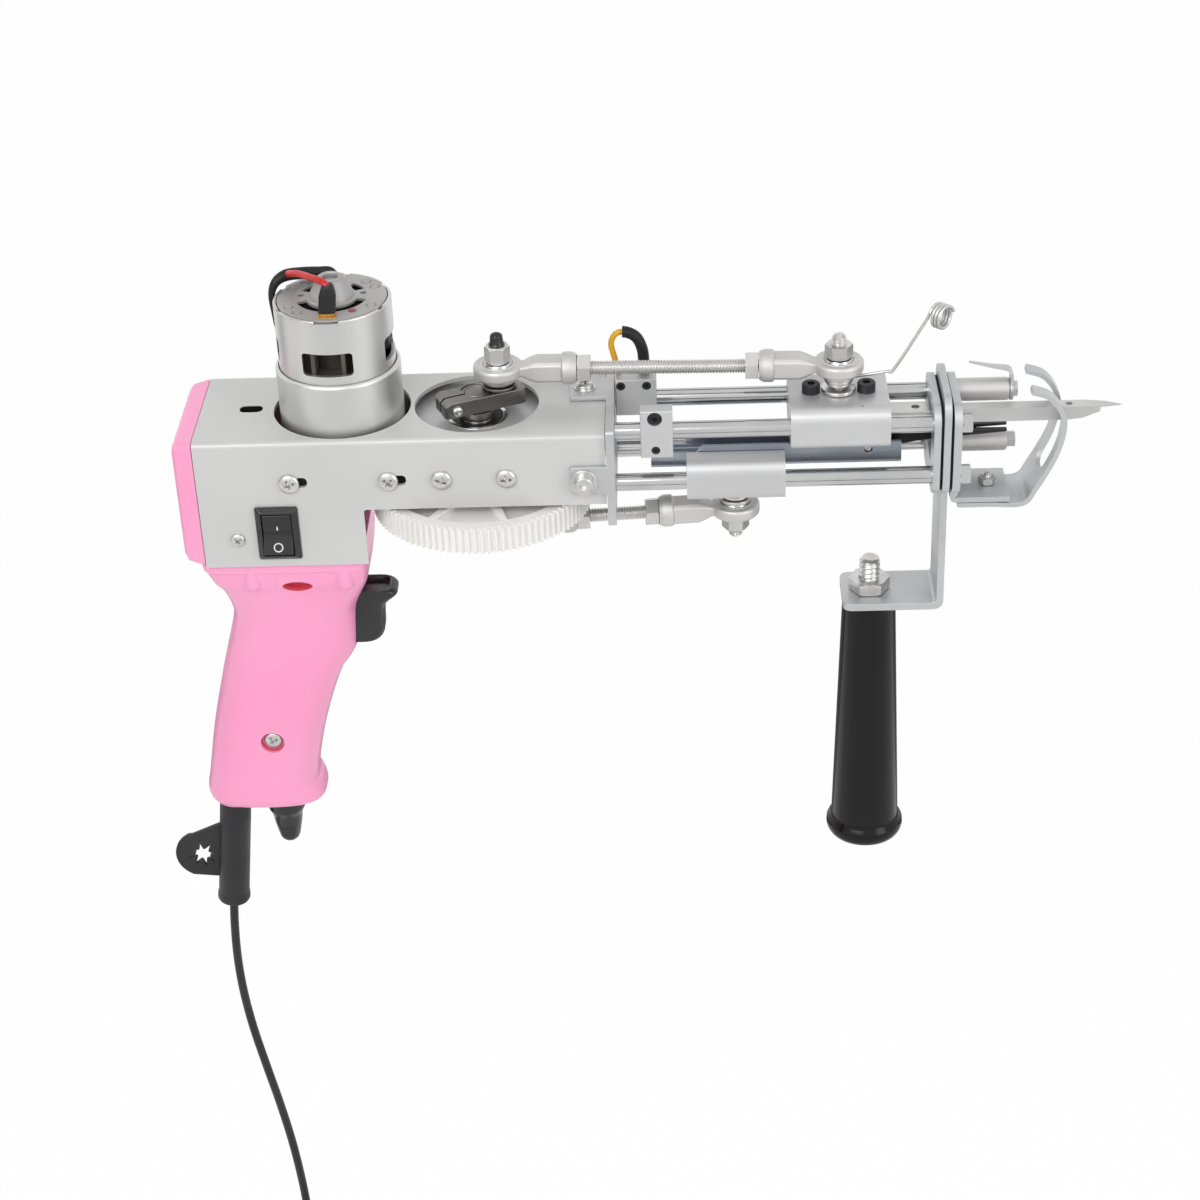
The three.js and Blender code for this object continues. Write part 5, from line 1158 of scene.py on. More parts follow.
piece("crank_bar", [crank_arm()], "gear", crank_steel, ["crank_arm"])
piece("crank_screw", clamp_screw(), "gear", fastener_steel)
piece("crank_shaft_end", shaft_end(), "gear", crank_steel)
piece("crank_shaft_turned", [rod(4, GEAR_BOTTOM, -8, axis="Z")], "gear", bearing_steel, ["crank_shaft"])
for name, top in (("bearing_upper", CARRIER_TOP), ("bearing_lower", NOSE_DEPTH + BEARING_WIDTH)):
    rings, shield = ball_bearing(top)
    piece(name + "_rings", rings, "frame", bearing_steel, [name])
    piece(name + "_shield", [shield], "frame", black_insulation)
piece("carrier_block", [carrier()], "frame", cast_alloy, ["gear_carrier"])
print("crank built")

# %% [markdown]
# ## The guide frame
#
# A lugged plate at the housing, four ground rods, and a stack of three plates at the needle end,
# with dark sheets of painted shade in the gaps between them: together they are the rails that both
# carriages run on. Plates are cut from strip, so their corners are large and their edges carry a
# small break, with a painted highlight along it.

# %% Plates
FRONT_PLATE_X, REAR_PLATE_X, BRACKET_X, FRONT_END_X, HEAD_X = 46.8, 163.7, 167.2, 170.5, 174.0
ROD_Y, UPPER_Z, LOWER_Z, ROD_R = 13.0, -6.1, -26.85, 3.2
MIDDLE_Z = (UPPER_Z + LOWER_Z) / 2
LEG_Z, LEG_HALF, HANDLE_X = -82.0, 12.0, 143.2
PLATE_HALF = ROD_Y + 5
SHELF_TOP, SHELF_UNDER, SHELF_HALF, FOOT_BOLT_X = -38, -40, 11, HEAD_X + 11.5
ROD_PLACES = [(ROD_Y, UPPER_Z), (-ROD_Y, UPPER_Z), (ROD_Y, LOWER_Z), (-ROD_Y, LOWER_Z)]


def rod_bores(x0, x1):
    return [rod(ROD_R + 0.05, x0, x1, place, sides=40) for place in ROD_PLACES]


def needle_window(x0, x1):
    return prism(rectangle(-8, 8, -24, -3, 1.0, 4), x0, x1, "X")


def end_outline(extra=0.0):
    return rectangle(-PLATE_HALF, PLATE_HALF, MIDDLE_Z - PLATE_HALF, MIDDLE_Z + PLATE_HALF + extra, 8, 20)


def front_plate():
    x0, x1 = FRONT_PLATE_X, FRONT_PLATE_X + 3
    side = HALF_WIDTH + 1.8
    plate = prism(rectangle(-side, side, -36.5, 1.8, 1.5, 5), x0, x1, "X")
    top_lug = prism(rectangle(x0 - 13, x0 + 1, -1, 14.4, 1.0, 4), 0.3, 1.8, "Z")
    lugs = []
    for hand in (-1, 1):
        lug = rectangle(x0 - 13, x0 + 1, -23.2, -12.2, 1.2, 4)
        lugs.append(prism(lug, hand * (side - 1.5), hand * side, "Y"))
    passage = prism(rectangle(-8.5, 8.5, -26.5, -2, 1.0, 4), x0 - 1, x1 + 1, "X")
    return soft(carved(fused(plate, top_lug, *lugs), passage, *rod_bores(x0 - 1, x1 + 1)), 0.3, 3, 40)


def rear_end_plate():
    x0 = REAR_PLATE_X
    plate = prism(end_outline(), x0, x0 + 2.6, "X")
    return soft(carved(plate, needle_window(x0 - 1, x0 + 5), *rod_bores(x0 - 1, x0 + 5)), 0.45, 3, 40)


def front_end_plate():
    """It folds forward at its foot into a shelf for the presser foot."""
    x0, x1 = FRONT_END_X + 0.4, FRONT_END_X + 3.2
    plate = prism(end_outline(), x0, x1, "X")
    fold = eased([(x0, MIDDLE_Z - 10), (x0, SHELF_UNDER), (x1 + 19, SHELF_UNDER), (x1 + 19, SHELF_TOP),
                  (x1 - 1.2, SHELF_TOP), (x1, SHELF_TOP + 1.2), (x1, MIDDLE_Z - 10)],
                 [0, 2.5, 0, 0, 0, 0.8, 0], 6)
    shelf = prism(fold, -SHELF_HALF, SHELF_HALF, "Y")
    cuts = [needle_window(x0 - 1, x1 + 1), rod(1.9, -45, -34, (FOOT_BOLT_X, 0), "Z")]
    return soft(carved(fused(plate, shelf), *cuts, *rod_bores(x0 - 1, x1 + 1)), 0.4, 3, 40)


def bracket():
    """The middle plate: its strap comes down, turns on a real radius and carries the side handle."""
    x0, x1 = BRACKET_X + 0.1, BRACKET_X + 2.7
    plate = prism(end_outline(3.5), x0, x1, "X")
    strap = prism(
        eased([(x0, MIDDLE_Z - 10), (x0, LEG_Z), (HANDLE_X - 10.5, LEG_Z), (HANDLE_X - 10.5, LEG_Z - 3),
               (x1, LEG_Z - 3), (x1, MIDDLE_Z - 10)], [0, 1.6, 0, 0, 4.2, 0], 8),
        -LEG_HALF, LEG_HALF, "Y")
    corners = prism(rectangle(HANDLE_X - 10.5, x1 + 9, -LEG_HALF, LEG_HALF, 4, 8), LEG_Z - 6, 30, "Z")
    strap = common(strap, corners)
    cuts = [needle_window(x0 - 1, x1 + 1), rod(4.2, LEG_Z - 5, LEG_Z + 2, (HANDLE_X, 0), "Z")]
    return soft(carved(fused(plate, strap), *cuts, *rod_bores(x0 - 1, x1 + 1)), 0.45, 3, 40)


def gap_shade_sheets():
    """Dark sheets of painted shade in the gaps between the three plates, a little smaller than they are."""
    shapes = []
    for x0, x1 in ((REAR_PLATE_X + 2.6, BRACKET_X + 0.1), (BRACKET_X + 2.7, FRONT_END_X + 0.4)):
        sheet = prism(rectangle(1 - PLATE_HALF, PLATE_HALF - 1, MIDDLE_Z - PLATE_HALF + 1,
                                MIDDLE_Z + PLATE_HALF - 1, 7, 10), x0, x1, "X")
        shapes.append(carved(sheet, needle_window(x0 - 1, x1 + 1), *rod_bores(x0 - 1, x1 + 1)))
    return shapes


def plate_screws():
    """A pan-head on the top lug, and a socket screw on its washer on each side lug."""
    shapes = fitted(pan_screw(3.3, 2.0, 4.0), (39.1, 6.7, 1.8), UP, 15)
    for hand, outwards in BOTH_SIDES:
        place = (38.6, hand * (HALF_WIDTH + 1.8), -18)
        screw = [soft(tube(2, 5, 0, 0.9), 0.3, 3)] + all_shifted(socket_screw(3.4, 2.9, 3.0), z=0.9)
        shapes += fitted(screw, place, outwards)
    return shapes


piece("front_plate_lugged", [front_plate()], "frame", plate_steel, ["front_plate"])
piece("end_plate_inner", [rear_end_plate()], "frame", plate_steel, ["end_plate_rear"])
piece("end_plate_outer", [front_end_plate()], "frame", plate_steel, ["end_plate_front"])
piece("bracket_folded", [bracket()], "frame", plate_steel, ["handle_bracket"])
# Painted shade: dark sheets in the gaps between the end plates.
piece("plate_gaskets", gap_shade_sheets(), "frame", slot_shadow)
piece("plate_screws", plate_screws(), "frame", fastener_steel)
print("plates built")

# %% [markdown]
# ## The rods and what is clamped to them
#
# The rods are centreless ground, so they mirror their surroundings in long lines. Near the viewer
# they end in hexagon heads, and on the far side in spacers with a small hexagon of their own.

# %% Rods, clamps and spacers
FAR_SCREWS, NEAR_FACE, NEAR_CLAMP_X = (52.1, 61.5), -ROD_Y - 5.4, FRONT_PLATE_X + 12.3


def guide_rod(y, z):
    end = HEAD_X - 0.3 if y > 0 else HEAD_X + 1
    bar = soft(rod(ROD_R, FRONT_PLATE_X - 3.3, end, (y, z), sides=64), 0.3, 2)
    if y > 0:
        return [bar]
    head = standing(nut(7.4, 3.6), (HEAD_X, y, z), FORWARD, 12)
    return [bar, head]


def spacer(z):
    sleeve = turned([(0, 0), (4.25, 0), (4.25, 18.9), (3.9, 19.5), (0, 19.5)], (HEAD_X, ROD_Y, z), "X")
    tip = standing(nut(6.2, 3.4), (HEAD_X + 19.3, ROD_Y, z), FORWARD, 10)
    return [sleeve, tip]


def far_clamp():
    x0 = FRONT_PLATE_X + 3.3
    body = soft(block(x0, x0 + 15, ROD_Y - 4.7, ROD_Y + 6, UPPER_Z - 4.8, UPPER_Z + 9.7), 0.4, 3)
    screws = [rod(1.7, ROD_Y - 5.5, ROD_Y - 2.5, (x, 1.0), "Y") for x in FAR_SCREWS]
    return carved(body, *screws, rod(ROD_R + 0.1, x0 - 1, x0 + 16, (ROD_Y, UPPER_Z), sides=40))


def near_clamp():
    x0, x1 = NEAR_CLAMP_X, NEAR_CLAMP_X + 11.6
    inside, top, bottom = -ROD_Y + 4.4, UPPER_Z + 10.3, UPPER_Z - 8.3
    side = [(NEAR_FACE, bottom), (inside, bottom), (inside, top - 4.2), (inside - 4.2, top),
            (NEAR_FACE, top)]
    body = soft(prism(side, x0, x1, "X"), 0.4, 3)
    return carved(body, rod(2.7, NEAR_FACE - 1, NEAR_FACE + 2.4, (x0 + 5.2, top - 3.1), "Y"),
                  rod(1.6, NEAR_FACE - 1, NEAR_FACE + 1.6, (x0 + 5.4, -11.4), "Y"),
                  rod(ROD_R + 0.1, x0 - 1, x1 + 1, (-ROD_Y, UPPER_Z), sides=40))


def clamp_screws():
    """Black set screws, sunk a little, and one socket screw in its counterbore."""
    shapes = []
    for x in FAR_SCREWS:
        shapes += fitted(socket_screw(1.65, 1.9, 1.8), (x, ROD_Y - 2.6, 1.0), NEARWARD, 10)
    near_screws = ((17.5, 2.4, UPPER_Z + 7.2, (2.3, 2.0, 2.5)), (17.7, 1.6, -11.4, (1.55, 1.3, 1.8)))
    for x, deep, z, screw in near_screws:
        shapes += fitted(socket_screw(*screw), (FRONT_PLATE_X + x, NEAR_FACE + deep, z), NEARWARD)
    return shapes


for number, place in enumerate(ROD_PLACES, 1):
    piece(f"rail_{number}", guide_rod(*place), "frame", guide_steel, [f"guide_rod_{number}"])
piece("spacer_upper", spacer(UPPER_Z), "frame", rod_end_zinc, ["rod_spacer_upper"])
piece("spacer_lower", spacer(LOWER_Z), "frame", rod_end_zinc, ["rod_spacer_lower"])
piece("clamp_far", [far_clamp()], "frame", cast_alloy, ["clamp_block_far"])
piece("clamp_near", [near_clamp()], "frame", cast_alloy, ["clamp_block_near"])
piece("clamp_screws", clamp_screws(), "frame", cap_screw_black)
print("rails", len(ROD_PLACES))

# %% [markdown]
# ## The two carriages
#
# Each carriage is a milled block with two long bores for its rods. The upper one holds the needle
# bar with two black cap screws, and the lower one carries the zinc-plated channel in a groove.

# %% Carriages
NEEDLE_STUD_X, NEEDLE_BLOCK_X = 130.617, 112.817
SCISSOR_STUD_X, SCISSOR_BLOCK_X, CHANNEL_X = 93.141, 75.341, 62.541
UPPER_TOP, LOWER_BOTTOM, BLOCK_HEIGHT, BLOCK_LENGTH, BLOCK_HALF = 1.5, -34.4, 16.0, 35.6, 17.0
NEEDLE_TOP, CHANNEL_BOTTOM, CHANNEL_TOP = -5.9, -25.0, -16.3
CHANNEL_END = CHANNEL_X + 90.7
PIN_X, PIN_Z = CHANNEL_END - 12, CHANNEL_BOTTOM + 5.8


def carriage(x0, bottom, rod_z):
    section = rectangle(-BLOCK_HALF, BLOCK_HALF, bottom, bottom + BLOCK_HEIGHT, 5.5, 10)
    bores = [rod(ROD_R + 0.25, x0 - 1, x0 + BLOCK_LENGTH + 1, (y, rod_z), sides=48) for y in (-ROD_Y, ROD_Y)]
    return carved(prism(section, x0, x0 + BLOCK_LENGTH, "X"), *bores)


def needle_block():
    """The bar's slot starts at the stud, and a groove below it leaves room for the moving blade."""
    end = NEEDLE_BLOCK_X + BLOCK_LENGTH
    block_made = carved(
        carriage(NEEDLE_BLOCK_X, UPPER_TOP - BLOCK_HEIGHT, UPPER_Z),
        block(NEEDLE_STUD_X, end + 1, -4.55, 4.55, NEEDLE_TOP - 4.8, NEEDLE_TOP + 0.3),
        block(NEEDLE_BLOCK_X - 1, end + 1, 3.1, 5.9, -17, -11.9),
        rod(0.5, UPPER_TOP - 3, UPPER_TOP + 1, (138.3, -12.4), "Z", 16))
    return soft(block_made, 0.25, 2, 40)


def scissor_block():
    end = SCISSOR_BLOCK_X + BLOCK_LENGTH
    block_made = carved(
        carriage(SCISSOR_BLOCK_X, LOWER_BOTTOM, LOWER_Z),
        block(SCISSOR_BLOCK_X - 1, end + 1, -7.3, 7.3, CHANNEL_BOTTOM - 0.3, -15))
    return soft(block_made, 0.25, 2, 40)


def block_screws():
    shapes = []
    for x in (120.7, 140.6):
        shapes += fitted(socket_screw(3.3, 3.5, 3.2), (x, -0.6, UPPER_TOP), UP, 12)
    return shapes


piece("carriage_upper", [needle_block()], "needle_carriage", cast_alloy, ["needle_slide"])
piece("carriage_lower", [scissor_block()], "scissor_carriage", cast_alloy, ["scissor_slide"])
piece("carriage_screws", block_screws(), "needle_carriage", cap_screw_black)


def channel():
    """A folded strip: its walls drop to a lower rail behind the block."""
    x0, x1 = CHANNEL_X, CHANNEL_END
    side = eased([(x0, CHANNEL_BOTTOM), (x1, CHANNEL_BOTTOM), (x1, CHANNEL_TOP), (x0 + 18.7, CHANNEL_TOP),
                  (x0 + 14.6, CHANNEL_TOP - 5.5), (x0, CHANNEL_TOP - 5.5)],
                 [0.6, 0.6, 0.6, 1.5, 1.5, 0.6], 5)
    whole = prism(side, -7, 7, "Y")
    section = prism(rectangle(-7, 7, CHANNEL_BOTTOM, CHANNEL_TOP + 6, 2.0, 6), x0 - 1, x1 + 1, "X")
    trough = prism(rectangle(-5.5, 5.5, CHANNEL_BOTTOM + 1.5, 10, 0.8, 4), x0 - 2, x1 + 2, "X")
    pin_hole = rod(1.6, -8, 8, (PIN_X, PIN_Z), "Y", 24)
    return soft(carved(common(whole, section), trough, pin_hole), 0.25, 2, 50)


piece("channel_folded", [channel()], "scissor_carriage", blue_zinc, ["scissor_channel"])
print("carriages built")

# %% [markdown]
# ## The connecting rods
#
# Each is a pair of die-cast rod ends on a threaded bar, locked by hexagon nuts. A ball sits in
# each eye, so the rod can follow the crank. They are drawn once along X and turned by the angle
# at which the crank stands.

# %% Connecting rods
ROD_ENDS = 28.5
NEEDLE_PIN = polar(THROW, NEEDLE_PHASE)
SCISSOR_PIN = polar(THROW, math.radians(-49))
UPPER_EYE_Z, LOWER_EYE_Z = 11.8, -45.4


def bar_section(x, wide, high):
    """A flat bar's outline with its four edges taken off."""
    edge = min(wide, high) * 0.32
    half = [(wide, high - edge), (wide - edge, high), (edge - wide, high), (-wide, high - edge)]
    return [(x, y, z) for y, z in half + [(-y, -z) for y, z in half]]


def rod_end_body():
    """The eye with its raised seat, a flat neck, and a flanged collar for the lock nut."""
    lower = [(5.2, -1.8), (5.4, -2.4), (6.1, -2.5), (6.4, -2.2), (7.8, -2.3), (8.5, -2.1), (8.9, -1.6),
             (9, -1.0)]
    eye = turned(lower + [(reach, -height) for reach, height in reversed(lower)], sides=72)
    neck = lofted([bar_section(*row) for row in (
        (6.5, 3.4, 1.9), (9, 3.6, 2.1), (12, 4.4, 3.5), (14, 4.8, 4.1), (23.2, 4.8, 4.1))])
    collar = turned([
        (0, 22.6), (4.6, 22.6), (5.3, 23.0), (5.9, 23.7), (5.95, 24.2), (5.95, 26.6), (5.7, 27.3),
        (5.1, ROD_ENDS), (0, ROD_ENDS)], axis="X", sides=56)
    return [eye, soft(neck, 0.35, 2, 30), carved(collar, rod(2.8, 27.5, 30))]


def rod_end_ball():
    """The ball, with its two flats and a bore through it."""
    ball = [polar(5.75, math.radians(a)) for a in range(-32, 33, 4)]
    return turned([(2.75, -3.1)] + ball + [(2.75, 3.1)], sides=56)


def facing_back(shape, length):
    return moved(shape, Matrix.Translation((length, 0, 0)) @ Matrix.Rotation(math.pi, 4, "Z"))


def threaded_bar(length):
    """A threaded bar with a lock nut against each rod end, lying along X."""
    half = (length - 2 * ROD_ENDS) / 2 + 8
    shapes = [standing(thread(2.6, 1.0, -half, half, depth=0.42), (length / 2, 0, 0), FORWARD)]
    for x in (ROD_ENDS + 0.2, length - ROD_ENDS - 4.9):
        shapes.append(standing(nut(10.6, 4.7), (x, 0, 0), FORWARD, 7))
    return shapes


def connecting_rod(name, body, pin, length, eye_z):
    """The whole rod, turned so that its far eye comes to the middle plane."""
    turn = Matrix.Translation((*pin, eye_z)) @ Matrix.Rotation(-math.asin(pin[1] / length), 4, "Z")
    far = [facing_back(shape, length) for shape in rod_end_body()]
    balls = [rod_end_ball(), facing_back(rod_end_ball(), length)]
    for part, shapes, material, nodes in (
            ("end_crank", rod_end_body(), rod_end_zinc, [f"{name}_rod_end_crank"]),
            ("end_slide", far, rod_end_zinc, [f"{name}_rod_end_slide"]),
            ("balls", balls, bearing_steel, []),
            ("thread", threaded_bar(length), threaded_steel, [f"{name}_rod_thread"])):
        piece(f"{name}_{part}", [moved(shape, turn) for shape in shapes], body, material, nodes)


connecting_rod("needle", "needle_rod", NEEDLE_PIN, 122.45, UPPER_EYE_Z)
connecting_rod("scissor", "scissor_rod", SCISSOR_PIN, 87.5, LOWER_EYE_Z)

# %% [markdown]
# ## The studs that the rods turn on
#
# A stud carries washers under the eye, a nut over it and a rounded threaded end. The crank's stud
# wears a small black cap over its end.

# %% Studs
NEEDLE_STANDOFF, GEAR_STANDOFF = 2.9, GEAR_BOTTOM - LOWER_EYE_Z - 4
NUT_RISE, NUT_HEIGHT = 7.0, 6.4


def washer(radius, low, high, bore=2.5):
    return soft(tube(bore, radius, low, high, sides=56), min(0.3, (high - low) * 0.4), 3)


def slide_stud(standoff):
    """Drawn upwards from the block's face."""
    top = standoff + 0.7
    nut_base = standoff + 7.2
    return [
        washer(6.3, 0, 1.4), washer(5.2, top - 3.2, top - 1.9, 2.4), washer(5.9, top - 1.6, top),
        rod(2.5, 0, nut_base + 1, axis="Z"),
        shifted(nut(10.2, 4.8), z=nut_base),
        thread(2.7, 1.0, nut_base + 3.7, nut_base + 8.9, tip=1.3),
    ]


def crank_stud(standoff):
    """Drawn upwards from the crank's face, without what stands above its nut."""
    top, nut_base = standoff + 0.8, standoff + NUT_RISE
    ring = turned([(5.5, top - 0.9), (6.5, top - 1.2), (6.7, top - 0.9), (6.7, top - 0.2), (6.4, top),
                   (5.9, top), (5.5, top - 0.2)], sides=72)
    tall_nut = shifted(nut(9.4, NUT_HEIGHT, crown=0.8, slope=1.0), z=nut_base)
    return [ring, rod(2.5, 0, nut_base + 1, axis="Z"), tall_nut]


def dark_washers(standoff):
    """What carries the bright ring: blackened washers, and a sleeve where the stud is long."""
    top = standoff - 0.5
    return [washer(6.3, 0, 1.1), rod(4.2, 1, top, axis="Z"), washer(5.8, top - 0.7, top + 0.4)]


def stud_cap(base, tail):
    """A rounded cap that stands on the nut."""
    dome = [(2.3 * math.cos(math.radians(a)), base + tail - 1.4 + 1.4 * math.sin(math.radians(a)))
            for a in range(0, 90, 12)]
    foot = [(0, base), (2.9, base), (2.95, base + 0.5), (2.5, base + 1.2)]
    return turned(foot + dome + [(0, base + tail)])


def turned_over(shapes):
    return [moved(shape, Matrix.Rotation(math.pi, 4, "X")) for shape in shapes]


def on_crank(shapes):
    return all_shifted(shapes, *NEEDLE_PIN, ARM_TOP + 0.3)


def under_gear(shapes):
    return all_shifted(turned_over(shapes), *SCISSOR_PIN, GEAR_BOTTOM - 0.3)


upper = all_shifted(slide_stud(6.3), NEEDLE_STUD_X, 0, UPPER_TOP + 0.3)
piece("needle_stud_fitted", upper, "needle_carriage", fastener_steel, ["needle_slide_stud"])
lower = all_shifted(turned_over(slide_stud(7.0)), SCISSOR_STUD_X, 0, LOWER_BOTTOM - 0.3)
piece("scissor_stud_fitted", lower, "scissor_carriage", fastener_steel, ["scissor_slide_stud"])
piece("needle_crank_pin", on_crank(crank_stud(NEEDLE_STANDOFF)), "needle_rod", fastener_steel,
      ["needle_crank_stud"])
cap = on_crank([stud_cap(NEEDLE_STANDOFF + NUT_RISE + NUT_HEIGHT, 4.7)])
piece("needle_crank_cap", cap, "needle_rod", black_plastic)
piece("needle_crank_washers", on_crank(dark_washers(NEEDLE_STANDOFF)), "needle_rod", crank_steel)
piece("scissor_crank_washers", under_gear(dark_washers(GEAR_STANDOFF)), "scissor_rod", crank_steel)
tail = thread(2.5, 1.0, GEAR_STANDOFF + 12, GEAR_STANDOFF + 15.6, tip=0.8)
piece("scissor_crank_pin", under_gear(crank_stud(GEAR_STANDOFF) + [tail]), "scissor_rod", fastener_steel,
      ["scissor_crank_stud"])
print("studs built")

# %% [markdown]
# ## Needle, scissors, yarn guide and foot
#
# The needle is a flat bar that goes on as a hollow, slanted point with an eye. Below it the two
# blades ride in the channel. The yarn comes through a loose coil of wire and a hook, and the forked
# foot keeps the fabric at its distance.

# %% Needle and scissors
BAR_HALF, NEEDLE_HALF, BLADE_THICKNESS = 4.25, 2.75, 1.5
TIP_X = HEAD_X + 59


def needle_bar():
    section = rectangle(-BAR_HALF, BAR_HALF, NEEDLE_TOP - 4.5, NEEDLE_TOP, 0.5, 4)
    bar = prism(section, NEEDLE_STUD_X + 0.3, HEAD_X - 1.5, "X")
    return carved(bar, rod(1.5, NEEDLE_TOP - 2.4, NEEDLE_TOP + 1, (HEAD_X - 15.5, 0), "Z", 32))


def needle_point():
    """A square tube whose lower wall is ground away towards the tip."""
    start, top = HEAD_X - 2, NEEDLE_TOP - 0.2
    bottom = top - 5.3
    side = [(start, top), (start, bottom), (TIP_X - 20, bottom), (TIP_X - 15, bottom + 0.5),
            (TIP_X - 10, bottom + 2.0), (TIP_X - 5, top - 1.9), (TIP_X, top - 0.9), (TIP_X - 6, top)]
    wedges = []
    for hand in (-1, 1):
        wedge = [(TIP_X - 16, hand * 3.2), (TIP_X + 1, hand * 3.2), (TIP_X + 1, hand * 0.05)]
        wedges.append(prism(wedge, bottom - 1, top + 1, "Z"))
    bore = block(TIP_X - 27, TIP_X + 1, -1.7, 1.7, bottom - 1, top - 1.1)
    eye = rod(1.3, bottom - 1, top + 1, (TIP_X - 19.3, 0), "Z", 32)
    return soft(carved(prism(side, -NEEDLE_HALF, NEEDLE_HALF, "Y"), bore, eye, *wedges), 0.25, 2, 25)


def blade(outline, radii, y):
    """A flat blade from its outline around the pin."""
    side = eased([(PIN_X + x, PIN_Z + z) for x, z in outline], radii, 5)
    return prism(side, y, y + BLADE_THICKNESS, "Y")


def fixed_blade():
    outline = [(-16, -3.6), (9, -3.6), (20, -1.5), (51, 1.2), (51, 2.4), (20, 2.8), (8, 2.4), (-16, 2)]
    return soft(blade(outline, [1, 4, 6, 0.3, 0.3, 6, 4, 1], 1.9), 0.2, 2, 50)


def blade_pin():
    """A plain pin through both blades, with its head on the far side."""
    head = turned([(0, -0.8), (2.2, -0.8), (2.6, -0.4), (2.6, 0), (0, 0)])
    return [rod(1.3, -5.6, 7.4, (PIN_X, PIN_Z), "Y", 24), standing(head, (PIN_X, 7.05, PIN_Z), NEARWARD)]


def moving_blade():
    outline = [(-9, -1.2), (4, -3.2), (14, -0.4), (24, 1.2), (51, 3), (51, 4.2), (24, 3.7), (12, 3.2),
               (0, 2.2), (-9, 0.8)]
    whole = blade(outline, [0.8, 3, 4, 5, 0.2, 0.2, 5, 4, 4, 0.8], 3.7)
    return soft(carved(whole, rod(1.4, 3, 6, (PIN_X, PIN_Z), "Y", 24)), 0.2, 2, 50)


piece("needle_ground", [needle_bar(), needle_point()], "needle_carriage", needle_steel, ["needle"])
piece("blade_lower", [fixed_blade()], "scissor_carriage", blade_steel, ["scissor_blade_fixed"])
piece("blade_pin", blade_pin(), "scissor_carriage", fastener_steel)
piece("blade_upper", [moving_blade()], "moving_blade", blade_steel, ["scissor_blade_moving"])
print("needle and blades built")

# %% Yarn guide, hook and foot
FOOT_THICK = 0.9


def yarn_wire():
    """One wire: a ring around the stud, a rising arm, and a few open turns for the yarn."""
    ring, eye, pitch, turns, steps = 3.9, 4.15, 1.35, 3.4, 24
    base = Vector((NEEDLE_STUD_X, 0, UPPER_TOP + 3.3))
    arm = [(2, 3.9, 0.02), (6, 3.8, 0.2), (17.4, 3.6, 2), (20.4, 3.5, 3.4), (31.6, 2.4, 23.4)]
    points = [Vector((*polar(ring, math.radians(390 - 300 * k / 28)), 0)) for k in range(29)]
    points += smooth_line(arm, 5)[5:]
    centre, start, lean = Vector((36.4, 2.5, 23.9)), math.radians(150), math.radians(42)
    along = Vector((math.cos(lean), -math.sin(lean), 0))
    sideways = Vector((-along.y, along.x, 0))
    for k in range(int(steps * turns) + 1):
        angle = start - 2 * math.pi * k / steps
        shift = pitch * k / steps - pitch * turns / 2
        points.append(centre + along * shift + sideways * (eye * math.cos(angle))
                      + Vector((0, 0, eye * math.sin(angle))))
    return wire([base + p for p in points], 0.6, 12)


def yarn_hook():
    """A washer on the spacer's end, from which a tapering finger bends up and points back."""
    x0 = HEAD_X + 19.8
    plate = tube(3.3, 4.25, 0, 1.2, (x0, ROD_Y, UPPER_Z), "X")
    rise = ((0.6, 3.4), (0.6, 6.4), (-1.0, 8.3), (-6.5, 9.3), (-15, 11.3))
    line = smooth_line([(x0 + x, 0, UPPER_Z + z) for x, z in rise], 6)
    rings = []
    for i, point in enumerate(line):
        share = i / (len(line) - 1)
        ahead = (Vector(line[min(i + 1, len(line) - 1)]) - Vector(line[max(i - 1, 0)])).normalized()
        up = Vector((-ahead.z, 0, ahead.x))
        half, thick = 3.0 * (1 - share) ** 0.8 + 0.35, 0.6 - 0.3 * share
        rings.append([Vector(point) + Vector((0, ROD_Y, 0)) + up * (thick * b) + Vector((0, half * a, 0))
                      for a, b in rectangle(-1, 1, -1, 1, 0.35, 3)])
    return [soft(plate, 0.15), lofted(rings)]


def foot_strip():
    """The strip is an outline in X and Z, pushed along Y, and then split into two prongs."""
    base = SHELF_UNDER - 0.3 - FOOT_THICK
    bend = ((0, 0), (12, 0), (23.5, 0), (28, 5.7), (34.8, 19.7), (37.2, 31.4), (35.4, 37.8), (31.2, 42.9),
            (25, 45.2))
    line = smooth_line([(x, 0, z) for x, z in bend], 6)
    points = [Vector((HEAD_X - 0.2 + p[0], base + p[2])) for p in line]
    left, right = [], []
    for i, point in enumerate(points):
        ahead = (points[min(i + 1, len(points) - 1)] - points[max(i - 1, 0)]).normalized() * FOOT_THICK
        left.append((point.x - ahead.y, point.y + ahead.x))
        right.append((point.x + ahead.y, point.y - ahead.x))
    strip = prism(right + left[::-1], -SHELF_HALF, SHELF_HALF, "Y")
    gap = eased([(-6, base + 9.6), (6, base + 9.6), (6, base + 60), (-6, base + 60)], [5, 5, 0, 0], 8)
    fork = prism(gap, HEAD_X + 15, HEAD_X + 45, "X")
    slot = prism(rectangle(HEAD_X + 2, HEAD_X + 15.5, -2.3, 2.3, 2.28, 8), base - 2, base + 2, "Z")
    return soft(carved(strip, fork, slot), 0.5, 3, 40)


def foot_bolt():
    under = SHELF_UNDER - 0.6 - 2 * FOOT_THICK
    head = turned([(0, under - 2), (2.0, under - 2), (2.3, under - 1.7), (3.6, under), (0, under)])
    shank = thread(1.5, 0.5, under, SHELF_TOP + 4.2, 24, tip=0.5)
    top = shifted(nut(6.4, 2.4), z=SHELF_TOP + 0.3)
    return all_shifted((head, shank, top), FOOT_BOLT_X)


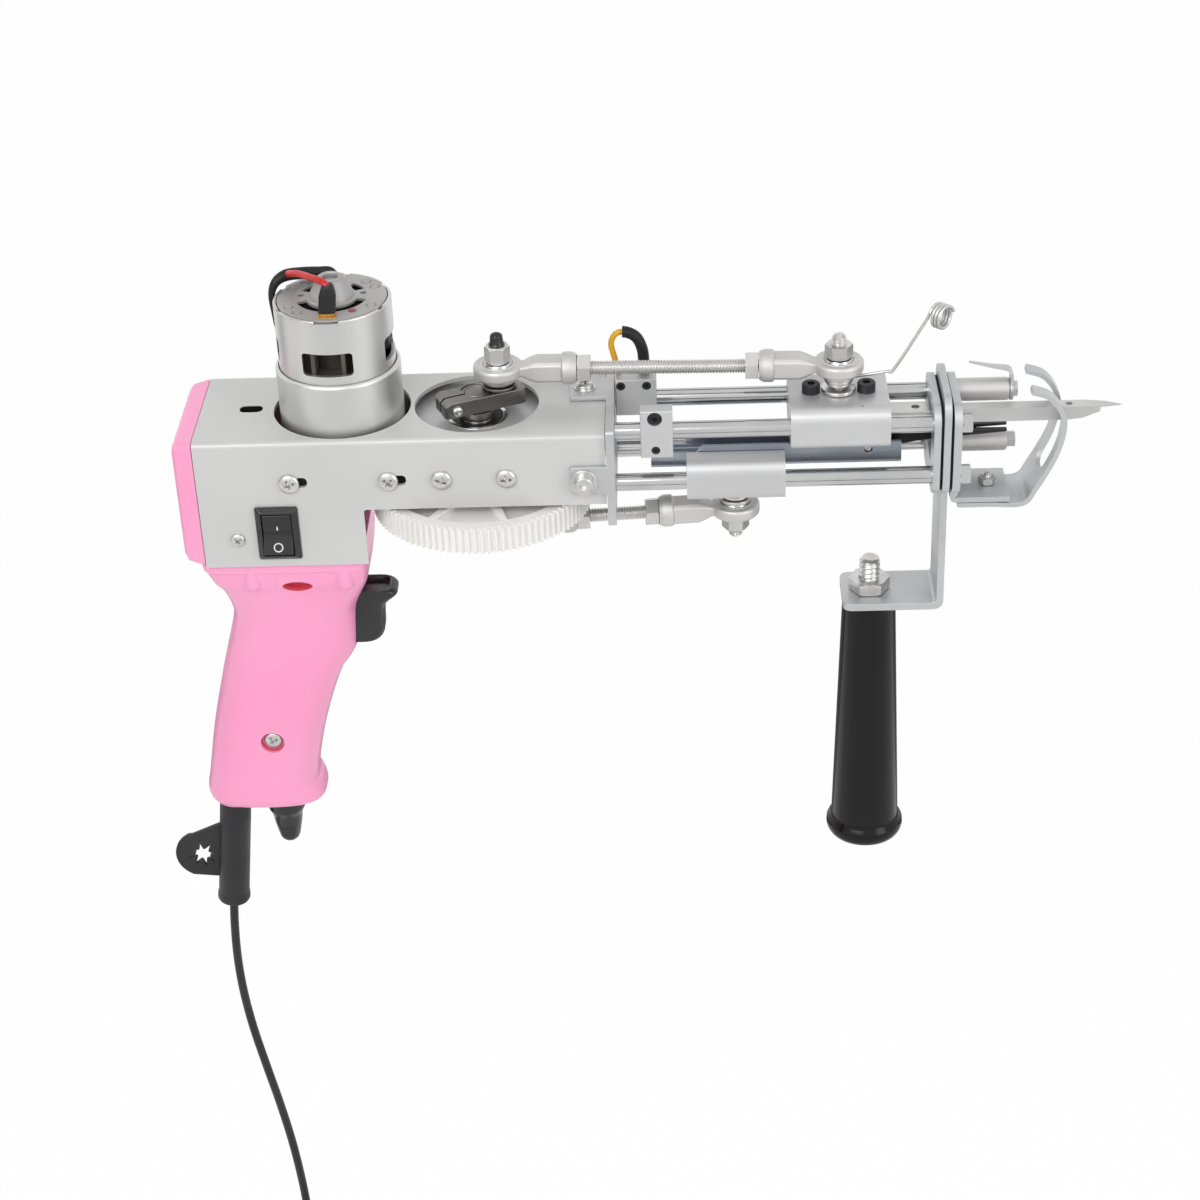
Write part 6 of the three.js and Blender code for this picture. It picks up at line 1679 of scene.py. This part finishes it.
piece("yarn_wire", [yarn_wire()], "needle_carriage", threaded_steel, ["thread_guide"])
piece("yarn_finger", yarn_hook(), "frame", plate_steel, ["yarn_hook"])
piece("foot_forked", [foot_strip()], "presser_foot", plate_steel, ["presser_foot"])
piece("foot_screw", foot_bolt(), "frame", fastener_steel, ["foot_bolt"])
print("yarn parts and foot built")

# %% [markdown]
# ## The pistol grip
#
# The grip is moulded in two halves that meet on the middle plane. Its sections are rounded
# rectangles: almost square where it enters the housing, and rounder where the hand goes round it.
# A few listed sections are joined by a smooth curve, so the skin has no steps. Then come the
# things a mould adds: two screw bosses below the flat band, an oval pocket, the screw's deep recess.

# %% Grip
TRIGGER_BACK, TRIGGER_TOP, TRIGGER_BOTTOM, TRIGGER_HALF = 42.3, -24.3, -46.4, 6.5
CORNER = Vector((REAR, 0, SKIRT))
INNER_WALL = inner - 0.3
SCREW_X, SCREW_Z, KNOB_X, OVAL_X, OVAL_Z = 14.3, -84.8, 13.8, 31.6, -11.7
RELIEF_TOP = Vector((-6, 0, -119.3))
RELIEF_DOWN = (Vector((-12.4, 0, -172.1)) - RELIEF_TOP).normalized()
NECK = [(3.1, 0.9, 57.3, INNER_WALL, 12), (-0.7, 0.9, 57.4, INNER_WALL, 12),
        (-0.95, -3.2, 57.5, INNER_WALL, 12), (-4.0, -2.6, 57.5, INNER_WALL, 12)]
SECTIONS = [  # height, back, front, half width, squareness
    (-4.4, -2.4, 57.4, INNER_WALL - 0.9, 11), (-11.3, -0.4, 56.9, 22.4, 8),
    (-17.3, 1.8, 55.6, 20, 5), (-28, 3.6, 51, 18, 3.2), (-35.3, 2.7, 50.2, 17.2, 2.8),
    (-46.3, -0.3, 49.6, 16.8, 2.6), (-52.3, -2, 46.9, 16.8, 2.6), (-60.8, -4.3, 41.6, 16.9, 2.6),
    (-83.3, -9.9, 33.9, 17.1, 2.6), (-105.3, -14.1, 28.9, 17.2, 2.6), (-110.8, -15.3, 29.9, 17.1, 2.7),
    (-114.3, -15.1, 30.8, 16.5, 2.9), (-116.7, -14, 30.8, 15, 3), (-118, -11.6, 28.6, 12.4, 3),
]


def at_corner(shape):
    return moved(shape, Matrix.Translation(CORNER))


def blended(rows, share):
    """A Catmull-Rom step between the middle two of four rows."""
    a, b, c, d = rows
    return tuple(0.5 * (2 * q + (r - p) * share + (2 * p - 5 * q + 4 * r - s) * share ** 2
                        + (3 * q - p - 3 * r + s) * share ** 3) for p, q, r, s in zip(a, b, c, d))


def smooth_rows(rows, steps):
    """The rows again, with blended ones between them."""
    made, padded = [], [rows[0], *rows, rows[-1]]
    for i in range(len(rows) - 1):
        made += [blended(padded[i:i + 4], k / steps) for k in range(steps)]
    return made + [rows[-1]]


def even_points(points, count):
    """The same closed outline, as points at even steps along it."""
    lengths = [0.0]
    for a, b in zip(points, points[1:] + points[:1]):
        lengths.append(lengths[-1] + math.dist(a, b))
    made, i = [], 0
    for k in range(count):
        target = lengths[-1] * (k + 0.5) / count
        while lengths[i + 1] < target:
            i += 1
        share = (target - lengths[i]) / (lengths[i + 1] - lengths[i])
        a, b = points[i], points[(i + 1) % len(points)]
        made.append(tuple(p + (q - p) * share for p, q in zip(a, b)))
    return made


def grip_body():
    """Superellipses: a squareness of 2 is an ellipse, and 12 is almost a rectangle."""
    rings = []
    for height, back, front, half, squareness in reversed(NECK + smooth_rows(SECTIONS, 4)):
        ring, power = [], 2 / squareness
        for c, s in circle(1, sides=720):
            x = (back + front) / 2 + (front - back) / 2 * math.copysign(abs(c) ** power, c)
            ring.append((x, half * math.copysign(abs(s) ** power, s), height))
        rings.append(even_points(ring, 120))
    return lofted(rings)


def relief_cylinder(radius, start, end, sides=40):
    return standing(rod(radius, start, end, axis="Z", sides=sides), RELIEF_TOP, RELIEF_DOWN)


def oval_post(long, high, hand, low, top):
    outline = [(OVAL_X + long * c, OVAL_Z + high * s) for c, s in circle(1, sides=40)]
    return prism(outline, hand * low, hand * top, "Y")


def grip_half(hand):
    """One half of the grip, with everything that its mould adds or leaves open."""
    whole = fused(grip_body(), relief_cylinder(8, -9, 2.0, 56))
    half = common(whole, block(-60, 120, hand * 0.15, hand * 60, -200, 60))
    recess = rod(4.6, *sorted((hand * 14.2, hand * 40)), (SCREW_X, SCREW_Z), "Y", 48)
    pocket = block(TRIGGER_BACK - 7.5, 120, -6.8, 6.8, TRIGGER_BOTTOM - 0.6, TRIGGER_TOP + 0.6)
    knob_hole = rod(3.4, -119, -109, (KNOB_X, 0), "Z")
    half = carved(half, oval_post(5.65, 2.4, hand, 17, 30), recess, pocket,
                  relief_cylinder(7.2, -8, 12), knob_hole)
    return at_corner(soft(half, 0.3, 3, 48))


def grip_bosses(hand):
    """Two half-cylinders that stand out below the flat band."""
    profile = [(0, -12.6), (1.5, -12.5), (2.5, -12.1), (3.1, -11.2), (3.2, -10.4), (3.2, -3.2), (0, -3.2)]
    boss_y = hand * (INNER_WALL - 0.25 - 3.2)
    return [at_corner(turned(profile, (x, boss_y, 0), "Z", 48)) for x in (15.3, 49.4)]


piece("grip_left", [grip_half(1)] + grip_bosses(1), "frame", pink_plastic, ["grip_shell_left"], 40)
piece("grip_right", [grip_half(-1)] + grip_bosses(-1), "frame", pink_plastic, ["grip_shell_right"], 40)


def grip_screws():
    shapes = []
    for hand, outwards in BOTH_SIDES:
        shapes += fitted(pan_screw(3.5, 1.9), CORNER + Vector((SCREW_X, hand * 14.3, SCREW_Z)), outwards, 25)
    return shapes


def recess_shade_linings():
    """Thin skins of painted shade in the deepest pockets: a warm red that stands for pink light bouncing
    there.
    """
    shapes = []
    for hand in (-1, 1):
        ends = sorted((hand * 14.25, hand * 15.9))
        shapes.append(tube(4.5, 4.58, *ends, (SCREW_X, 0, SCREW_Z), "Y", 48))
        shapes.append(carved(oval_post(5.62, 2.37, hand, 17.02, 21.4), oval_post(5.5, 2.25, hand, 17.3, 23)))
    return [at_corner(shape) for shape in shapes]


piece("grip_screws", grip_screws(), "frame", fastener_steel)
# Painted shade: red skins in the screw recesses and the oval pockets.
piece("grip_recess_rims", recess_shade_linings(), "frame", recess_red)
print("grip built")

# %% [markdown]
# ## Trigger, knob and strain relief
#
# The trigger's top is a dished wing with a raised rim. The speed knob tapers between two flats, and
# the soft relief that guards the lead has a hanging tab with a star-shaped hole.

# %% Trigger, knob and relief
TRIGGER_FRONTS = [  # height, and how far the front reaches there
    (-46.4, 56.4), (-46.2, 57.4), (-45.6, 58.4), (-44.6, 59.2), (-42.3, 59.9), (-36, 60.2), (-31.8, 61),
    (-29.4, 62.9), (-27.6, 65.2), (-26.6, 65.9), (-25.7, 65.9), (-24.9, 65.2), (-24.45, 64.3), (-24.3, 63.4)]


def trigger_ring(height, front, narrow=0.0):
    half, back = TRIGGER_HALF - narrow, TRIGGER_BACK + 1.6 * narrow
    plan = eased([(back, -half), (front - narrow, -half), (front - narrow, half), (back, half)],
                 [0, 4.6 - narrow, 4.6 - narrow, 0], 10)
    return [(x, y, height) for x, y in plan]


def trigger_body():
    """A rounded front whose plan is the same all the way. Its top turns inwards to a dish."""
    rings = [trigger_ring(*row) for row in smooth_rows(TRIGGER_FRONTS, 3)]
    for narrow, drop in ((0.5, -0.12), (1.1, 0.0), (1.4, 0.3), (1.7, 1.6), (2.3, 1.9)):
        rings.append(trigger_ring(TRIGGER_TOP - drop, TRIGGER_FRONTS[-1][1] + 0.7, narrow))
    return at_corner(lofted(rings))


def knob():
    top = -118.3
    body = turned([
        (0, top - 24.4), (1.6, top - 24.35), (2.6, top - 23.9), (3.5, top - 23), (4.1, top - 21.6),
        (5.4, top - 15.2), (5.9, top - 11.4), (6.3, top - 10), (7.1, top - 8.4), (7.4, top - 7.4),
        (7.4, top - 0.3), (7.1, top), (3, top), (3, top + 8), (0, top + 8)], (KNOB_X, 0, 0), "Z", 72)
    flats = [block(KNOB_X - 9, KNOB_X + 9, h * 3.9, h * 9, top - 27, top - 15) for h in (-1, 1)]
    return at_corner(soft(carved(body, *flats), 0.25, 3, 40))


def relief():
    """A sleeve with a flared end, and a tab whose star is four crossed diamonds and a disc."""
    sleeve = relief_cylinder(6.2, -7, 53.2, 56)
    flare = standing(turned([(6.1, 48.2), (6.5, 50.2), (6.6, 52.2), (6.2, 53.0), (3.0, 53.19), (3, 48.2)]),
                     RELIEF_TOP, RELIEF_DOWN)
    star = (-22.5, -149.7)
    tab = [(-9.7, -133.3), (-12.7, -133.9), (-25.7, -139.7)]
    tab += [polar(11, math.radians(a), *star) for a in range(116, 246, 8)] + [(-11.7, -161.3)]
    plate = soft(prism(tab, -0.9, 0.9, "Y"), 0.4, 4, 40)
    rays = [prism(circle(2.9, *star, 24), -3, 3, "Y")]
    for k in range(4):
        outline = [polar(reach, math.radians(angle + 45 * k + 8), *star)
                   for reach, angle in ((5.9, 0), (1.5, 90), (5.9, 180), (1.5, 270))]
        rays.append(prism(outline, -3, 3, "Y"))
    plate = carved(plate, fused(*rays))
    return [at_corner(shape) for shape in (soft(sleeve, 0.5, 3), flare, plate)]


piece("trigger_wing", [trigger_body()], "trigger", black_plastic, ["trigger"])
piece("knob_tapered", [knob()], "speed_knob", black_plastic, ["speed_knob"])
piece("relief_sleeve", relief(), "frame", black_rubber, ["strain_relief"])
print("trigger, knob and relief built")

# %% [markdown]
# ## The side handle
#
# A turned handle on an M8 stud. The stud's coarse thread shows above its nut, where daylight picks
# out each turn.

# %% Side handle
HANDLE_LENGTH, STUD_R = 108.5, 4.0


def handle_grip():
    top = LEG_Z - 3.3
    foot = top - HANDLE_LENGTH
    profile = [
        (0, foot), (11.6, foot), (12.8, foot + 0.3), (14, foot + 1.2), (14.7, foot + 2.4), (15, foot + 3.9),
        (14.9, foot + 5.4), (14.4, foot + 6.6), (13.6, foot + 7.6), (13.1, foot + 8.6), (13, foot + 9.6),
        (13, foot + 12), (10.05, top - 1.5), (9.85, top - 0.7), (9.3, top - 0.1), (9, top), (0, top)]
    return turned(profile, (HANDLE_X, 0, 0), "Z", 112)


def handle_bolt():
    lock_nut = shifted(nut(15.6, 4.7, STUD_R), z=LEG_Z + 0.3)
    stud = thread(STUD_R, 2.0, LEG_Z - 2, LEG_Z + 13.4, 48, depth=0.75, tip=0.8)
    return all_shifted((lock_nut, stud), HANDLE_X)


piece("side_grip", [handle_grip()], "frame", handle_plastic, ["side_handle"], 40)
piece("side_bolt", handle_bolt(), "frame", fastener_steel, ["handle_bolt"])
print("handle length", HANDLE_LENGTH, "mm")

# %% [markdown]
# ## The signal wire and the motor's mount
#
# A thin yellow wire rises before the front plate and goes down again in a black sleeve. Under the
# motor, a folded plate with two flanges hangs it between the housing's walls.

# %% Signal wire and mount
LOOP_X, LOOP_Y, LOOP_Z, SLEEVE_START = FRONT_PLATE_X, ROD_Y + 2, UPPER_Z + 10.0, 0.46
loop = [(4.6, 0), (3.2, 6), (2.2, 11.4), (4, 15.2), (7.6, 15.8), (11.4, 13.6), (13.4, 9), (13.9, 4), (14, 0)]
loop_line = smooth_line([(LOOP_X + x, LOOP_Y, LOOP_Z + z) for x, z in loop], 6)
split = int(len(loop_line) * SLEEVE_START)
piece("signal_loop", [wire(loop_line[:split + 2], 1.1)], "frame", yellow_insulation, ["signal_wire"])
piece("signal_sleeve", [wire(loop_line[split:], 2.1)], "frame", black_insulation)


def motor_mount():
    top, wall = CAN_BOTTOM - 0.3, INNER_WALL
    x0, x1 = ROCKER_X + 9.3, MOTOR_X + CAN_R + 0.5
    base = block(x0, x1, -wall, wall, top - 4, top)
    flange_top = SIDE_SCREW_Z + 6
    side = eased([(x0 - 7, flange_top - 12), (x0, flange_top - 12), (x0, top - 4), (x1, top - 4),
                  (x1, flange_top), (x0 - 7, flange_top)], [1.5, 1, 0, 0, 1.5, 1.5], 5)
    flanges = [prism(side, h * wall, h * (wall - 2), "Y") for h in (-1, 1)]
    return soft(carved(fused(base, *flanges), rod(6, top - 5, top + 1, (MOTOR_X, 0), "Z")), 0.3, 2)


piece("motor_cradle", [motor_mount()], "frame", mount_steel, ["motor_mount"])

# %% [markdown]
# ## Light and stage
#
# A plain white table, broad soft lamps and a white surround show the colours about as they are
# written. Bright metal, though, is only as interesting as what it mirrors. Photographers place
# black cards beside polished rods, so that a dark line runs along each of them, and these cards do
# the same: only reflections can see them.

# %% Light and stage
WHITE, SURROUND, TABLE_GLOW = (1, 1, 1, 1), 0.52, 0.97
MIDDLE = Vector((0.1, 0, 0.06))


def seen_or_mirrored(nodes, links):
    """1 for the camera's own rays, mirrors and glass, and 0 for the light that falls on things."""
    path = added(nodes, "LightPath")
    either = added(nodes, "Math", "MAXIMUM")
    any_view = added(nodes, "Math", "MAXIMUM")
    wired(links, (path, "Is Camera Ray", either, 0), (path, "Is Glossy Ray", either, 1),
          (either, "Value", any_view, 0), (path, "Is Transmission Ray", any_view, 1))
    return any_view


bpy.context.scene.view_settings.view_transform = "Standard"
world = bpy.data.worlds.new("studio")
bpy.context.scene.world = world
world.use_nodes = True
nodes, links = world.node_tree.nodes, world.node_tree.links
surround = nodes["Background"]
surround.inputs["Color"].default_value = WHITE
surround.inputs["Strength"].default_value = SURROUND
backdrop = added(nodes, "Background", Color=WHITE, Strength=1.0)
either = added(nodes, "MixShader")
wired(links, (seen_or_mirrored(nodes, links), "Value", either, "Fac"), (surround, "Background", either, 1),
      (backdrop, "Background", either, 2), (either, "Shader", nodes["World Output"], "Surface"))


def lamp(name, place, size, power):
    data = bpy.data.lights.new(name, "AREA")
    data.shape = "RECTANGLE"
    data.size, data.size_y = size
    data.energy = power
    made = linked(name, data)
    made.location = place
    made.rotation_euler = (MIDDLE - Vector(place)).to_track_quat("-Z", "Y").to_euler()
    return made


lamp("key", (-0.35, -1.05, 0.9), (0.9, 0.7), 8.8)
lamp("fill", (1.05, -0.75, 0.45), (0.5, 0.9), 3.8)
rim = lamp("rim", (0.1, 0.9, 0.9), (1.4, 0.4), 4.2)
rim.visible_glossy = False


def card(name, corners, material, hidden=True):
    """A flat sheet of the stage. A hidden one is seen only in mirrors."""
    mesh = bpy.data.meshes.new(name)
    mesh.from_pydata(corners, [], [(0, 1, 2, 3)])
    mesh.materials.append(material)
    made = linked(name, mesh)
    if hidden:
        made.visible_camera = False
        made.visible_diffuse = False
        made.visible_shadow = False
        made.visible_transmission = False


def matt(name, tone, roughness=1.0):
    material = bpy.data.materials.new(name)
    material.use_nodes = True
    shader = material.node_tree.nodes["Principled BSDF"]
    shader.inputs["Base Color"].default_value = (tone, tone, tone, 1)
    shader.inputs["Roughness"].default_value = roughness
    return material


table_top = matt("table_top", 0.9, 0.9)
nodes, links = table_top.node_tree.nodes, table_top.node_tree.links
glow = added(nodes, "Emission", Color=WHITE, Strength=1.0)
share = added(nodes, "Math", "MULTIPLY")
share.inputs[1].default_value = TABLE_GLOW
blend = added(nodes, "MixShader")
wired(links, (seen_or_mirrored(nodes, links), "Value", share, 0), (share, "Value", blend, "Fac"),
      (nodes["Principled BSDF"], "BSDF", blend, 1), (glow, "Emission", blend, 2),
      (blend, "Shader", nodes["Material Output"], "Surface"))
card("table", [(-6, -6, TABLE_Z), (6, -6, TABLE_Z), (6, 6, TABLE_Z), (-6, 6, TABLE_Z)],
     table_top, hidden=False)

card_black, card_grey = matt("card_black", 0.02), matt("card_grey", 0.25)
card("card_front", [(-1.2, -1.2, -0.3), (1.4, -1.2, -0.3), (1.4, -0.92, -0.3), (-1.2, -0.92, -0.3)],
     card_black)
card("card_high", [(-0.9, 0.5, 1.0), (1.2, 0.5, 1.0), (1.2, 0.72, 0.9), (-0.9, 0.72, 0.9)],
     card_black)
card("card_left", [(-1.1, -0.5, -0.2), (-1.1, -0.2, -0.2), (-1.1, -0.2, 0.8), (-1.1, -0.5, 0.8)],
     card_black)
card("card_behind", [(-1.3, 0.28, -0.31), (1.5, 0.28, -0.31), (1.5, 0.6, -0.31), (-1.3, 0.6, -0.31)],
     card_grey)
print("lamps", len(bpy.data.lights))

# %% [markdown]
# ## The pieces that stay as they are
#
# A CAD node whose shape is already right only needs its finish. The record names a material slot
# for each node, and the finishes above have the same names, so the two are matched by name.

# %% Finishes on the CAD nodes
matched = 0
for node in frame["nodes"].values():
    for spot in node.material_slots:
        slot_name = spot.material.name.split(".")[0] if spot.material else ""
        if slot_name in slots:
            spot.material = bpy.data.materials.get(slot_name)
            matched += 1
print("finishes matched by name", matched)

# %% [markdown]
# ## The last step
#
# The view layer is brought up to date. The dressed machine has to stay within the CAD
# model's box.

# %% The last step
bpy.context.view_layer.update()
